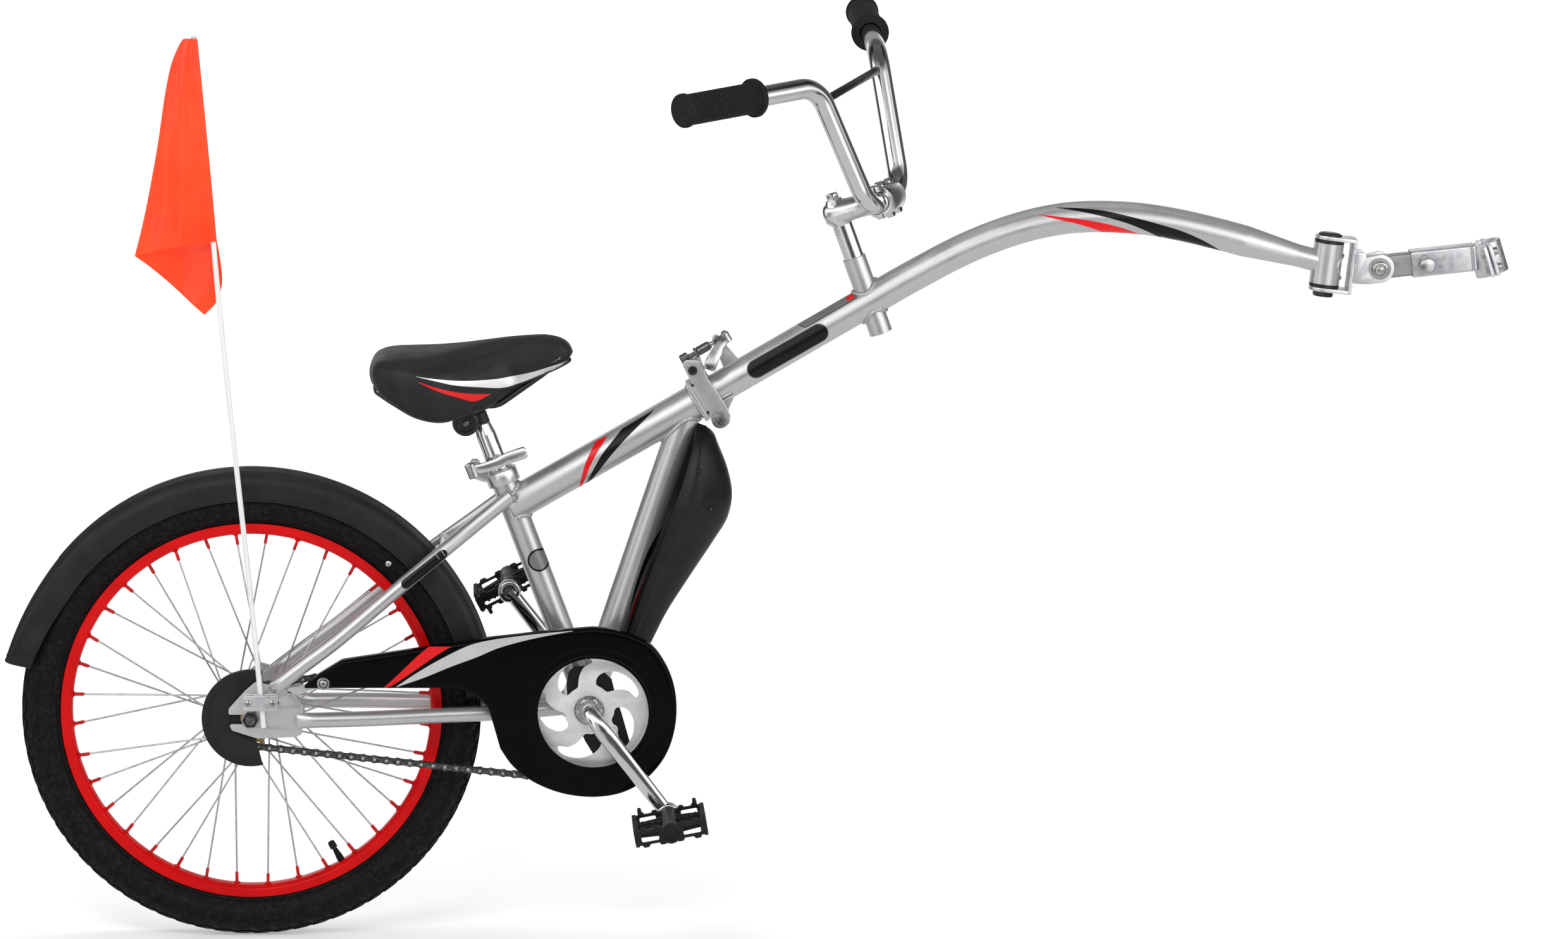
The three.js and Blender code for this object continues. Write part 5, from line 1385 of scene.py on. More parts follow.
def cups():
    for node, s in (("bb_cup_right", -1), ("bb_cup_left", 1)):
        prof = [(12.2, 37.0), (13.4, 37.5), (20, 37.5), (23.6, 37.3), (25.8, 36.6), (27, 35.6), (27.2, 34.9), (26.8, 34.4), (25.2, 34.4), (25.2, 25), (23.6, 24.4), (22, 25.2), (21, 30), (17, 34.4), (12.2, 35.4)]
        g = Geo().add(revolve(prof, P(BB), vec(0, s, 0), 96, loop=True), 0)
        # the caged balls that show in the gap round the spindle
        for i in range(9):
            a = 2 * math.pi * (i + 0.3) / 9
            c = to_a(BB, a, 15.5)
            g.add(revolve([(0, -3), (1.5, -2.6), (2.6, -1.5), (3, 0), (2.6, 1.5), (1.5, 2.6), (0, 3)], P(c, s * 31.2), Y, 14), 1)
        make("cup_pressed_" + ("right" if s < 0 else "left"), g, [chrome, bolt_zinc], "rear_frame", "chrome", node)


cups()


# ---------------------------------------------------------------- pedals
_ = Mat("amber_reflector", (0.75, 0.22, 0.02), 0.12, 0.0, Coat_Weight=0.8, Coat_Roughness=0.03)
_.tint(_.cells(420), [(0.36, 0.07, 0.004), (0.75, 0.22, 0.02), (0.9, 0.42, 0.08)], 0.1, 0.7).roughness(_.noise(300, 2), 0.08, 0.2).bump(_.cells(420, randomness=0.1), 0.6, 0.0006)
amber = _.m


def castle(lo, hi, base, top, n, slope=0.22):
    """A row of teeth from lo to hi between two heights."""
    out, w = [], (hi - lo) / (2 * n - 1)
    for i in range(n):
        a = lo + 2 * i * w
        out += [(a, base), (a + w * slope, top), (a + w * (1 - slope), top), (a + w, base)]
    return out


def pedal(node, s, side, tilt, flip):
    g = Geo()
    c, t = arm(s, 0), rad(tilt)
    cs, sn = math.cos(t), math.sin(t)

    def put(shape, m=0):
        v, f = shape
        v = v.copy()
        if flip:
            v[:, 2] *= -1
        v[:, 1] *= side
        x = v[:, 0] * cs - v[:, 2] * sn
        z = v[:, 0] * sn + v[:, 2] * cs
        g.add((np.stack([c[0] + x, v[:, 1], c[2] + z], 1), f), m)

    def across(outline, y0, y1, bevel=0.5, holes=()):  # plates facing the rider's sides
        v, f = slab(outline, y1 - y0, bevel, holes)
        return v + vec(0, (y0 + y1) / 2, 0), f

    def along(outline, x0, x1, bevel=0.5, holes=()):  # plates facing forward or back: outline is (y, z)
        v, f = slab(outline, x1 - x0, bevel, holes)
        return np.stack([(x0 + x1) / 2 - v[:, 1], v[:, 0], v[:, 2]], 1), f

    # outer end plate with its castle edge, two windows and the round mouth of the barrel
    top = castle(-33, 33, 8.2, 10.8, 5)
    bot = [(x, -z) for x, z in castle(-33, 33, 8.0, 10.8, 4)][::-1]
    end = [(-39.6, 7.0), (-37, 8.2)] + top + [(37, 8.2), (39.6, 7.0), (39.6, -6.0), (36, -8.0)] + bot + [(-36, -8.0), (-39.6, -6.0)]
    win = lambda x0, x1, z0, z1, r=1.6: corners([(x0, z0), (x1, z0), (x1, z1), (x0, z1)], r, 4)
    put(across(end, 171.6, 175.8, 0.55, [win(13.5, 32.5, -5.2, 4.6), win(-32.5, -13.5, -5.2, 4.6), circle((0, 0.2), 6.6, 40)]))
    put(across(end, 91.2, 95.0, 0.55, [win(14, 32, -5, 5), win(-32, -14, -5, 5), circle((0, 0), 7.4, 40)]))
    # a mid rib
    mid = [(-37, 6.4)] + castle(-31, -13, 6.6, 9.2, 3) + [(-9, 6.4), (9, 6.4)] + castle(13, 31, 6.6, 9.2, 3) + [(37, 6.4), (37, -6.4), (-37, -6.4)]
    put(across(mid, 131.6, 135.2, 0.5, [win(14.5, 32, -3.4, 3.4), win(-32, -14.5, -3.4, 3.4), circle((0, 0), 6.5, 32)]))
    # the two long cages, toothed above and below, with a frame for the reflector
    cage = [(94, 7.4)] + castle(98, 169, 7.6, 10.8, 8) + [(173, 7.4), (173, -7.4)] + [(y, -z) for y, z in castle(98, 169, 7.6, 10.8, 8)][::-1] + [(94, -7.4)]
    for k in (-1, 1):
        x0, x1 = sorted((k * 35.6, k * 39.8))
        put(along(cage, x0, x1, 0.5, [win(108, 159, -4.6, 4.6, 1.2)]))
        put(along(win(109, 158, -4.0, 4.0, 1.0), *sorted((k * 36.6, k * 39.3)), 0.4), 1)
        put(along(win(106, 161, -6.4, 6.4, 1.2), *sorted((k * 34.4, k * 36.2)), 0.4))
        # stepped corner blocks, and the pegs that stop a toe clip
        for y0, y1 in ((91.6, 101), (166, 175.4)):
            put(across(win(*sorted((k * 33.6, k * 39.9)), -7.4, 8.2, 1.2), y0, y1, 0.7))
        v, f = revolve([(0, 0), (2.5, 0), (2.3, 6.5), (2.0, 9.0), (1.5, 9.8), (0, 10)], (k * 30.5, 94.6, 6.5), Z, 20)
        put((v, f))
        # sloping webs from barrel to cage
        for y in (112.5, 153.5):
            out = [(k * 8, 5.6), (k * 36, 3.6), (k * 36, -3.6), (k * 8, -5.6)]
            put(across(out, y - 1.4, y + 1.4, 0.4))
    # barrel: waisted, ribbed, with a recessed dust cap
    prof = [(7.4, 90.6), (11.4, 90.8), (11.8, 92), (10.8, 98), (9.4, 108), (8.9, 128), (9.2, 150), (10.4, 164), (11.4, 172), (11.4, 176.6), (10.6, 177.4), (8.4, 177.2), (7.2, 174.5), (0, 173.5)]
    put(revolve(prof, (0, 0, 0), Y, 64))
    for i in range(6):
        a = math.pi / 3 * i
        v, f = brick((math.cos(a) * 9.2, 130, math.sin(a) * 9.2), ((0, 1, 0), (-math.sin(a), 0, math.cos(a)), (math.cos(a), 0, math.sin(a))), (30, 0.8, 1.3), 0.4)
        put((v, f))
    # spindle: washer face, wrench flats and thread
    put(thread((0, 74, 0), (0, 86.5, 0), 6.9, 1.27, 28), 2)
    v, f = nut((0, 86, 0), Y, 15, 4.2)
    put((v, f), 2)
    put(revolve([(0, 85.4), (8.2, 85.4), (8.6, 85.9), (8.6, 86.6), (0, 86.6)], (0, 0, 0), Y, 40), 2)
    put(revolve([(0, 73.2), (6.6, 73.2), (6.9, 74), (0, 74)], (0, 0, 0), Y, 32), 3)
    make("pedal_cage_" + ("right" if side < 0 else "left"), g, [pedal_black, amber, bolt_zinc, dark_steel], "right_pedal" if side < 0 else "left_pedal", "pedal_black", node, angle=34)


pedal("pedal_right", CRANK, -1, 10.3, False)
pedal("pedal_left", -CRANK, 1, 27, True)

# ---------------------------------------------------------------- frame tubes
MAIN_REAR = (288.2, 478.9)
DOWN_A, DOWN_B = vec(369, 0, 257.9), vec(478.4, 0, 579.3)
down_dir = unit(DOWN_B - DOWN_A)
DROP = [(-23.6, 264.5), (-6, 284), (6.3, 294.6), (44.9, 283), (57.7, 266), (56.5, 236), (50, 232.5), (7.4, 231), (-20.1, 240), (-24, 247.3), (2.5, 247.2), (5.9, 250), (5.9, 255), (2.5, 257.8), (-24.5, 257.7)]
DROP_TAB = [(40, 282), (52, 279), (72, 286.5), (88, 288), (88, 295.4), (72, 295.4), (52, 288.4), (42, 287.5)]
SEAT_STAY = [(22, 57.5, 283.5), (58, 56.3, 311), (95.2, 54, 338.6), (156.4, 47, 389.5), (205, 39.2, 429), (238, 28, 454.5), (285, 15.5, 491)]
CHAIN_STAY = [(48, 57.2, 250.5), (120, 53, 251), (190, 41.8, 251.5), (230, 37.2, 252), (262, 32.7, 252.5), (300, 29, 254), (352, 21.5, 257)]
BRIDGE = (214, 436)


def tube_surface(a0, d, r, lead=None):
    """Puts a point of the side view on the drive side (or far side) of a tube, lifted off it."""
    a0, d = np.asarray(a0, float), unit(d)
    up = vec(-d[2], 0, d[0])

    def at(q, lift, side=-1):
        s = (vec(q[0], 0, q[1]) - a0) @ d
        h = (vec(q[0], 0, q[1]) - a0) @ up
        k = max(-1.0, min(1.0, h / r))
        ang = math.asin(k)
        return a0 + d * s + up * ((r + lift) * math.sin(ang)) + vec(0, side * (r + lift) * math.cos(ang), 0)

    return at


def stripe(g, m, a, b, surf, sides=(-1, 1), cols=70, rows=8, lift=0.13):
    for side in sides:
        g.add(wrap(a, b, lambda q, l, sd=side: surf(q, l, sd), cols, rows, lift), m)


def arcs(points, n=60):
    return smooth_line([(*p, 0) for p in points], n)[:, :2]


def px(x, y, y_mm=0.0):
    """A pixel of the photograph as a point of the side view, at the depth y_mm."""
    f, pitch, yaw, roll = 11176.817564326917, 0.16294448473878628, -0.04580020384284274, 0.0021525193334880955
    fwd = vec(-math.sin(yaw) * math.cos(pitch), math.cos(yaw) * math.cos(pitch), -math.sin(pitch))
    right = vec(math.cos(yaw), math.sin(yaw), 0)
    up = np.cross(right, fwd)
    r2, u2 = right * math.cos(roll) + up * math.sin(roll), up * math.cos(roll) - right * math.sin(roll)
    d = fwd * f + r2 * (x - 1239.5) - u2 * (y - 742)
    o = vec(234.91605518444277, -7657.794705707741, 1776.7412925987635)
    p = o + d * ((y_mm - o[1]) / d[1])
    return (p[0], p[2])


def frame_tubes():
    # seat tube, with the slot at its top that lets the collar close it
    g = Geo().add(pipe(seat_at(26), seat_at(279), SEAT_R, POST_R + 0.4, 72, 0.5))
    make("seat_tube_painted", g, silver, "rear_frame", "frame_paint", "seat_tube")
    # main tube, closed behind the seat tube
    L = float(np.linalg.norm(H(-6.7, 0) - P(MAIN_REAR)))
    g = Geo().add(revolve([(0, -6.2), (9, -5.9), (15, -5.0), (18, -3.4), (19.05, -1.0), (19.05, L), (17, L)], P(MAIN_REAR), tube_dir, 96))
    make("main_tube_painted", g, silver, "rear_frame", "frame_paint", "main_tube")
    g = Geo().add(pipe(DOWN_A + down_dir * 24, DOWN_B, DOWN_R, DOWN_R - 1.8, 80, 0.2))
    make("down_tube_painted", g, silver, "rear_frame", "frame_paint", "down_tube")
    g = Geo().add(revolve([(25.5, -33), (26.4, -34), (27.4, -34), (28, -33.4), (28, 33.4), (27.4, 34), (26.4, 34), (25.5, 33)], P(BB), Y, 110, loop=True))
    make("bb_shell_painted", g, silver, "rear_frame", "frame_paint", "bb_shell")
    for node, s in (("right", -1), ("left", 1)):
        line = smooth_line([(x, s * y, z) for x, y, z in SEAT_STAY], 130)
        n = 40
        # pinched, rounded lower end
        t, u, w = frames(line, start=Y)
        rows = []
        for i, p in enumerate(line):
            dist = float(np.linalg.norm(p - line[0]))
            k = min(1.0, dist / 16)
            flat_ = 0.62 + 0.38 * k * k * (3 - 2 * k)
            cap = math.sqrt(max(0.05, 1 - max(0, 1 - dist / 5) ** 2))
            rows.append(p + SEAT_STAY_R * cap * (np.cos(np.linspace(0, 2 * math.pi, n, endpoint=False))[:, None] * u[i] * flat_ + np.sin(np.linspace(0, 2 * math.pi, n, endpoint=False))[:, None] * w[i]))
        make("seat_stay_painted_" + node, Geo().add(clear_of(skin(rows), seat_at(0), seat_dir, (POST_R + 0.4 + SEAT_R) / 2)), silver, "rear_frame", "frame_paint", "seat_stay_" + node)
        line = smooth_line([(x, s * y, z) for x, y, z in CHAIN_STAY], 150)
        t, u, w = frames(line, start=Y)
        rows = []
        for i, p in enumerate(line):
            dist = float(np.linalg.norm(p - line[0]))
            k = min(1.0, dist / 20)
            flat_ = 0.6 + 0.4 * k * k * (3 - 2 * k)
            cap = math.sqrt(max(0.08, 1 - max(0, 1 - dist / 4) ** 2))
            rr = CHAIN_STAY_R * (1.0 + 0.08 * (1 - flat_) / 0.4)
            q = np.linspace(0, 2 * math.pi, n, endpoint=False)
            rows.append(p + rr * cap * (np.cos(q)[:, None] * u[i] * flat_ + np.sin(q)[:, None] * w[i]))
        make("chain_stay_painted_" + node, Geo().add(skin(rows)), silver, "rear_frame", "frame_paint", "chain_stay_" + node)
        hole = circle((29, 271), 2.6, 24)
        g = Geo().add(side_slab(corners(DROP, [3, 5, 5, 5, 4, 4, 3, 4, 4, 3, 0.5, 2.2, 2.2, 0.5, 3]), *sorted((s * 55, s * 59)), 0.5, [hole]))
        if s < 0:
            g.add(side_slab(corners(DROP_TAB, [1, 3, 5, 2, 2, 5, 3, 1]), -59, -56.2, 0.4, [circle((80, 291.6), 2.2, 20)]))
        # threaded eye under the fender-stay hole
        g.add(revolve([(2.7, 0), (4.6, 0), (4.6, 0.9), (4.1, 1.4), (2.7, 1.4)], vec(29, s * 59, 271), vec(0, s, 0), 28, loop=True))
        make("dropout_plate_" + node, g, silver, "rear_frame", "frame_paint", "dropout_" + node)
    # bridge between the seat stays, with its tab for the fender
    y_in = 33
    g = Geo().add(rod(P(BRIDGE, -y_in), P(BRIDGE, y_in), 6, 36, 0.2))
    d = unit(P(AXLE) - P(BRIDGE))
    out = corners([(-7, -3), (-7, 9), (-4.5, 11.6), (4.5, 11.6), (7, 9), (7, -3)], 2, 4)
    v, f = slab(out, 5, 0.6, [], (P(BRIDGE), Y, d))
    g.add((v, f))
    make("stay_bridge_painted", g, silver, "rear_frame", "frame_paint", "stay_bridge")

    # welds
    g = Geo()
    top = weld_curve(P(MAIN_REAR), seat_dir, SEAT_R, P(MAIN_REAR), tube_dir, MAIN_R, -1, 120)
    bot = weld_curve(P(MAIN_REAR), seat_dir, SEAT_R, P(MAIN_REAR), tube_dir, MAIN_R, 1, 120)
    for curve in (top, bot):
        s = (curve - P(MAIN_REAR)) @ tube_dir
        keep = s > -4.5
        k = int(np.argmax(~keep))
        order = np.roll(np.arange(len(curve)), -k)
        pts = curve[order][keep[order]]
        g.add(bead(pts, 2.3, closed=False))
    for s in (-1, 1):
        a = P(MAIN_REAR) - tube_dir * 5.2 + vec(0, s * 13.6, 0)
        g.add(bead([a + seat_dir * k for k in np.linspace(-11, 11, 16)], 2.2, closed=False))
    g.add(bead(weld_curve(DOWN_A, down_dir, DOWN_R, P(BB), Y, 28, -1, 140), 2.2))
    g.add(bead(weld_curve(DOWN_B, down_dir, DOWN_R, P(MAIN_REAR), tube_dir, MAIN_R, 1, 140), 2.4))
    g.add(bead(weld_curve(P(BB), seat_dir, SEAT_R, P(BB), Y, 28, -1, 120), 2.0))
    ring = [H(-6.9, 0) + MAIN_R * (math.cos(a) * tube_up + math.sin(a) * Y) for a in np.linspace(0, 2 * math.pi, 120, endpoint=False)]
    g.add(bead(ring, 1.9))
    for s in (-1, 1):
        # chain stays to shell, seat stays to seat tube, bridge to stays, stay ends to dropouts
        a, b = vec(*[352, s * 21.5, 257]), vec(300, s * 29, 254)
        try:
            g.add(bead(weld_curve(b, unit(a - b), CHAIN_STAY_R, P(BB), Y, 28, 1, 90), 1.8))
        except ValueError:
            pass
        a, b = vec(238, s * 28, 454.5), vec(285, s * 15.5, 491)
        d = unit(b - a)
        curve = weld_curve(a, d, SEAT_STAY_R, P(MAIN_REAR), seat_dir, SEAT_R, 1, 90)
        ok = np.array([q for q in curve if (q - a) @ d < 64 and q[1] * s > 2])
        if len(ok) > 8:
            g.add(bead(ok, 1.9, closed=False))
        ring = [vec(BRIDGE[0], s * 32.6, BRIDGE[1]) + 6.1 * vec(math.cos(a), 0, math.sin(a)) for a in np.linspace(0, 2 * math.pi, 60, endpoint=False)]
        g.add(bead(ring, 1.5))
        for q in (smooth_line([(20.5, s * 59.6, 277.5), (17.4, s * 59.8, 284), (21, s * 59.8, 291)], 30), smooth_line([(60.4, s * 59.2, 258.6), (58.6, s * 59.4, 250.6), (60, s * 59.2, 242.6)], 30)):
            g.add(bead(q, 1.4, closed=False))
    make("frame_welds", g, silver_weld, "rear_frame", "frame_paint")

    # printed stripes on main tube and down tube
    g = Geo()
    main = tube_surface(P(MAIN_REAR), tube_dir, MAIN_R)
    stripe(g, 0, arcs([px(941, 696), px(925, 728), px(914, 774)]), arcs([px(960, 686), px(936, 725), px(917.5, 772)]), main)
    stripe(g, 1, arcs([px(983, 675), px(950, 716), px(922, 770)]), arcs([px(1034, 645), px(975, 704), px(927, 767)]), main)
    down = tube_surface(DOWN_A, down_dir, DOWN_R)
    stripe(g, 1, arcs([px(1059.5, 812), px(1029, 858), px(1008, 910), px(994.8, 960)]), arcs([px(1059.5, 812), px(1046, 846), px(1021, 892), px(995.2, 961)]), down)
    stripe(g, 0, arcs([px(1037, 876), px(1015, 921), px(1001, 955), px(994.8, 980)]), arcs([px(1037, 876), px(1028, 913), px(1010, 948), px(995.2, 981)]), down)
    # a plain round plate on the seat tube
    seat_surf = tube_surface(P(BB), seat_dir, SEAT_R)
    c = np.array(px(852, 882))
    ring_a = [c + 12.6 * np.array([math.cos(a), math.sin(a)]) for a in np.linspace(math.pi, 0, 30)]
    ring_b = [c + 12.6 * np.array([math.cos(a), math.sin(a)]) for a in np.linspace(-math.pi, 0, 30)]
    stripe(g, 1, ring_a, ring_b, seat_surf, sides=(-1,), cols=50, rows=14)
    ring_a = [c + 10.4 * np.array([math.cos(a), math.sin(a)]) for a in np.linspace(math.pi, 0, 30)]
    ring_b = [c + 10.4 * np.array([math.cos(a), math.sin(a)]) for a in np.linspace(-math.pi, 0, 30)]
    stripe(g, 2, ring_a, ring_b, seat_surf, sides=(-1,), cols=50, rows=14, lift=0.2)
    make("frame_stripes", g, [print_red, print_black, print_grey], "rear_frame", "frame_paint")


frame_tubes()


def pill(a, b, w, k=10):
    """A stadium outline in the side view, from a to b and w wide."""
    a, b = np.array(a, float), np.array(b, float)
    d = (b - a) / np.linalg.norm(b - a)
    n = np.array([-d[1], d[0]])
    top, bot = [], []
    for i in range(k + 1):
        q = math.pi / 2 * (1 - i / k)
        top.append(a + d * (w / 2) - d * (w / 2) * math.sin(q) + n * (w / 2) * math.cos(q))
        bot.append(a + d * (w / 2) - d * (w / 2) * math.sin(q) - n * (w / 2) * math.cos(q))
    for i in range(1, 12):
        c = a + d * (w / 2) + (b - a - d * w) * i / 12
        top.append(c + n * w / 2)
        bot.append(c - n * w / 2)
    for i in range(k + 1):
        q = math.pi / 2 * i / k
        top.append(b - d * (w / 2) + d * (w / 2) * math.sin(q) + n * (w / 2) * math.cos(q))
        bot.append(b - d * (w / 2) + d * (w / 2) * math.sin(q) - n * (w / 2) * math.cos(q))
    return np.array(top), np.array(bot)


def collar():
    g = Geo()
    # the split ring: a C round the tube with two ears behind, pulled together by the skewer
    ears = unit(P((246.5, 521.5)) - (seat_at(0) + seat_dir * ((P((246.5, 521.5)) - seat_at(0)) @ seat_dir)))
    half_gap = rad(9)
    n, rows = 90, []
    a0 = math.pi + half_gap
    u, w = ears, np.cross(seat_dir, ears)
    for i in range(n):
        a = half_gap + (2 * math.pi - 2 * half_gap) * i / (n - 1)
        e = u * math.cos(a) + w * math.sin(a)
        row = []
        for r, t in ((14.7, 262.6), (15.1, 262), (17.8, 262), (18.3, 262.8), (18.3, 276.2), (17.8, 277), (15.1, 277), (14.7, 276.4)):
            row.append(seat_at(t) + e * r)
        rows.append(np.array(row))
    g.add(skin(rows), 0)
    lug = corners([(239, 529), (260.5, 520.5), (264.5, 509.5), (257.5, 505.2), (241.5, 511)], [6, 1, 1, 1, 5], 5)
    for y0, y1 in ((2.4, 9.6), (-9.6, -2.4)):
        g.add(side_slab(lug, y0, y1, 0.7, [circle((246.5, 521.5), 2.8, 24)]), 0)
    q = (246.5, 521.5)
    g.add(rod(P(q, -18), P(q, 24), 2.5, 24), 1)
    # cup washer and cam barrel on the drive side, adjusting nut on the far side
    g.add(revolve([(0, -9.9), (5.4, -9.9), (6.6, -10.6), (7.1, -12), (7.1, -17.6), (6.5, -18.8), (4.6, -19.3), (0, -19.3)], P(q), Y, 48), 1)
    g.add(revolve([(0, 9.9), (6.2, 9.9), (6.7, 10.5), (6.7, 12), (5.2, 12.6), (0, 12.6)], P(q), Y, 48), 0)
    g.add(nut(P(q, 12.4), Y, 11.6, 6.0), 1)
    make("seat_collar_ring", g, [machined, bolt_zinc], "rear_frame", "alloy", "seat_collar")

    g = Geo()
    c = vec(245, -25.3, 516)
    g.add(revolve([(0, -3.2), (4.8, -3.2), (5.9, -2.4), (6.0, 12.6), (5.0, 14), (3.4, 14.2), (2.2, 13.4), (0, 13.2)], c, seat_dir, 48), 0)
    pts = [(243, -25.3, 522.5, 5), (252, -25.9, 523.6, 5.3), (262, -26, 526, 6), (272, -25.6, 529.4, 6.2), (280, -24.5, 533.5, 6.5), (292, -22.6, 537.6, 6.9), (304, -20, 541, 7)]
    line = smooth_line([p[:3] for p in pts], 60)
    up0 = unit(vec(-0.33, 0, 0.944))
    rows = []
    for i, p in enumerate(line):
        t = unit(line[min(i + 1, 59)] - line[max(i - 1, 0)])
        up = unit(up0 - t * (up0 @ t))
        out_ = np.cross(t, up)
        hw = float(np.interp(i / 59, [0, 0.3, 0.6, 1], [5, 6, 6.6, 7]))
        k = i / 59
        if k > 0.93:
            hw *= math.sqrt(max(0.05, 1 - ((k - 0.93) / 0.0705) ** 2))
        sec = []
        for j in range(28):
            a = 2 * math.pi * j / 28
            ca, sa = math.cos(a), math.sin(a)
            fx = math.copysign(abs(ca) ** 0.45, ca) * hw
            fy = math.copysign(abs(sa) ** 0.6, sa) * 1.5 + 0.8 * (1 - (fx / max(hw, 0.1)) ** 2)
            sec.append(p + up * fx + out_ * (fy - 0.4))
        rows.append(np.array(sec))
    g.add(skin(rows), 1)
    make("seat_quick_lever", g, [bolt_zinc, alloy], "seat_quick_release", "alloy", "seat_qr_lever")


collar()


# ---------------------------------------------------------------- fold hinge and latch
HPIN = H(7.4, -28.3)
LPIN = H(48, 46.5)
CHEEK = [(0.6, -15.5), (0.6, 21.4), (2.1, 45), (7.3, 48.5), (17, 43.2), (21.8, 39), (18.9, 21.3), (21.3, -15.2), (20.6, -28.9), (15.7, -36.5), (7.4, -38.2), (0.5, -34.5), (-1.5, -27.8)]


def flat2(p):
    return (p[0], p[2])


def hole_bolt(g, at, d, r, m=0, depth=3.0, flats=None, head=None):
    """A socket cap screw: a knurl-less round head with its hexagon socket sunk in."""
    d = unit(d)
    h = head or r * 0.9
    n = 48
    u = unit(np.cross(d, Y)) if abs(d @ Y) < 0.9 else X
    w = np.cross(d, u)
    s = (flats or r) / 2
    rows = []

    def ring(rad_, t, hexa=False):
        row = []
        for i in range(n):
            a = 2 * math.pi * i / n
            q = rad_
            if hexa:
                k = (a + math.pi / 6) % (math.pi / 3) - math.pi / 6
                q = s / math.cos(k)
            row.append(np.asarray(at, float) + d * t + q * (math.cos(a) * u + math.sin(a) * w))
        return np.array(row)

    for q, t in ((r * 0.96, 0), (r, 0.15 * h), (r, h - 0.5), (r - 0.5, h)):
        rows.append(ring(q, t))
    rows.append(ring(s * 1.25, h))
    rows.append(ring(0, h - 0.2, True))
    rows.append(ring(0, max(0.3, h - depth), True))
    g.add(skin(rows), m)


def hinge():
    g = Geo()
    cheek = corners([flat2(H(u, v)) for u, v in CHEEK], [2, 3, 4, 4, 3, 3, 12, 12, 5, 6, 7, 5, 4], 6)
    pin = circle(flat2(HPIN), 4.4, 40)
    for y0, y1 in ((-23.5, -20.0), (20.0, 23.5)):
        g.add(side_slab(cheek, y0, y1, 0.75, [pin]), 0)
    web = [flat2(H(u, v)) for u, v in ((-6.4, -22), (-0.9, -22), (-0.9, 22), (-6.4, 22))]
    g.add(side_slab(corners(web, 0.8, 3), -23.5, 23.5, 0.7), 0)
    for s in (-1, 1):  # tongues of the web through the cheek's slot, with a stress-relief notch at each end
        y0, y1 = sorted((s * 20.2, s * 23.62))
        g.add(side_slab([flat2(H(u, v)) for u, v in ((-3.4, -12.6), (1.4, -12.6), (1.4, 18.4), (-3.4, 18.4))], y0, y1, 0.2), 0)
        # each stress-relief notch is a thin black disc on the cheek: painted shade standing for the hole
        for v in (-14.2, 20.2):
            g.add(rod(H(0.6, v, s * 23.3), H(0.6, v, s * 23.72), 1.6, 20, 0.05), 2)
        for u in (-3.2,):
            g.add(bead([H(u, v, s * 23.6) for v in np.linspace(-21, 21, 30)], 1.0, closed=False), 1)
    # the ear bar that the swing bolt hooks behind, notched for it, and the stop pin
    bar = corners([flat2(H(u, v)) for u, v in ((14.2, 34), (19, 34), (19, 42.2), (14.2, 42.2))], 1.2, 4)
    g.add(side_slab(bar, -20.4, 20.4, 0.4), 0)
    a, b = H(8.9, 34.7, -24.2), H(8.9, 34.7, 24.2)
    g.add(rod(a, b, 4.3, 36), 2)
    hole_bolt(g, H(8.9, 34.7, -23.5), -Y, 5.0, 2, 2.0, 5.0, 2.9)
    hole_bolt(g, H(8.9, 34.7, 23.5), Y, 5.0, 2, 2.0, 5.0, 2.9)
    make("hinge_bracket_plates", g, [silver, silver_weld, black_enamel], "rear_frame", "frame_paint", "hinge_bracket")
    g = Geo()
    g.add(rod(vec(HPIN[0], -25, HPIN[2]), vec(HPIN[0], 27, HPIN[2]), 4.1, 40), 0)
    for s in (-1, 1):
        d = vec(0, s, 0)
        at = lambda y: vec(HPIN[0], s * y, HPIN[2])
        g.add(revolve([(4.2, 0), (8.5, 0), (8.8, 0.3), (8.7, 1.0), (7.8, 1.6), (4.2, 1.7)], at(23.7), d, 60, loop=True), 2)
        g.add(nut(at(25.0), d, 13.2, 5.2, e=0.9), 0)
        if s < 0:  # the threaded end stands in the nut's crown
            g.add(revolve([(0, 5.9), (3.0, 5.9), (3.7, 5.4), (3.9, 4.8), (4.4, 4.9), (5.0, 5.5), (5.6, 5.3)], at(25.0), d, 40), 1)
        else:
            g.add(revolve([(0, 5.6), (4.4, 5.5), (5.2, 5.2)], at(25.0), d, 40), 0)
    make("fold_bolt", g, [bolt_zinc, dark_steel, grey_steel], "rear_frame", "zinc", "hinge_bolt")


hinge()

# ---------------------------------------------------------------- boom
BOOM_LINE = [flat2(H(0.3, 0)), (627.5, 673.2), (710.6, 721.4), (738.3, 736.7), (765.9, 751.5), (793.6, 764.6), (826, 777.2), (860, 787.2), (896, 793.6), (932.2, 795.2), (975, 792.9), (1015.7, 786.4), (1057, 776.8), (1099.5, 765.2), (1150, 751.2), (1182, 742.9)]


def boom_radius(x):
    return BOOM_R if x < 1090 else max(12.6, BOOM_R - (x - 1090) * 0.085)


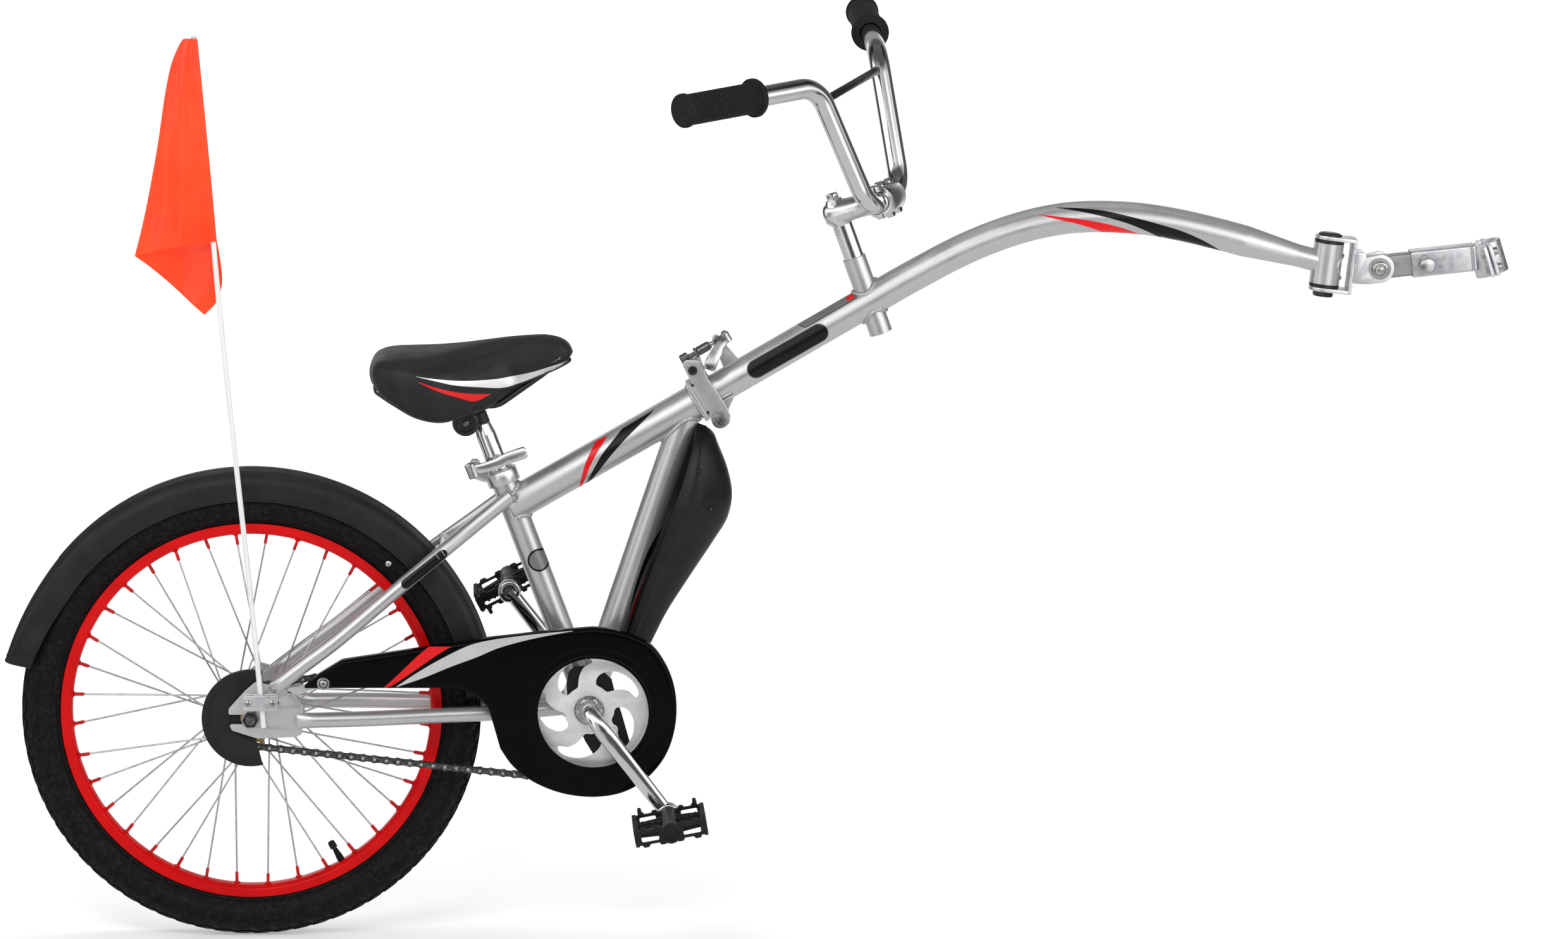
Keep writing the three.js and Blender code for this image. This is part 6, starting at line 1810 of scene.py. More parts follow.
def boom():
    # straight as far as the bar tube, then one arch
    straight = [P(BOOM_LINE[0]) + (P(BOOM_LINE[2]) - P(BOOM_LINE[0])) * k for k in np.linspace(0, 1, 40)]
    arch = smooth_line([P(p) for p in BOOM_LINE[1:]], 260)
    arch = [q for q in arch if q[0] > 712 and q[0] < 1171]
    line = np.array(straight + arch)
    radii = [boom_radius(p[0]) for p in line]
    g = Geo()
    n = 72
    t, u, w = frames(line, start=Y)
    a = np.linspace(0, 2 * math.pi, n, endpoint=False)
    rows = []
    for i, p in enumerate(line):
        rows.append(p + radii[i] * (np.cos(a)[:, None] * u[i] + np.sin(a)[:, None] * w[i]))
    g.add(clear_of(skin(rows), P(STEERER), steer_dir, 12.3), 0)
    # the knuckle that hangs on the fold bolt, between the cheeks
    kn = corners([flat2(H(*q)) for q in ((0.6, -20), (0.6, -12), (36, -12), (31, -17), (15.2, -28.4), (14.6, -32), (11, -35.4), (4, -35.4), (0.6, -31.5))], [1, 1, 1, 6, 3, 4, 4, 4, 2], 5)
    pin = circle(flat2(HPIN), 4.4, 40)
    for y0, y1 in ((-15, -10.5), (10.5, 15)):
        g.add(side_slab(kn, y0, y1, 0.7, [pin]), 0)
    g.add(revolve([(4.5, -15), (6.9, -15), (7.3, -14.6), (7.3, 14.6), (6.9, 15), (4.5, 15)], vec(HPIN[0], 0, HPIN[2]), Y, 60, loop=True), 0)
    # the lug that carries the latch
    lug = corners([flat2(H(*q)) for q in ((38, 13), (58, 13), (51.5, 49), (49, 52.5), (46, 52.5), (43, 50))], [1, 1, 4, 2, 2, 4], 5)
    g.add(side_slab(lug, 4.6, 9.5, 0.7, [circle(flat2(LPIN), 2.9, 28)]), 0)
    make("boom_tube_painted", g, silver, "boom", "frame_paint", "boom_tube")

    g = Geo()
    st = steer_at(-89.3)
    g.add(revolve([(BAR_TUBE_BORE, 0.5), (11.9, 0), (12.4, 0), (12.9, 0.5), (12.9, 88.8), (12.5, 89.3), (11.8, 89.3), (BAR_TUBE_BORE, 88.8)], st, steer_dir, 80, loop=True), 0)
    make("bar_tube_painted", g, silver, "boom", "frame_paint", "bar_tube")
    g = Geo()
    h = HEAD_LEN
    g.add(revolve([(10.6, 0.4), (11, 0), (16, 0), (16.5, 0.5), (16.5, h - 0.5), (16, h), (11, h), (10.6, h - 0.4)], head_at(-h / 2), head_dir, 96, loop=True), 0)
    make("head_tube_painted", g, silver, "boom", "frame_paint", "head_tube")

    g = Geo()
    # boom direction where the bar tube crosses
    bd = unit(P(BOOM_LINE[2]) - P(BOOM_LINE[1]))
    c0 = P(STEERER) - steer_dir * 45
    for sgn in (-1, 1):
        g.add(bead(weld_curve(c0, steer_dir, BAR_TUBE_R + 1.3, P(BOOM_LINE[1]), bd, BOOM_R + 0.3, sgn, 130), 2.0))
    tail = np.array([q for q in line if q[0] > 1150])
    td = unit(tail[-1] - tail[0])
    g.add(bead(weld_curve(tail[0], td, boom_radius(1160), P(HEAD), head_dir, HEAD_R, -1, 120), 1.8))
    g.add(bead([H(45 + k, 16.9, 9.6) for k in np.linspace(-5.5, 9, 12)], 1.2, closed=False))
    g.add(bead([H(45 + k, 17.2, 4.5) for k in np.linspace(-5.5, 9, 12)], 1.2, closed=False))
    for s in (-1, 1):
        g.add(bead([H(u, v, s * 15.2) for u, v in ((1.6, -8.6), (12, -8.8), (24, -8.9), (33, -9.2))], 1.5, closed=False))
    ring = [H(0.9, 0) + (BOOM_R - 0.3) * (math.cos(q) * tube_up + math.sin(q) * Y) for q in np.linspace(0, 2 * math.pi, 110, endpoint=False)]
    g.add(bead(ring, 1.3))
    make("boom_welds", g, silver_weld, "boom", "frame_paint")

    # the boom's own curved surface, for its stripes
    axis = np.array([q[[0, 2]] for q in line])
    ax3 = line
    rr = np.array(radii)
    tang = t

    def surf(q, lift, side=-1):
        d = axis - np.array(q[:2])
        i = int(np.argmin((d ** 2).sum(1)))
        i = min(max(i, 1), len(axis) - 2)
        tt = tang[i]
        up = vec(-tt[2], 0, tt[0])
        rel = vec(q[0], 0, q[1]) - ax3[i]
        s_, h_ = rel @ tt, rel @ up
        k = max(-1.0, min(1.0, h_ / rr[i]))
        ang = math.asin(k)
        return ax3[i] + tt * s_ + up * ((rr[i] + lift) * math.sin(ang)) + vec(0, side * (rr[i] + lift) * math.cos(ang), 0)

    zx, zy = 380 / 1568, 140 / 578  # the crop that the stripes were read from
    C = lambda x, y: px(1600 + x * zx, 290 + y * zy)
    g = Geo()
    stripe(g, 0, arcs([C(158, 191), C(330, 207), C(480, 226), C(620, 254), C(740, 290), C(850, 336)]), arcs([C(158, 191), C(280, 219), C(400, 246), C(520, 283), C(632, 325), C(850, 337)]), surf, cols=110)
    stripe(g, 1, arcs([C(282, 149), C(440, 152), C(600, 168), C(770, 205), C(940, 250), C(1110, 303), C(1260, 373), C(1388, 455)]), arcs([C(282, 150), C(440, 172), C(600, 206), C(740, 246), C(870, 300), C(980, 352), C(1180, 402), C(1388, 456)]), surf, cols=130)
    # plain pill-shaped plate on the boom
    a, b = pill(px(1181.5, 587.3), px(1307, 515.5), 21.3)
    stripe(g, 2, a, b, surf, cols=60, rows=8, lift=0.08)
    a, b = pill(px(1182.5, 586.7), px(1306, 516.1), 19.5)
    stripe(g, 1, a, b, surf, cols=60, rows=8)
    make("boom_stripes", g, [print_red, print_black, print_grey], "boom", "frame_paint")
    # slim panel high on the drive side of the tube, with a small red field at its front end
    g = Geo()
    foot = lambda x, y: float((P(px(x, y)) - line[0]) @ bd)
    rear, front = foot(1265, 515), foot(1351, 465)
    perp = vec(-bd[2], 0, bd[0])
    edge = lambda q0, q1, h: [(line[0] + bd * q + perp * h)[[0, 2]] for q in np.linspace(q0, q1, 30)]
    stripe(g, 2, edge(rear - 0.9, front + 0.6, 17.25), edge(rear + 4, front + 0.6, 11.2), surf, sides=(-1,), cols=44, rows=10, lift=0.08)
    stripe(g, 0, edge(rear, front, 17.15), edge(rear + 4.4, front, 11.8), surf, sides=(-1,), cols=44, rows=10, lift=0.15)
    stripe(g, 1, edge(front - 10, front - 1.5, 16.7), edge(front - 10, front - 1.5, 12.8), surf, sides=(-1,), cols=16, rows=6, lift=0.22)
    make("boom_top_panel", g, [print_grey, print_red, print_black], "boom", "frame_paint")
    return surf


boom_surface = boom()


def stay_badges():
    line = smooth_line([(x, -y, z) for x, y, z in SEAT_STAY], 200)
    t, _, _ = frames(line)
    axis = line[:, [0, 2]]

    def surf(q, lift, side=-1):
        i = int(np.argmin(((axis - np.array(q[:2])) ** 2).sum(1)))
        tt = t[i]
        flat_t = unit(vec(tt[0], 0, tt[2]))
        up = vec(-flat_t[2], 0, flat_t[0])
        out_ = np.cross(tt, up)
        if out_[1] > 0:
            out_ = -out_
        rel = vec(q[0], line[i][1], q[1]) - line[i]
        s_, h_ = rel @ flat_t, rel @ up
        k = max(-1.0, min(1.0, h_ / SEAT_STAY_R))
        ang = math.asin(k)
        p = line[i] + flat_t * s_ + up * ((SEAT_STAY_R + lift) * math.sin(ang)) + unit(out_) * (SEAT_STAY_R + lift) * math.cos(ang)
        if side > 0:
            p[1] = -p[1]
        return p

    a, b = pill(px(635, 927, -48), px(704, 873, -44), 10.5)
    g = Geo()
    stripe(g, 0, a, b, surf, cols=50, rows=8)
    make("stay_plates", g, [print_black], "rear_frame", "frame_paint")


stay_badges()


def latch():
    g = Geo()
    up, fw = tube_up, tube_dir
    g.add(thread(H(4, 46.5), H(24, 46.5), 2.7, 0.9, 24), 0)
    g.add(rod(H(22, 46.5), H(55, 46.5), 2.6, 24), 0)
    # ribbed nut behind the ear bar
    n, rows = 60, []
    for r, t in ((4.8, 2.0), (5.9, 2.5), (6.3, 3.4), (6.3, 10.2), (5.9, 11.2), (4.2, 11.6)):
        row = []
        for i in range(n):
            a = 2 * math.pi * i / n
            q = r * (1 if (i // 3) % 2 else (0.93 if 2.2 < t < 11 else 1))
            row.append(H(t, 46.5) + q * (math.cos(a) * Y + math.sin(a) * up))
        rows.append(np.array(row))
    g.add(skin(rows), 1)
    # washer, sleeve and lock collar
    g.add(revolve([(2.7, 19.6), (5.6, 19.6), (5.9, 20.2), (5.9, 21.6), (5.4, 22.2), (2.7, 22.2)], H(0, 46.5), fw, 48, loop=True), 2)
    g.add(revolve([(2.7, 22.6), (4.7, 22.6), (5.2, 23.2), (5.2, 36.2), (4.7, 36.9), (4.2, 37.1), (4.2, 38.8), (2.7, 39)], H(0, 46.5), fw, 48, loop=True), 2)
    # eye round the pivot, the pivot pin and its heads
    g.add(revolve([(2.7, -4.2), (4.6, -4.2), (5.1, -3.7), (5.1, 3.7), (4.6, 4.2), (2.7, 4.2)], vec(LPIN[0], 0, LPIN[2]), Y, 48, loop=True), 0)
    g.add(rod(vec(LPIN[0], -5.9, LPIN[2]), vec(LPIN[0], 9.4, LPIN[2]), 2.6, 28, 0.5), 2)
    g.add(revolve([(2.4, -4.3), (4.2, -4.3), (4.4, -4.7), (4.0, -5.7), (2.9, -6.0), (0, -6.0)], vec(LPIN[0], 0, LPIN[2]), Y, 36), 2)
    # cam head
    head = corners([flat2(H(u, v)) for u, v in ((54.3, 42.4), (56.5, 41.5), (60.4, 41.5), (62, 43.2), (62, 49.8), (60.4, 51.5), (56.5, 51.5), (54.3, 50.6))], 1.2, 4)
    g.add(side_slab(head, -7.0, 4.2, 0.9), 0)
    # barrel nut standing out of the head
    g.add(revolve([(0, -5.6), (2.4, -5.6), (2.9, -5.0), (2.9, 5.6), (2.3, 6.3), (0, 6.5)], H(58, 46.5, -1.5), up, 30), 2)
    make("latch_swing_bolt", g, [bolt_zinc, dark_steel, grey_steel], "latch", "zinc", "swing_bolt")

    g = Geo()
    pin = H(58, 46.5, -12.6)
    g.add(revolve([(0, -5.7), (4.6, -5.7), (5.2, -5.0), (5.2, 5.0), (4.6, 5.7), (2.6, 5.7), (2.3, 5.2), (0, 5.2)], pin, up, 48), 0)
    pts = [(58, 46.5, -15.5, 5), (53, 45, -18.6, 5.2), (48, 43, -21, 5.5), (42, 39.6, -24.2, 6.0), (36, 36, -26.5, 6.5), (30, 31.6, -28.0, 7.1), (24.5, 27, -28.5, 7.5)]
    line = smooth_line([H(u, v, y) for u, v, y, _ in pts], 70)
    up0 = unit(tube_up * 0.8 - tube_dir * 0.6)
    rows = []
    for i, p in enumerate(line):
        k = i / 69
        t = unit(line[min(i + 1, 69)] - line[max(i - 1, 0)])
        a_ = unit(up0 - t * (up0 @ t))
        o_ = np.cross(t, a_)
        if o_[1] > 0:
            o_ = -o_
        hw = float(np.interp(k, [0, 0.2, 0.4, 0.7, 1], [5, 5.3, 5.8, 6.9, 7.5]))
        if k > 0.94:
            hw *= math.sqrt(max(0.12, 1 - ((k - 0.94) / 0.0605) ** 2 * 0.6))
        if k < 0.04:
            hw *= 0.7 + 0.3 * k / 0.04
        row = []
        # a facetted, slightly dished blade
        for fx, fy in ((-1, -0.7), (-0.96, 0.5), (-0.8, 1.2), (-0.3, 1.75), (0.3, 1.75), (0.8, 1.2), (0.96, 0.5), (1, -0.7), (0.85, -1.4), (0.3, -0.9), (-0.3, -0.9), (-0.85, -1.4)):
            step = 0.35 * math.sin(k * 3 * math.pi) if abs(fx) < 0.9 else 0
            row.append(p + a_ * fx * hw + o_ * (fy + step))
        rows.append(np.array(row))
    g.add(skin(rows), 1)
    make("latch_cam_lever", g, [bolt_zinc, lever_alloy], "latch_cam", "alloy", "cam_lever", angle=28)


latch()

# ---------------------------------------------------------------- hitch
HITCH_PIN = K(51, -1)


def hitch():
    g = Geo()
    h = HEAD_LEN / 2
    # kingpin: threaded stud, domed cap, locknut and the two dark bushings
    g.add(rod(head_at(-36.5), head_at(31.5), 7.9, 48), 0)
    g.add(revolve([(0, 34.5), (6, 34.4), (10.5, 33.7), (12.6, 32.6), (13, 31.7), (12.9, 31.0), (7.5, 31.0)], P(HEAD), head_dir, 64), 0)
    g.add(nut(head_at(-31.0), -head_dir, 21, 5.8, e=1.0), 0)
    for s in (1, -1):
        g.add(revolve([(8.1, s * 23.0), (15.9, s * 23.0), (16.5, s * 23.3), (16.5, s * 25.6), (15.9, s * 26), (8.1, s * 26)], P(HEAD), head_dir, 80, loop=True), 0)
    make("kingpin_and_bushings", g, [black_enamel], "swivel", "dark_steel", "kingpin")

    g = Geo()
    # the yoke: one plate bent to a U round the head tube, then two cheeks for the pitch bolt
    def ring_tab(t0, t1):
        # the round end first, then the square one
        arc = [(16.2 * math.cos(a), 16.2 * math.sin(a)) for a in np.linspace(math.pi / 2, 3 * math.pi / 2, 34)]
        out = arc + [(24.8, -15.9), (28.4, -14.8), (29.3, -12.6), (29.3, 12.6), (28.4, 14.8), (24.8, 15.9)]
        o0 = head_at((t0 + t1) / 2)
        return slab(out, t1 - t0, 0.7, [circle((0, 0), 8.3, 48)], (o0, head_fwd, Y))
    g.add(ring_tab(26.3, 30.8), 0)
    g.add(ring_tab(-30.8, -26.3), 0)
    # web with rounded bends
    outl = [(24.8, -26), (24.8, 26), (24.8, 30.7), (26.4, 30.7), (28.6, 29.6), (29.4, 27.2), (29.4, -27.2), (28.6, -29.6), (26.4, -30.7), (24.8, -30.7)]
    pts = [flat2(head_at(t, f)) for f, t in outl]
    g.add(side_slab(pts, -15.6, 15.6, 0.8), 0)
    arc = [(PITCH_PIN[0] + 16 * math.cos(a), PITCH_PIN[1] + 16 * math.sin(a)) for a in np.linspace(rad(86), rad(-92), 40)]
    cheek = corners([(1209.5, 721.8), (1209.5, 757.2), (1226, 755.6)], [0, 2.5, 4], 4) + arc + [(1226, 720.9)]
    for y0, y1 in ((-15.8, -11.9), (11.9, 15.8)):
        g.add(side_slab(cheek, y0, y1, 0.8, [circle(PITCH_PIN, 6.2, 40)]), 0)
    # bridge plate between the cheeks, and welds to the web
    g.add(brick((1213.4, 0, 739.6), (X, Y, Z), (1.9, 12.2, 16.4), 0.6), 0)
    for s in (-1, 1):
        w = [head_at(t, 30.0, s * 15.4) for t in np.linspace(-16.5, 16.5, 20)]
        g.add(bead(w, 1.5, closed=False), 1)
    make("yoke_plates", g, [zinc, silver_weld], "swivel", "zinc", "yoke")

    g = Geo()
    c = P(PITCH_PIN)
    g.add(rod(c - Y * 18.8, c + Y * 19, 5.9, 40), 0)
    for s in (-1, 1):
        d = Y * s
        at = lambda y: c + Y * s * y
        g.add(revolve([(6, 0), (11.6, 0), (12, 0.4), (12, 1.8), (11.6, 2.2), (10.6, 2.2), (10.2, 1.8), (6, 1.8)], at(16.0), d, 72, loop=True), 1)
        if s < 0:
            # flanged cap with a recessed, domed bolt head
            g.add(revolve([(5.6, 0), (8.9, 0), (9.2, 0.4), (9.2, 3.2), (8.6, 4.4), (7.6, 5.2), (6.4, 5.4), (5.6, 4.6), (5.2, 3.6), (0, 3.4)], at(18.0), d, 64), 0)
            g.add(revolve([(0, 5.4), (2.4, 5.2), (3.6, 4.4), (4.0, 3.4)], at(18.0), d, 40), 0)
        else:
            g.add(nut(at(18.0), d, 16.4, 5.6, e=0.9), 0)
            g.add(revolve([(0, 6.2), (3.6, 6.2), (4.2, 5.4)], at(18.0), d, 32), 0)
    make("pitch_bolt_set", g, [bolt_zinc, lever_alloy], "swivel", "zinc", "pitch_bolt")

    # tongue: a bored eye welded to a rectangular bar
    g = Geo()
    n = 40
    eye = [(12.3 * math.cos(a), 12.3 * math.sin(a)) for a in np.linspace(rad(90), rad(270), n)]
    out = eye + [(87.4, -12.3), (88, -11.7), (88, 11.7), (87.4, 12.3)]
    pts = [flat2(K(f, t)) for f, t in out]
    g.add(side_slab(pts, -11, 11, 1.6, [circle(PITCH_PIN, 6.2, 44), circle(HITCH_PIN[[0, 2]], 5.2, 36)], res=3), 0)
    for s in (-1, 1):
        g.add(revolve([(6.3, 0), (10.4, 0), (10.8, 0.3), (10.8, 0.7), (6.3, 0.7)], c + Y * s * 10.9, Y * s, 56, loop=True), 1)
    make("tongue_bar", g, [tongue_zinc, bolt_zinc], "hitch", "zinc", "tongue")

    # coupler: square tube with its pin slot, welded to half a post clamp
    g = Geo()
    outer = corners([(-14.6, -14), (14.6, -14), (14.6, 14), (-14.6, 14)], 3.0, 5)
    inner_ = corners([(-12.7, -11.5), (12.7, -11.5), (12.7, 11.5), (-12.7, 11.5)], 1.4, 5)
    n = len(outer)
    rows = []
    for ring, f in ((inner_, 96), (inner_, 36.4), ([(a * 0.985, b * 0.985) for a, b in inner_], 36), ([(a * 0.98, b * 0.98) for a, b in outer], 36), (outer, 36.5), (outer, 106.5)):
        rows.append(np.array([K(f, t, y) for t, y in ring]))
    tube_part = skin(rows, caps=False)
    tv, tf = tube_part
    g.add((tv, tf), 0)
    g.add((rows[-1], [tuple(range(n))]), 0)
    g.add((rows[0], [tuple(range(n))[::-1]]), 0)
    # slot plate on the drive side: a raised lip round the slot
    slot = corners([(43, -3.6), (59, -3.6), (59, 3.6), (43, 3.6)], 1.8, 5)
    hole = corners([(44.4, -2.4), (57.6, -2.4), (57.6, 2.4), (44.4, 2.4)], 1.2, 5)
    v, f = slab(slot, 0.9, 0.25, [hole], (K(0, 0, -14.2), hitch_dir, hitch_up))
    g.add((v, f), 1)
    # a thin dark plate fills the opening: painted shade for the depth of the slot
    v, f = slab(hole, 0.5, 0.1, [], (K(0, 0, -14.1), hitch_dir, hitch_up))
    g.add((v, f), 2)
    # guide arc above the slot
    arc = [K(50.5 + 6.2 * math.cos(a), 4.2 + 5.6 * math.sin(a), -14.3) for a in np.linspace(0.1, math.pi - 0.1, 26)]
    g.add(tube(np.array(arc), 0.7, 10), 1)
    half_clamp(g, -1)
    for s in (-1, 1):
        g.add(bead([K(103.0 - 0.2 * abs(t) / 10, t, s * 14.3) for t in np.linspace(-13.5, 13.5, 18)], 1.8, closed=False), 3)
    make("coupler_tube_and_clamp", g, [zinc, bolt_zinc, dark_steel, silver_weld], "hitch", "zinc", "coupler")

    g = Geo()
    half_clamp(g, 1)
    for s in (-1, 1):
        for t in (-9, 9):
            hole_bolt(g, clamp_at(t, 5.6, s * 25), clamp_fwd, 4.4, 1, 2.6, 4.6, 4.2)
            g.add(revolve([(2.6, 0), (5.4, 0), (5.6, 0.3), (5.6, 0.8), (2.6, 0.9)], clamp_at(t, 4.9, s * 25), clamp_fwd, 36, loop=True), 1)
    make("post_clamp_cap", g, [zinc, bolt_zinc], "hitch", "zinc", "post_cap")

    g = Geo()
    q = P(flat2(HITCH_PIN))
    g.add(revolve([(0, -24), (4.8, -24), (4.8, 16), (4.4, 18.2), (3.0, 19), (0, 19)], q, Y, 44), 0)
    g.add(revolve([(0, -29), (6.9, -29), (8.1, -28.4), (8.5, -27.2), (8.5, -24.6), (7.9, -23.7), (4.8, -23.5)], q, Y, 60), 1)
    # spring clip through the far end
    ring = [q + vec(3.2 * math.cos(a) * 1.0, 16.4, 0) + vec(0, 0, 5.6 * math.sin(a)) for a in np.linspace(0, 2 * math.pi, 48, endpoint=False)]
    g.add(tube(ring, 0.75, 10, closed=True), 0)
    make("coupler_pin_round", g, [bolt_zinc, lever_alloy], "coupler_pin", "zinc", "hitch_pin")


def half_clamp(g, side):
    """One half of the post clamp. side is -1 for the half on the coupler."""
    R, B, H2 = 18.4, POST_CLAMP_BORE, 18
    n = 48
    a0 = math.asin(0.6 / R)
    base = 0 if side > 0 else math.pi
    angs = np.linspace(-math.pi / 2 + a0, math.pi / 2 - a0, n) + base
    out = [(R * math.cos(a), R * math.sin(a)) for a in angs]
    inn = [(B * math.cos(a), B * math.sin(a)) for a in angs[::-1]]
    prof = out + inn
    # body of the ring half, extruded along the post
    v, f = slab(prof, 2 * H2, 0.6, [], (clamp_at(0), clamp_fwd, Y))
    g.add((v, f), 0)
    for s in (-1, 1):
        f0, f1 = (0.6, 5) if side > 0 else (-5, -0.6)
        y0, y1 = sorted((s * 15.6, s * 31))
        ear = corners([(f0, y0), (f1, y0), (f1, y1), (f0, y1)], [0.4, 2, 1.6, 0.4] if (side > 0) == (s > 0) else 1.0, 4)
        v, f = slab(ear, 2 * H2 - 1, 0.7, [], (clamp_at(0), clamp_fwd, Y))
        g.add((v, f), 0)
        if side < 0:
            for t in (-9, 9):
                g.add(nut(clamp_at(t, -5.0, s * 25), -clamp_fwd, 8.0, 3.6), 1)


hitch()


# ---------------------------------------------------------------- stem and handlebar
def turn_bar(v):
    return turn(vec(*v), steer_dir, BAR_TURN)


bar_fwd0 = turn_bar((math.cos(rad(BAR_ROLL)), 0, math.sin(rad(BAR_ROLL))))
bar_side = turn(turn_bar((0, 1, 0)), bar_fwd0, BAR_DIP)
bar_up = turn(turn_bar((-math.sin(rad(BAR_ROLL)), 0, math.cos(rad(BAR_ROLL)))), bar_fwd0, BAR_DIP)
BAR_C = steer_at(72.8) + turn_bar((61.8, 0, 0))


def bar_at(s, h, b):
    return BAR_C + bar_side * s + bar_up * h - bar_fwd0 * b


def stem():
    g = Geo()
    root = steer_at(52)
    fwd = unit(BAR_C - root)
    fwd_len = float(np.linalg.norm(BAR_C - root))
    side = bar_side
    up = unit(np.cross(fwd, side))
    # quill with its insertion slot, the boss on top and the forged body, waisted towards the clamp
    g.add(revolve([(0, -62), (10.6, -62), (11.1, -61.5), (11.1, 47), (0, 47)], P(STEERER), steer_dir, 64), 1)
    for k in (30, 33, 36):
        g.add(revolve([(10.9, k - 0.25), (11.2, k - 0.12), (11.2, k + 0.12), (10.9, k + 0.25)], P(STEERER), steer_dir, 64, loop=True), 2)
    g.add(revolve([(11.1, 38), (11.6, 39.5), (13.2, 42.5), (14.0, 46), (13.2, 58), (11.2, 63.5), (9.6, 66), (9.2, 67.2), (0, 67.4)], P(STEERER), steer_dir, 64), 0)
    g.add(revolve([(0, 65.2), (8.6, 65.2), (9.0, 65.7), (9.0, 66.6), (8.5, 67.1), (0, 67.1)], P(STEERER), steer_dir, 48), 1)
    # hex-headed expander bolt with a slightly domed top
    g.add(nut(steer_at(66.8), steer_dir, 13.2, 7.2, e=1.0), 1)
    g.add(revolve([(0, 7.9), (3.0, 7.8), (5.0, 7.3), (5.6, 6.9)], steer_at(66.8), steer_dir, 36), 1)
    rows, n = [], 48
    for k, (rx, ry) in ((-15.5, (4.5, 5)), (-15, (7.2, 8)), (-13.4, (10.4, 10.9)), (-10.5, (12.9, 13)), (-6, (14.2, 14.2)), (0, (14.4, 14.4)), (12, (13.8, 13.2)), (26, (13.2, 12.2)), (fwd_len - 17.5, (13.6, 12.8)), (fwd_len - 13.5, (15.4, 14.4)), (fwd_len - 8, (17.5, 15.6))):
        row = []
        for i in range(n):
            a = 2 * math.pi * i / n
            ca, sa = math.cos(a), math.sin(a)
            row.append(root + fwd * k + side * (rx * math.copysign(abs(ca) ** 0.88, ca)) + up * (ry * math.copysign(abs(sa) ** 0.88, sa)))
        rows.append(np.array(row))
    g.add(skin(rows), 0)
    # rear half of the bar clamp: a C section, cut off flat just behind the faceplate
    g.add(half_ring(fwd, up, side, 18.0, 11.7, 19.5, (math.pi / 2 + 0.06, 3 * math.pi / 2 - 0.06), BAR_C), 0)
    for s in (-1, 1):
        for k in (-1, 1):
            g.add(rod(BAR_C + side * (s * 11) + up * (k * 15.4) - fwd * 10, BAR_C + side * (s * 11) + up * (k * 15.4) - fwd * 1.2, 3.6, 28, 0.4), 0)
    make("stem_body", g, [alloy, chrome, dark_steel], "stem", "alloy", "quill_stem")

    g = Geo()
    g.add(half_ring(fwd, up, side, 18.0, 11.7, 19.5, (-math.pi / 2 + 0.09, math.pi / 2 - 0.09), BAR_C), 0)
    # raised centre panel of the faceplate, and its bolts in counterbored ears
    for s in (-1, 1):
        for k in (-1, 1):
            c = BAR_C + side * (s * 11) + up * (k * 15.4)
            g.add(revolve([(2.4, 1.9), (4.4, 1.9), (4.7, 2.3), (4.7, 9.2), (4.3, 9.8), (3.5, 9.8), (3.4, 7.6), (2.4, 7.6)], c, fwd, 36, loop=True), 0)
            hole_bolt(g, c + fwd * 6.4, fwd, 3.1, 1, 2.0, 3.2, 2.7)
    make("stem_face", g, [alloy, black_enamel], "stem", "alloy", "stem_faceplate")

    # expander plug below the quill, with its slanting face
    g = Geo()
    g.add(revolve([(0, -88), (9.6, -88), (10.9, -86.8), (10.9, -63), (10.4, -62.4), (0, -62.4)], P(STEERER), steer_dir, 56), 0)
    g.add(revolve([(0, -90.2), (3.6, -90.2), (4.0, -89.6), (4.0, -87.5), (0, -87.5)], P(STEERER), steer_dir, 32), 1)
    make("expander_wedge", g, [zinc, bolt_zinc], "expander", "zinc", "expander_plug")


def half_ring(fwd, up, side, r, bore, half, span, c):
    """Part of a thick ring round the bar, with rounded edges. span is in radians from fwd towards up."""
    e = 1.2
    prof = [(bore, -half + 0.4), (bore + 0.4, -half), (r - e, -half), (r - e * 0.3, -half + e * 0.3), (r, -half + e), (r, half - e), (r - e * 0.3, half - e * 0.3), (r - e, half), (bore + 0.4, half), (bore, half - 0.4)]
    rows = []
    for a in np.linspace(span[0], span[1], 46):
        d = fwd * math.cos(a) + up * math.sin(a)
        rows.append(np.array([c + d * q + side * h for q, h in prof]))
    return skin(rows)


stem()


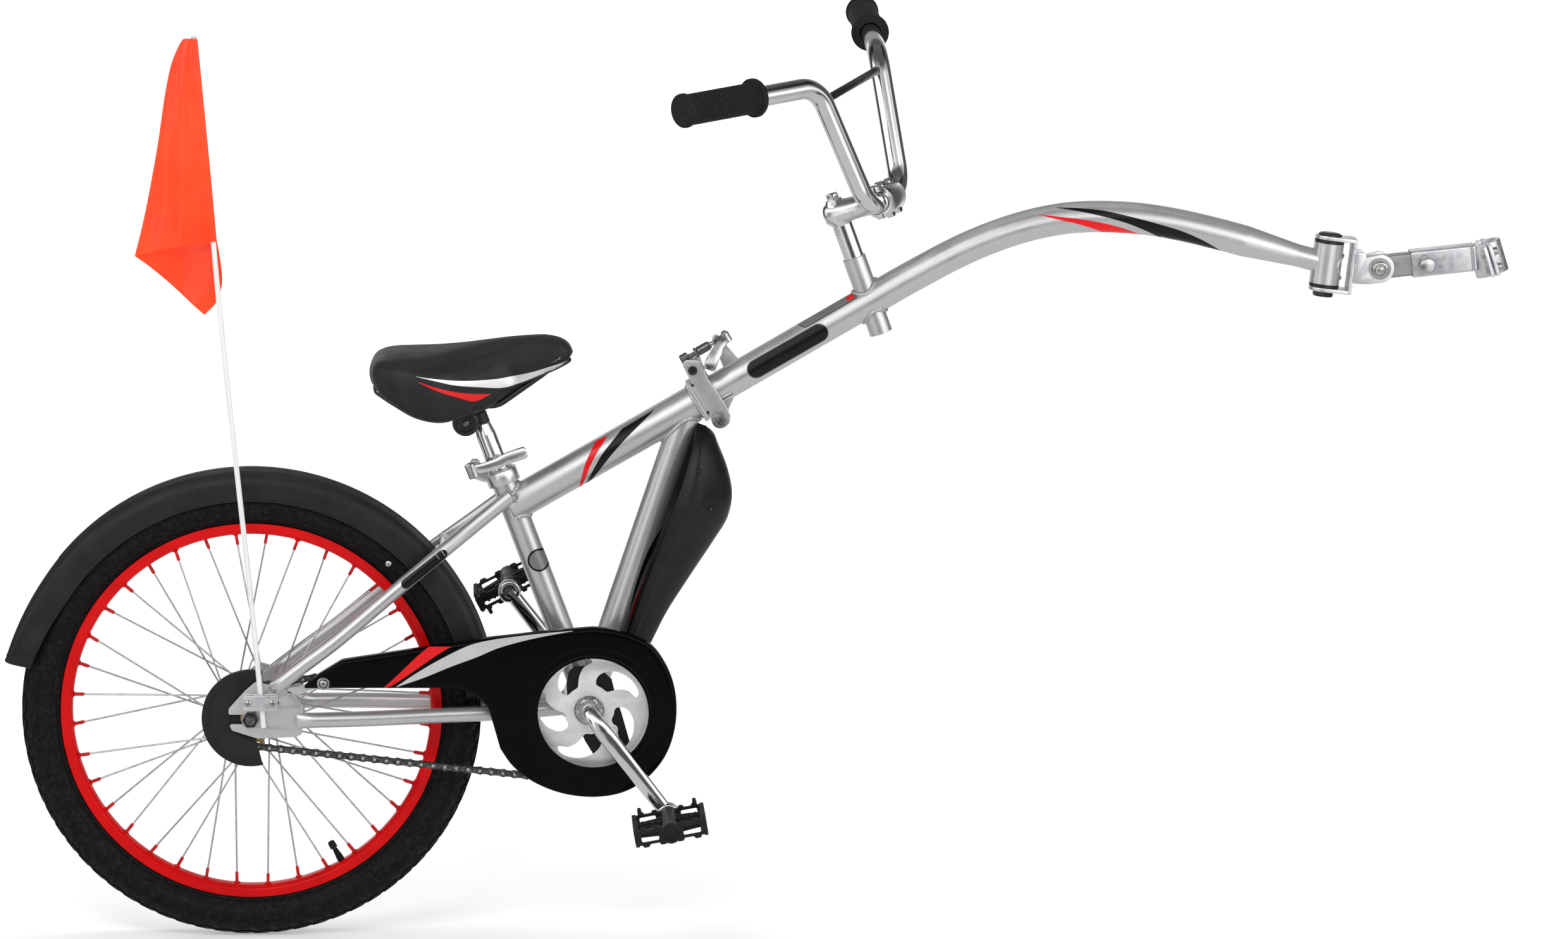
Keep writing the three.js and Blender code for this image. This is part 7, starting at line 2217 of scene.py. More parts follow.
def bars():
    g = Geo()
    pts = [(-268, 175.8, 78.3), (-93.8, 148, 0), (-50, 0, 0), (50, 0, 0), (93.8, 148, 0), (268, 175.8, 78.3)]
    line = rounded([bar_at(*p) for p in pts], 36, 18)
    line = even(line, 320)
    t, u, w = frames(line)
    n = 44
    a = np.linspace(0, 2 * math.pi, n, endpoint=False)
    rows = [line[i] + BAR_R * (np.cos(a)[:, None] * u[i] + np.sin(a)[:, None] * w[i]) for i in range(len(line))]
    g.add(skin(rows), 0)
    # knurled sleeve where the stem holds it
    g.add(revolve([(11.0, -31), (11.25, -30.6), (11.25, 30.6), (11.0, 31)], BAR_C, bar_side, 60, loop=False), 0)
    # brace
    g.add(rod(bar_at(-88.8, 130, 0), bar_at(88.8, 130, 0), 4.5, 32, 0.2), 2)
    for s in (-1, 1):
        arm_a, arm_b = bar_at(s * 50, 0, 0), bar_at(s * 93.8, 148, 0)
        d = unit(arm_b - arm_a)
        g.add(bead(weld_curve(bar_at(s * 40, 130, 0), bar_side * s, 4.5, arm_a, d, BAR_R, 1, 60), 1.0, step=1.6), 1)
    make("handlebar_tube", g, [chrome, silver_weld, black_enamel], "bars", "chrome", "handlebar")
    for node, s in (("right", -1), ("left", 1)):
        end = bar_at(s * 268, 175.8, 78.3)
        d = unit(end - bar_at(s * 93.8, 148, 0))
        g = Geo()
        # rubber grip: closed rounded end, flutes and fingers, thin ring, stop flange
        prof = [(0, 4.7), (13, 4.7), (16.6, 4.3), (18.2, 3.2), (18.5, 1.6), (18.4, -0.8), (17.6, -2.2), (16.4, -3.2), (16.3, -5)]
        k = -6.0
        while k > -92:
            prof += [(16.5, k), (16.5, k - 2.6), (15.9, k - 3.0), (15.9, k - 3.7), (16.5, k - 4.1)]
            k -= 4.3
        prof += [(16.4, -94), (17.2, -96.2), (20.2, -97.0), (21.0, -98.0), (21.0, -101.6), (20.2, -103), (16.2, -103.9), (11.9, -104)]
        wob = lambda ang, r, h: (0.35 * max(0, math.cos(ang * 24)) if -92 < h < -5 and r > 16.2 else 0.0)
        g.add(revolve(prof, end, d, 96, wobble=wob), 0)
        g.add(revolve([(0, 5.0), (3.4, 5.0), (3.9, 4.75), (4.2, 4.5)], end, d, 30), 0)
        make("grip_rubber_" + node, g, [grip_rubber], "bars", "grip_rubber", "grip_" + node)


bars()


# ---------------------------------------------------------------- seat post, clamp and rails
SEAT_PIVOT = (236.6, 573.1)
SADDLE = [(129, 630, 615, 22), (134, 641, 611, 46), (143, 648.5, 606, 62), (160, 651.6, 596, 73), (183, 652.6, 583.5, 76.5), (210, 654.2, 577.5, 69), (236, 657.4, 583, 54), (262, 661.4, 590, 40), (285, 664.6, 608, 30), (310, 666.8, 619.5, 25.5), (332, 667.3, 628, 23), (349, 662, 636, 17.5), (358.5, 651, 643, 8)]


def seat_parts():
    g = Geo()
    o = seat_at(0)
    g.add(revolve([(9.2, 150.4), (9.6, 150), (10.7, 150), (11.1, 150.4), (11.1, 319.6), (10.8, 321), (9.3, 331), (9.0, 332.4), (8.2, 333.4), (0, 333.4)], o, seat_dir, 80), 0)
    # black ribbed neck sleeve under the boss
    prof = [(0, 331.5), (8.8, 331.5)]
    t = 333.2
    while t < 343:
        prof += [(9.5, t), (9.5, t + 1.1), (8.9, t + 1.4), (8.9, t + 2.0)]
        t += 2.3
    prof += [(8.2, 345), (0, 345)]
    g.add(revolve(prof, o, seat_dir, 60), 1)
    # height marks round the post
    for k in (196, 202, 208, 214, 220):
        g.add(revolve([(10.9, k - 0.2), (11.17, k - 0.1), (11.17, k + 0.1), (10.9, k + 0.2)], o, seat_dir, 72, loop=True, span=(60, 120)), 2)
    g.add(revolve([(5.2, -9), (8.4, -9), (9, -8.4), (9, 8.4), (8.4, 9), (5.2, 9)], P(SEAT_PIVOT), Y, 60, loop=True), 1)
    g.add(rod(P(SEAT_PIVOT, -8.9), P(SEAT_PIVOT, 8.9), 5.4, 40), 1)
    g.add(side_slab(corners([(238, 563.5), (236.5, 581), (245, 585), (252, 582), (259.5, 567), (255, 561)], 3, 4), -7, 7, 1.4), 1)
    make("seat_post_tube", g, [chrome, base_black, dark_steel], "post", "chrome", "seat_post")

    g = Geo()
    for s in (-1, 1):
        # serrated faces turned against the post's boss, then the outer dish with its bolt
        prof = [(0, 9.4), (12.6, 9.4), (13.6, 9.9), (14.3, 11), (14.5, 12.5), (14.5, 21.5), (14.1, 23.4), (12.9, 24.7), (11.6, 25.1), (9.6, 24.9), (8.6, 24.0), (8.0, 21.2), (0, 20.8)]
        g.add(revolve(prof, P(SEAT_PIVOT), Y * s, 80), 0)
        for i in range(28):
            a = 2 * math.pi * i / 28
            c = P(to_a(SEAT_PIVOT, a, 14.2), s * 17)
            g.add(rod(c - Y * s * 3.4, c + Y * s * 3.4, 0.62, 10, 0.3), 0)
        # domed nut in the dish
        g.add(revolve([(0, 25.6), (2.2, 25.3), (3.9, 24.2), (4.6, 22.8), (4.8, 20.6)], P(SEAT_PIVOT), Y * s, 40), 1)
        g.add(nut(P(SEAT_PIVOT, s * 20.6), Y * s, 11.4, 2.6), 1)
        # cradle that rises to the rails and holds them in grooves
        web = corners([(225, 585), (229, 563), (244, 563), (249, 585), (249, 588.5), (225, 588.5)], [2, 5, 5, 2, 0.5, 0.5], 4)
        y0, y1 = sorted((s * 10.5, s * 24))
        g.add(side_slab(web, y0, y1, 1.2), 0)
    low = corners([(224, 587.4), (250, 587.4), (250, 592), (224, 592)], 1.1, 4)
    top = corners([(224, 593.2), (250, 593.2), (248.5, 598), (245, 599), (229, 599), (225.5, 598)], [0.8, 0.8, 1, 2, 2, 1], 4)
    g.add(side_slab(low, -28, 28, 1.0), 0)
    g.add(side_slab(top, -28, 28, 1.0), 0)
    for s in (-1, 1):
        g.add(side_slab(corners([(224.4, 588.6), (249.6, 588.6), (249.6, 597.4), (224.4, 597.4)], 3.2, 5), *sorted((s * 26.2, s * 27.9)), 0.7), 0)
    make("saddle_clamp_cast", g, [black_enamel, dark_steel], "saddle", "clamp_black", "saddle_clamp")

    pts = [(150, 34, 606), (205, 22, 592.5), (272, 22, 592.5), (322, 11, 626), (333, 0, 634)]
    pts += [(x, -y, z) for x, y, z in pts[:-1]][::-1]
    line = even(rounded(pts, [40, 26, 16, 9, 16, 26, 40], 10), 260)
    g = Geo().add(tube(line, 3.4, 24))
    make("saddle_rail_wire", g, black_enamel, "saddle", "clamp_black", "saddle_rails")


seat_parts()


# ---------------------------------------------------------------- saddle
def _saddle_curve():
    pts = np.array(SADDLE, float)
    line = smooth_line(pts, 500)
    return line


_sc = _saddle_curve()


def saddle_curve(x):
    return tuple(float(np.interp(x, _sc[:, 0], _sc[:, k])) for k in (1, 2, 3))


SADDLE_SECTION = smooth_line([(0.80, 0.035, 0), (0.93, 0.02, 0), (0.985, 0.24, 0), (1, 0.5, 0), (0.965, 0.73, 0), (0.83, 0.89, 0), (0.5, 0.975, 0), (0, 1, 0), (-0.5, 0.975, 0), (-0.83, 0.89, 0), (-0.965, 0.73, 0), (-1, 0.5, 0), (-0.985, 0.24, 0), (-0.93, 0.02, 0), (-0.80, 0.035, 0)], 90)[:, :2]


def saddle_shape(shrink=0.0):
    """Foam and cover as one closed form: crowned over the top, rolled under at the edge and hollow beneath."""
    xs = [129.0, 129.6, 131, 133, 136, 140, 145, 151] + list(np.arange(158, 346, 6)) + [349, 352.5, 355.5, 357.5, 358.5]
    rows = []
    for x in xs:
        t, b, w = saddle_curve(x)
        k = min(1.0, (x - 129) / 9) ** 0.5 * min(1.0, (358.7 - x) / 6) ** 0.5
        mid = t + (b - t) * 0.5
        t, b, w = mid + (t - mid) * (0.35 + 0.65 * k), mid + (b - mid) * (0.35 + 0.65 * k), w * (0.5 + 0.5 * k)
        t, b, w = t - shrink, b + shrink, w - shrink
        ring = [vec(x, fy * w, b - 3.2 * max(0, 1 - fz * 4) + fz * (t - b)) for fy, fz in SADDLE_SECTION]
        # the underside: up into the hollow that the base fills
        deep = max(0.0, min(1.0, (x - 142) / 10)) * max(0.0, min(1.0, (350 - x) / 8))
        roof = b + 2 + (max(t - 21, b + 4) - b - 2) * deep
        W = max(w - 15, 3)
        under = [(-0.97, 0.12), (-0.99, 0.5), (-0.93, 0.82), (-0.6, 0.97), (0, 1), (0.6, 0.97), (0.93, 0.82), (0.99, 0.5), (0.97, 0.12)]
        ring += [vec(x, fy * min(W, w * 0.78), b + 0.6 + (roof - b - 0.6) * fz) for fy, fz in under]
        rows.append(np.array(ring))
    return skin(rows)


def as_object(name, shape):
    me = bpy.data.meshes.new(name)
    me.from_pydata(world(shape[0]).tolist(), [], shape[1])
    ob = bpy.data.objects.new(name, me)
    bpy.context.scene.collection.objects.link(ob)
    return ob


def arrays(ob):
    me = bpy.data.meshes.new_from_object(ob.evaluated_get(bpy.context.evaluated_depsgraph_get()))
    v = np.empty(len(me.vertices) * 3)
    me.vertices.foreach_get("co", v)
    v = (v.reshape(-1, 3) - OFF) * 1000
    f = [tuple(q.vertices) for q in me.polygons]
    bpy.data.meshes.remove(me)
    return v, f


def puff(shape, voxel, pressure, cap):
    """Remeshes a closed form, inflates it as cloth for 20 frames, and caps how far a point has moved."""
    ob = as_object("puff", shape)
    rm = ob.modifiers.new("remesh", "REMESH")
    rm.mode, rm.voxel_size = "VOXEL", voxel / 1000
    base, faces = arrays(ob)
    bpy.data.objects.remove(ob)
    # a little smoothing takes the voxel steps out before the cloth starts
    ob = as_object("puff", (base, faces))
    sm = ob.modifiers.new("smooth", "SMOOTH")
    sm.factor, sm.iterations = 0.5, 4
    base, faces = arrays(ob)
    bpy.data.objects.remove(ob)
    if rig.quick():
        return base, faces
    ob = as_object("puff", (base, faces))
    cl = ob.modifiers.new("cloth", "CLOTH")
    cs = cl.settings
    cs.quality, cs.mass = 4, 0.3
    cs.tension_stiffness = cs.compression_stiffness = 15
    cs.shear_stiffness, cs.bending_stiffness = 8, 2
    cs.use_pressure, cs.uniform_pressure_force = True, pressure
    cs.effector_weights.gravity = 0
    cl.collision_settings.use_collision = False
    cl.point_cache.frame_start, cl.point_cache.frame_end = 1, 20
    sc = bpy.context.scene
    for k in range(1, 21):
        sc.frame_set(k)
    v, f = arrays(ob)
    sc.frame_set(1)
    bpy.data.objects.remove(ob)
    d = v - base
    L = np.linalg.norm(d, axis=1)
    d *= np.minimum(1, cap / np.maximum(L, 1e-6))[:, None]
    return base + d, faces


def saddle():
    from mathutils.bvhtree import BVHTree
    shape = puff(saddle_shape(1.6), 4.5, 4.0, 2.4)
    ob = as_object("puff", shape)
    s1 = ob.modifiers.new("smooth", "SMOOTH")
    s1.factor, s1.iterations = 0.5, 6
    s2 = ob.modifiers.new("sub", "SUBSURF")
    s2.levels = s2.render_levels = 1
    v, f = arrays(ob)
    bpy.data.objects.remove(ob)
    pad = make("saddle_cover", (v, f), vinyl, "saddle", "saddle_vinyl", "saddle_pad", angle=80, weld=False)
    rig.padded(pad, fill=0.8)
    tree = BVHTree.FromPolygons(v.tolist(), f)

    def on_side(q, lift, side=-1):
        hit = tree.ray_cast(Vector((q[0], side * 200, q[1])), Vector((0, -side, 0)))
        if hit[0] is None:
            near = tree.find_nearest(Vector((q[0], side * 60, q[1])))
            return np.array(near[0]) + np.array(near[1]) * lift
        n = np.array(hit[1])
        if n[1] * side < 0:
            n = -n
        return np.array(hit[0]) + n * lift

    def from_photo(x, y):
        d = -60.0
        for _ in range(4):
            q = px(x, y, d)
            d = on_side(q, 0)[1]
        return q

    F = from_photo
    g = Geo()
    up = [(657, 595), (690, 599.5), (726, 602), (762, 601), (797, 597), (837, 589), (868, 580), (900, 570.5), (911, 566)]
    lo = [(657, 595.3), (690, 603), (718, 609), (758, 612), (797, 612.5), (822, 605), (850, 594), (884, 579.5), (911, 567)]
    stripe(g, 0, arcs([F(*p) for p in up]), arcs([F(*p) for p in lo]), on_side, cols=110, rows=10, lift=0.22)
    stripe(g, 1, arcs([F(*p) for p in [(661, 603.5), (690, 613), (722, 620), (750, 622.5), (775.5, 622.5)]]), arcs([F(*p) for p in [(661, 604.5), (690, 618), (722, 628), (750, 634.3), (775.5, 623.2)]]), on_side, cols=80, rows=8, lift=0.22)
    make("saddle_swooshes", g, [print_silver, print_red], "saddle", "saddle_vinyl")

    # trim bead along the lower edge, where the cover is turned under
    loop = []
    for side in (1, -1):
        part = []
        for x in np.linspace(140, 350, 70):
            t, b, w = saddle_curve(x)
            part.append(vec(x, side * (w * 0.86 - 5.0), b + 2.6))
        loop += part if side > 0 else part[::-1]
    path = smooth_line(loop, 320, closed=True)
    make("saddle_trim", Geo().add(tube(path, 1.7, 12, closed=True)), base_black, "saddle", "pedal_black")

    # moulded base in the hollow, with ribs and the sockets that hold the rails
    g = Geo()
    arch = [(-0.9, 0.7), (-0.72, 0.88), (-0.5, 0.97), (-0.25, 0.995), (0, 1), (0.25, 0.995), (0.5, 0.97), (0.72, 0.88), (0.9, 0.7)]
    rows = []
    for x in np.linspace(161, 331, 40):
        t, b, w = saddle_curve(x)
        top, low, W = max(t - 21, b + 4) - 0.9, b - 6, max(w - 7.5, 5) - 0.9
        ring = [vec(x, fy * W, low + fz * (top - low)) for fy, fz in arch]
        ring += [vec(x, fy * (W - 2.8), low + fz * (top - low) - 2.8) for fy, fz in arch[::-1]]
        rows.append(np.array(ring))
    g.add(skin(rows), 0)
    for x in (176, 196, 216, 256, 276, 296):
        t, b, w = saddle_curve(x)
        top, low, W = max(t - 21, b + 4) - 0.9, b - 6, max(w - 7.5, 5) - 0.9
        pts = [vec(x, fy * (W - 3.2), low + fz * (top - low) - 3.6) for fy, fz in arch]
        g.add(tube(smooth_line(pts, 30), 1.3, 10), 0)
    for s in (-1, 1):
        g.add(brick((161, s * 34, 612), (Y, Z, X), (6, 11, 7), 1.6), 0)
        g.add(revolve([(3.9, 0), (5.6, 0), (5.9, 0.4), (5.9, 2.6), (3.9, 2.8)], (167.5, s * 30.2, 602.3), unit((0.9, -s * 0.2, -0.24)), 30, loop=True), 0)
    g.add(brick((328.5, 0, 636.4), (X, Y, Z), (7.5, 7, 6.8), 1.6), 0)
    make("saddle_shell", g, base_black, "saddle", "pedal_black", "saddle_base")


saddle()


# ---------------------------------------------------------------- guards
RING_EDGE = [(272.7, 217.6), (286, 198.5), (307.9, 180.9), (341, 167.2), (379.1, 163.1), (411, 169.5), (436.9, 186.7), (456.5, 214), (465.8, 252.3), (461.5, 293), (441.2, 329.4), (419.1, 342.9), (396, 350)]
GUARD_HOLE = (374.5, 257.5)


def offset_in(loop, depths):
    """The closed outline moved inwards by its own depth at each point."""
    p = np.asarray(loop, float)
    t = np.roll(p, -1, 0) - np.roll(p, 1, 0)
    t /= np.linalg.norm(t, axis=1)[:, None]
    area = ((p[:, 0] * np.roll(p[:, 1], -1)) - (np.roll(p[:, 0], -1) * p[:, 1])).sum()
    n = np.stack([-t[:, 1], t[:, 0]], 1) * (1 if area > 0 else -1)
    return p + n * np.asarray(depths, float)[:, None]


def chain_guard():
    front = [(x, z) for x, z, _ in smooth_line([(*p, 0) for p in RING_EDGE], 90)]
    rest = corners([(396, 350), (374.9, 352.3), (330, 348.7), (264.3, 341.8), (193.8, 331.7), (100.6, 317.9), (76, 303), (60, 291), (58, 286.9), (228.8, 285.7), (247, 278), (259.8, 262.9), (266.5, 240), (272.7, 217.6)], [0, 30, 30, 60, 60, 10, 8, 5, 3, 14, 14, 12, 20, 0], 6)
    loop = even(np.array(front + rest[1:-1]), 420, closed=True)
    tail = np.clip((loop[:, 0] - 58) / 60, 0, 1)
    D = 6.5 * (0.22 + 0.78 * tail)
    g = Geo()
    # rolled outer edge, then the wall behind it
    opening = (loop[:, 0] < 262) & (loop[:, 1] < 296)
    wall = np.where(opening, -57.2, -50.5)
    rows = []
    for d, y in ((1.0, -62.2), (0.72, -62.08), (0.45, -61.75), (0.24, -61.1), (0.1, -60.1), (0.02, -58.8), (0.0, -57.4)):
        q = offset_in(loop, D * d)
        rows.append(np.stack([q[:, 0], np.full(len(q), y), q[:, 1]], 1))
    q = offset_in(loop, 0 * D)
    rows.append(np.stack([q[:, 0], wall + 0.3, q[:, 1]], 1))
    q = offset_in(loop, 0 * D + 0.5)
    rows.append(np.stack([q[:, 0], wall + 0.8, q[:, 1]], 1))
    q = offset_in(loop, 0 * D + 1.5)
    rows.append(np.stack([q[:, 0], wall + 0.4, q[:, 1]], 1))
    for d, y in ((1.6, -57.2), (2.0, -59.0), (2.8, -60.0), (4.2, -60.2)):
        q = offset_in(loop, np.minimum(0 * D + d, D * 0.96))
        rows.append(np.stack([q[:, 0], np.full(len(q), y), q[:, 1]], 1))
    q = offset_in(loop, D)
    rows.append(np.stack([q[:, 0], np.full(len(q), -60.2), q[:, 1]], 1))
    g.add(skin(rows, caps=False), 0)
    inner_loop = [tuple(c) for c in offset_in(loop, D)]
    v, f = slab(inner_loop, 2.0, 0.0, [circle(GUARD_HOLE, 62.4, 140)])
    g.add((v + vec(0, -61.2, 0), f), 0)
    # rolled lip round the window
    prof = [(62.6, -60.2), (61.3, -60.0), (60.6, -60.8), (60.6, -62.1), (61.2, -62.8), (62.4, -63.0), (63.6, -62.7), (64.6, -62.2)]
    g.add(revolve(prof, vec(GUARD_HOLE[0], 0, GUARD_HOLE[1]), Y, 160), 0)
    # shallow step that follows the window
    g.add(revolve([(70.5, -62.1), (71.1, -62.55), (72.0, -62.6), (72.8, -62.1)], vec(GUARD_HOLE[0], 0, GUARD_HOLE[1]), Y, 160, span=None), 0)
    # boss towards the frame and the screw at the rear end
    g.add(rod((277, -61, 253.5), (277, -42.6, 253.5), 5, 32), 0)
    c = vec(79.8, -62.2, 292.3)
    g.add(revolve([(4.9, 0), (6.6, 0.1), (6.9, 0.6), (6.4, 1.1), (4.9, 1.1)], c, -Y, 48, loop=True), 1)
    g.add(revolve([(0, 2.6), (1.8, 2.5), (3.3, 2.0), (4.2, 1.1), (4.4, 0.4), (4.4, 0)], c, -Y, 40), 1)
    # the cross in the screw head is two thin dark bars on the dome: painted shade for the recess
    for a in (0.5, 0.5 + math.pi / 2):
        g.add(brick(c + vec(0, -2.3, 0), ((math.cos(a), 0, math.sin(a)), (-math.sin(a), 0, math.cos(a)), Y), (2.5, 0.45, 0.4), 0.1), 2)
    g.add(rod((79.8, -61, 292.3), (79.8, -52, 292.3), 2.3, 20), 1)
    make("chain_guard_shell", g, [gloss_black, bolt_zinc, dark_steel], "rear_frame", "guard_gloss", "chain_guard", angle=40)

    # plate that carries the guard, between the bearing cup and the chainring, with its lock ring
    g = Geo()
    spots = [(899, 1062), (908, 1053), (943, 1051.5), (967, 1073), (974, 1102), (983, 1128), (999, 1184), (994, 1190), (948, 1199), (938, 1192), (925, 1171), (897, 1108), (895.5, 1080)]
    g.add(side_slab(corners([px(x, y, -40) for x, y in spots], 3.5, 4), -40.7, -38.6, 0.5, [circle(BB, 17.6, 60)]), 0)
    g.add(revolve([(23.9, -40.6), (24.1, -41.1), (24.6, -41.3), (25.6, -41.3), (26.1, -41.1), (26.3, -40.6)], vec(BB[0], 0, BB[1]), Y, 96, loop=True), 1)
    for a in (0.9, 2.6, 4.4, 5.6):
        c = vec(BB[0] + 21 * math.cos(a), -40.7, BB[1] + 21 * math.sin(a))
        g.add(revolve([(0, 0.6), (1.3, 0.55), (1.9, 0.2), (2.0, 0)], c, -Y, 24), 1)
    make("guard_carrier", g, [moulded, bolt_zinc], "rear_frame", "guard_gloss")

    flat_ = lambda q, lift, side=-1: vec(q[0], -62.2 - lift, q[1])
    C = lambda x, y: px(x, y, -62.4)
    g = Geo()
    up = arcs([C(906, 997), C(860, 1001), C(820, 1005.5), C(780, 1011), C(745, 1019), C(700, 1040), C(660, 1063), C(627, 1085)])
    lo = arcs([C(906, 997.6), C(860, 1006), C(820, 1015), C(782, 1026.5), (C(757, 1037.5)), C(715, 1053), C(668, 1072), C(627, 1086)])
    stripe(g, 0, up, lo, flat_, sides=(-1,), cols=120, rows=6, lift=0.14)
    up = arcs([C(713.5, 1022), C(690, 1036), C(660, 1057), C(635, 1074), C(618, 1084.6)])
    lo = arcs([C(678, 1022), C(660, 1037), C(640, 1056), C(620, 1075), C(606.5, 1087)])
    stripe(g, 1, up, lo, flat_, sides=(-1,), cols=80, rows=6, lift=0.14)
    make("guard_stripes", g, [print_silver, print_red], "rear_frame", "guard_gloss")

    # disc that covers the cog
    g = Geo()
    a0, a1 = 76, 284
    angs = [rad(a) for a in np.linspace(a0, a1, 130)]
    out = [to_a(AXLE, a, 53.5) for a in angs] + [to_a(AXLE, a, 12) for a in angs[::-1]]
    g.add(side_slab(out, -53.8, -51.8, 0.7), 0)
    rows = []
    for r, y in ((53.5, -52.6), (53.5, -46.4), (52.9, -46), (51.9, -46), (51.4, -46.5), (51.4, -52.4)):
        rows.append(np.array([P(to_a(AXLE, a, r), y) for a in angs]))
    v, f = skin(rows, closed=True, caps=False, ring=False)
    n = len(angs)
    f += [tuple(i * n for i in range(6))[::-1], tuple(i * n + n - 1 for i in range(6))]
    g.add((v, f), 0)
    for r in (46.5, 22):
        g.add(tube(np.array([P(to_a(AXLE, a, r), -53.9) for a in angs[2:-2]]), 0.7, 8), 0)
    make("cog_guard_disc", g, satin_black, "rear_frame", "guard_satin", "cog_guard")


chain_guard()


# ---------------------------------------------------------------- fender
def fender():
    g = Geo()
    out = [(236.8, -29.4), (240, -29.4), (250, -29.3), (257, -28.6), (261.5, -26.6), (265.2, -23.2), (267.6, -18), (269.1, -11), (269.9, -4), (270, 0)]
    out += [(r, -y) for r, y in out[:-1]][::-1]
    line = smooth_line([(r, y, 0) for r, y in out], 60)[:, :2]
    t = np.gradient(line, axis=0)
    t /= np.linalg.norm(t, axis=1)[:, None]
    nrm = np.stack([t[:, 1], -t[:, 0]], 1)
    if (nrm[30] @ np.array([1, 0])) < 0:
        nrm = -nrm
    inn = line - nrm * 1.7
    rows = []
    steps = np.linspace(4, 167.6, 190)
    for a in steps:
        i = (a - 4) / (163.6 / 22)
        flare = 10 * max(0.0, (i - 19) / 3) ** 1.5
        ra = rad(a)
        ring = []
        for r, y in np.vstack([line, inn[::-1]]):
            ring.append(P(to_a(AXLE, ra, r + flare * (0.4 + 0.6 * abs(y) / 29.4)), y))
        rows.append(np.array(ring))
    g.add(skin(rows), 0)
    # rolled hems along both edges and round the front and rear ends
    for s in (-1, 1):
        path = []
        for a in steps:
            i = (a - 4) / (163.6 / 22)
            flare = 10 * max(0.0, (i - 19) / 3) ** 1.5
            path.append(P(to_a(AXLE, rad(a), 237.4 + flare), s * 28.9))
        g.add(tube(np.array(path), 1.35, 10), 0)
    for a in (4.15, 167.45):
        i = (a - 4) / (163.6 / 22)
        flare = 10 * max(0.0, (i - 19) / 3) ** 1.5
        path = [P(to_a(AXLE, rad(a), r - 0.8 + flare * (0.4 + 0.6 * abs(y) / 29.4)), y * 0.985) for r, y in line]
        g.add(tube(np.array(path), 1.3, 10), 0)
    # raised centre rib
    for off in (-5.2, 5.2):
        path = [P(to_a(AXLE, rad(a), 269.5), off) for a in np.linspace(9, 141, 150)]
        g.add(tube(np.array(path), 0.75, 8), 0)
    make("fender_shell", g, satin_black, "rear_frame", "guard_satin", "fender", angle=40)
    # bolt to the bridge between the stays
    g = Geo()
    base = P(AXLE) + unit(P(BRIDGE) - P(AXLE)) * 270.1
    d = unit(P(BRIDGE) - P(AXLE))
    g.add(revolve([(2.6, 0), (6.6, 0), (6.9, 0.5), (6.9, 1.0), (2.6, 1.1)], base - d * 0.2, d, 36, loop=True), 0)
    g.add(nut(base + d * 0.9, d, 9, 4.2), 0)
    c = px(614, 891, -29.6)
    g.add(revolve([(0, 2.2), (2.0, 2.0), (3.2, 1.3), (3.6, 0.3), (3.6, -0.6)], P(c, -29.2), -Y, 32), 0)
    make("fender_bolt", g, [bolt_zinc], "rear_frame", "zinc")


fender()

SPLASH = [(565.5, 500, 490, 9), (558, 508.5, 488.5, 24), (546, 513.5, 486.5, 36), (518, 524, 478, 50), (490, 528.8, 468.5, 56), (464.6, 524, 460, 55), (439, 508.8, 451, 48), (396, 480.5, 436, 37), (358, 456.5, 423, 28), (327, 441, 412.5, 21), (312, 433, 407, 18)]


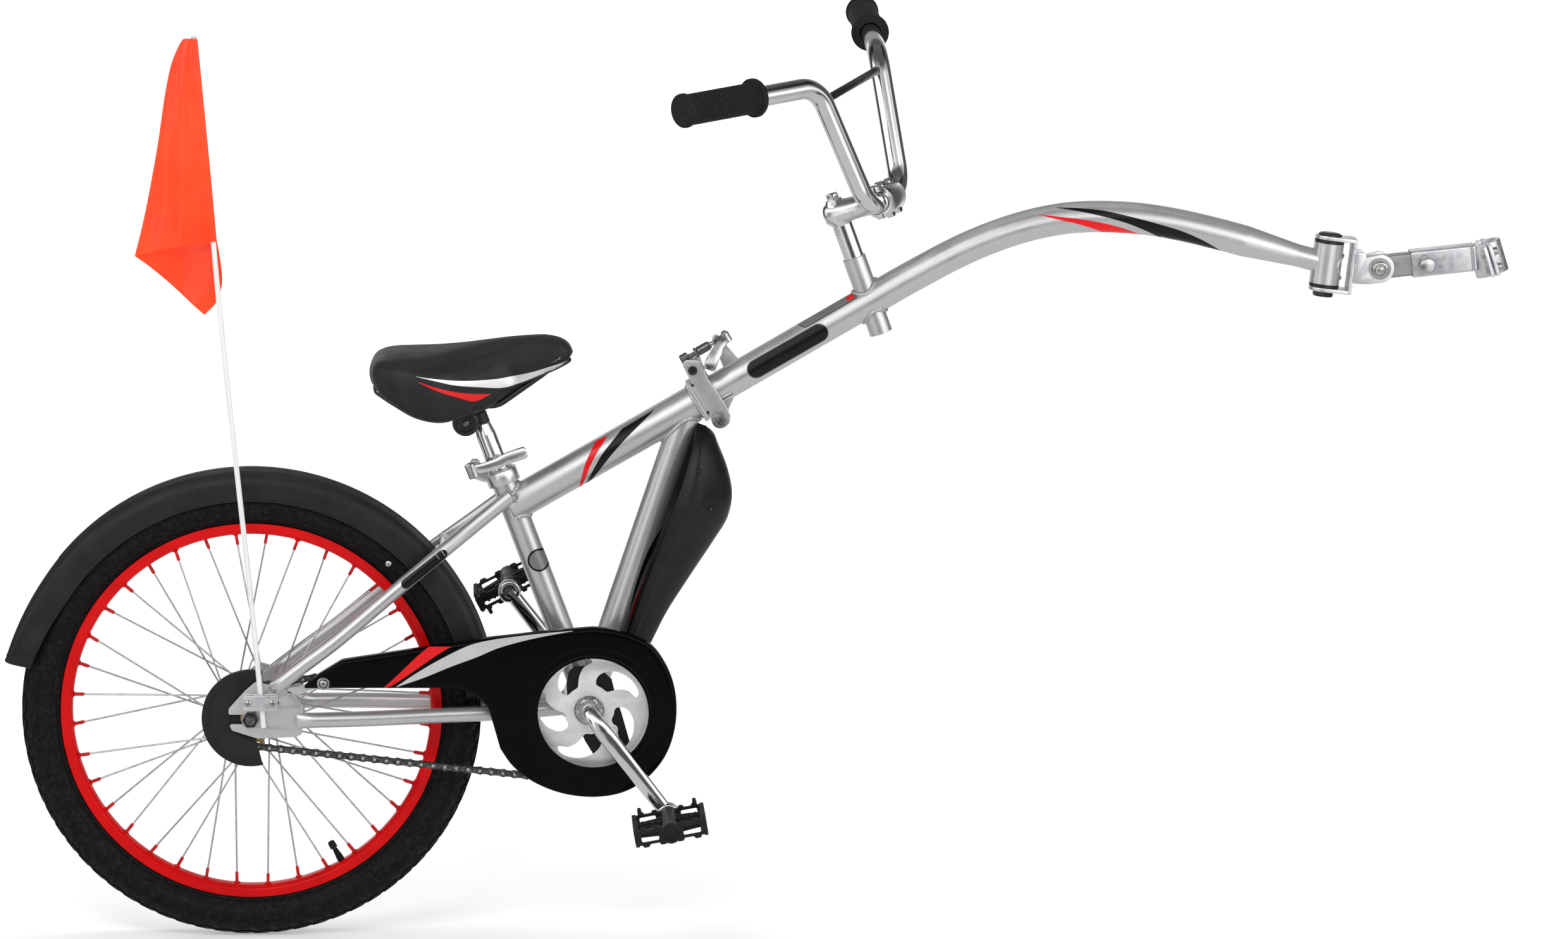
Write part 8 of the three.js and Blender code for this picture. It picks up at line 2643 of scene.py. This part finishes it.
def splash_guard():
    rows4 = smooth_line(SPLASH, 110)
    qs = np.sin(np.linspace(-math.pi / 2, math.pi / 2, 61))
    grid = np.zeros((len(rows4), len(qs), 3))
    for i, (z, f, b, w) in enumerate(rows4):
        for j, q in enumerate(qs):
            x = b + (f - b) * (1 - abs(q) ** 2.2)
            # a raised margin just inside the edge, and a shallow valley beside it
            m = math.exp(-((abs(q) - 0.93) / 0.035) ** 2) * 1.4 - math.exp(-((abs(q) - 0.84) / 0.05) ** 2) * 0.9
            grid[i, j] = (x + m * 0.8, w * q, z)
    du = np.gradient(grid, axis=1)
    dv = np.gradient(grid, axis=0)
    nrm = np.cross(du, dv)
    nrm /= np.maximum(np.linalg.norm(nrm, axis=2, keepdims=True), 1e-9)
    if nrm[50, 30, 0] < 0:
        nrm = -nrm
    back = grid - nrm * 2.6
    rows = []
    for i in range(len(rows4)):
        edge_l = (grid[i, 0] + back[i, 0]) / 2 + vec(0, -0.5, 0)
        edge_r = (grid[i, -1] + back[i, -1]) / 2 + vec(0, 0.5, 0)
        rows.append(np.vstack([grid[i], edge_r[None], back[i][::-1], edge_l[None]]))
    g = Geo().add(skin(rows), 0)
    # hem along both sides
    for j in (0, -1):
        path = (grid[:, j] + back[:, j]) / 2
        g.add(tube(smooth_line(path[::4], 120), 1.7, 10), 0)
    for i in (0, -1):
        g.add(tube(smooth_line(((grid[i] + back[i]) / 2)[::3], 60), 1.6, 10), 0)
    # two boss bumps and a rimmed bolt hole on the drive side
    axis_pts = grid[:, :, :]

    def spot(xp, yp):
        y = -30.0
        for _ in range(6):
            q = px(xp, yp, y)
            flat_ = axis_pts[:, :30].reshape(-1, 3)
            k = int(np.argmin((flat_[:, 0] - q[0]) ** 2 + (flat_[:, 2] - q[1]) ** 2))
            y = flat_[k][1]
        i, j = divmod(k, 30)
        return axis_pts[i, j], nrm[i, j]

    for xp, yp, r in ((1105.5, 747, 3.4), (1114, 797, 3.2)):
        c, n = spot(xp, yp)
        g.add(revolve([(0, 1.9), (r * 0.5, 1.7), (r * 0.85, 1.1), (r, 0.1), (r, -1.2)], c, n, 30), 0)
    c, n = spot(1127, 804)
    g.add(revolve([(2.0, -0.8), (2.0, 0.9), (2.6, 1.5), (3.6, 1.5), (4.3, 0.8), (4.5, -0.8)], c, n, 36, loop=False), 0)
    # a dark disc inside the rim closes the hole: painted shade for its depth
    g.add(revolve([(0, 0.2), (2.1, 0.2)], c, n, 24), 1)
    # the peg that holds it to the down tube
    g.add(rod((470.5, 0, 478), (524, 0, 478), 6, 36), 0)
    make("splash_guard_shell", g, [moulded, dark_steel], "rear_frame", "guard_satin", "splash_guard", angle=50)


splash_guard()

# ---------------------------------------------------------------- flag and its pole
POLE = [(-53.2, 1002.5), (-40, 848), (-27.6, 694.2), (-13.3, 543.7), (1.4, 394), (14.4, 244.7)]
# orange flag film; its faint emission is a painted glow that keeps the film bright whatever light falls on it
_ = Mat("flag_film_painted_glow", (0.96, 0.055, 0.008), 0.26, 0.0, Specular_IOR_Level=0.3, Coat_Weight=0.15, Coat_Roughness=0.1, Emission_Strength=0.1, Emission_Color=(1.0, 0.06, 0.008, 1))
_.tint(_.noise(14, 4, 0.6), [(0.86, 0.04, 0.006), (0.97, 0.056, 0.008), (1.0, 0.07, 0.011)], 0.3, 0.7).roughness(_.noise(24, 4), 0.18, 0.34)
_.bump(_.noise(26, 3, 0.55, distort=0.8), 0.22, 0.004).bump(_.noise(1600, 2), 0.05, 0.0001)
flag_film_painted_glow = _.m


def flag():
    pole = smooth_line([(x, POLE_Y, z) for x, z in POLE], 160)
    g = Geo().add(tube(pole, 2.9, 28), 0)
    g.add(revolve([(0, 0.8), (1.6, 0.6), (2.6, 0), (2.9, -1), (2.9, -3)], pole[0], unit(pole[0] - pole[1]), 28), 0)
    make("flag_pole_rod", g, pole_white, "rear_frame", "pole_white", "flag_pole")

    pole_x = lambda z: float(np.interp(z, pole[::-1, 2], pole[::-1, 0]))
    fold = smooth_line([(-63.5, 999.5, 0), (-66.5, 996.5, 0), (-76.5, 975, 0), (-84, 943, 0), (-92.5, 889, 0), (-102, 838, 0), (-109, 805, 0), (-119.3, 764, 0)], 90)
    rear = smooth_line([(-58, 997, 0), (-52, 950, 0), (-44, 880, 0), (-34, 800, 0), (-26.5, 752, 0), (-25.8, 733, 0), (-32, 713, 0), (-45, 699, 0)], 90)
    n_t = 90
    rows = []
    for i in range(n_t):
        t = i / (n_t - 1)
        z0 = 999.5 - t * 219.5  # height where this row leaves the sleeve
        cx = pole_x(z0)
        row = []
        # stitched overlap behind the pole, then round it and over its front
        for k in np.linspace(-10, -2.6, 6):
            row.append(vec(cx + k, POLE_Y + 3.75 - 0.05 * (k + 2.6), z0 - 0.2))
        for a in np.linspace(112, -112, 15):
            row.append(vec(cx + 3.75 * math.cos(rad(a)), POLE_Y + 3.75 * math.sin(rad(a)), z0))
        F, R = fold[i], rear[i]
        start = row[-1]
        wid = abs(F[0] - start[0])
        amp = 0.25 + 0.75 * t
        n1 = 34
        for k in range(1, n1 + 1):
            v = k / n1
            p = start + (vec(F[0], -62.5, F[1]) - start) * v
            # one sharp crease, a hollow beside it and a belly at the hem
            crease = -3.2 * amp * max(0, 1 - abs(v - 0.42) / 0.13) ** 1.0
            hollow = 2.2 * amp * math.exp(-((v - 0.7) / 0.14) ** 2)
            belly = -5.0 * t * t * math.sin(math.pi * v)
            ripple = 0.7 * math.sin(9 * v + 11 * t) * min(1, wid / 30) * math.sin(math.pi * v)
            p[1] += crease + hollow + belly + ripple - 1.0 * math.sin(math.pi * v)
            p[2] += 2.2 * t * math.sin(math.pi * v)
            if v > 0.9:  # rounds the fold
                p[1] -= 1.5 * amp * math.sin((v - 0.9) / 0.1 * math.pi)
            row.append(p)
        n2 = 36
        s2 = row[-1]
        for k in range(1, n2 + 1):
            v = k / n2
            p = s2 + (vec(R[0], -58.8, R[1]) - s2) * v
            p[1] += 5.0 * amp * math.sin(math.pi * min(1, v * 1.15)) + 1.4 * amp * math.sin(3 * math.pi * v + 3 * t) * v
            if v < 0.08:
                p[0] -= 0.3 * amp * math.sin(v / 0.08 * math.pi)
            p[2] += 3.0 * t * math.sin(math.pi * v) * (1 - v)
            row.append(p)
        rows.append(np.array(row))
    v, f = skin(rows, caps=False, ring=False)
    pts = np.array(rows)
    area = 0.0
    for i in range(n_t - 1):
        a, b, c = pts[i, :-1], pts[i, 1:], pts[i + 1, :-1]
        d = pts[i + 1, 1:]
        area += (np.linalg.norm(np.cross(b - a, c - a), axis=1) + np.linalg.norm(np.cross(c - d, b - d), axis=1)).sum() / 2
    flag_ob = make("safety_flag", (v, f), flag_film_painted_glow, "rear_frame", "flag_orange", "flag", angle=50)
    so = flag_ob.modifiers.new("thickness", "SOLIDIFY")
    so.thickness, so.offset = 0.0004, 0.0
    # the flat pennant: as long as the sleeve edge, as wide at the foot as the two panels and the sleeve together
    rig.sheet(flag_ob, flat=(0.235, 0.236), held="hung", rests_on=["flag_pole_rod"], area=round(area / 1e6, 5))

    # stitched seam beside the sleeve
    g = Geo()
    for k in range(4, 84):
        t = k / 88
        i = min(n_t - 2, int(t * (n_t - 1)))
        c = pts[i, 24] + vec(0, -0.35, 0)
        d = unit(pts[i + 1, 24] - pts[i, 24])
        if k % 2 == 0:
            g.add(rod(c - d * 0.95, c + d * 0.95, 0.28, 8, 0.1), 0)
    make("flag_seam", g, flag_film_painted_glow, "rear_frame", "flag_orange")

    # clamp: two bent plates round the pole with two cross-head screws, on the axle's end
    g = Geo()
    out = corners([(-8, 264), (30, 264), (30, 281), (-8, 281)], 3.2, 5)
    holes = [circle((-2.2, 272.5), 2.3, 20), circle((24.6, 272.5), 2.3, 20)]
    g.add(side_slab(out, -71.5, -69.7, 0.5, holes), 0)
    g.add(side_slab(out, -61.3, -59.5, 0.5, holes), 0)
    cx = pole_x(272.5)
    g.add(side_slab(corners([(cx - 7.2, 264.6), (cx - 3.4, 264.6), (cx - 3.4, 280.4), (cx - 7.2, 280.4)], 0.6, 3), -70.4, -60.6, 0.5), 0)
    g.add(side_slab(corners([(cx + 3.4, 264.6), (cx + 7.2, 264.6), (cx + 7.2, 280.4), (cx + 3.4, 280.4)], 0.6, 3), -70.4, -60.6, 0.5), 0)
    for x in (-2.2, 24.6):
        c = vec(x, -71.5, 272.5)
        g.add(revolve([(0, 2.1), (1.6, 2.0), (3.0, 1.5), (3.7, 0.7), (3.8, 0)], c, -Y, 32), 1)
        g.add(rod(vec(x, -71, 272.5), vec(x, -58.4, 272.5), 2.1, 20), 1)
        g.add(nut(vec(x, -59.5, 272.5), Y, 7.0, 1.4), 1)
        # the cross in each screw head is two thin dark bars on the dome: painted shade for the recess
        for a in (0.4 + x, 0.4 + x + math.pi / 2):
            g.add(brick(c + vec(0, -1.9, 0), ((math.cos(a), 0, math.sin(a)), (-math.sin(a), 0, math.cos(a)), Y), (2.3, 0.4, 0.35), 0.1), 2)
    make("flag_bracket", g, [zinc, bolt_zinc, dark_steel], "rear_frame", "zinc", "flag_clamp")


flag()


# ---------------------------------------------------------------- finish
with open("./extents.json", "w") as size_file:
    plain = lambda box: [[float(c) for c in corner] for corner in box]
    json.dump({"cad_box": plain(cad_box), "finished_box": plain(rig.bounds())}, size_file, indent=1)
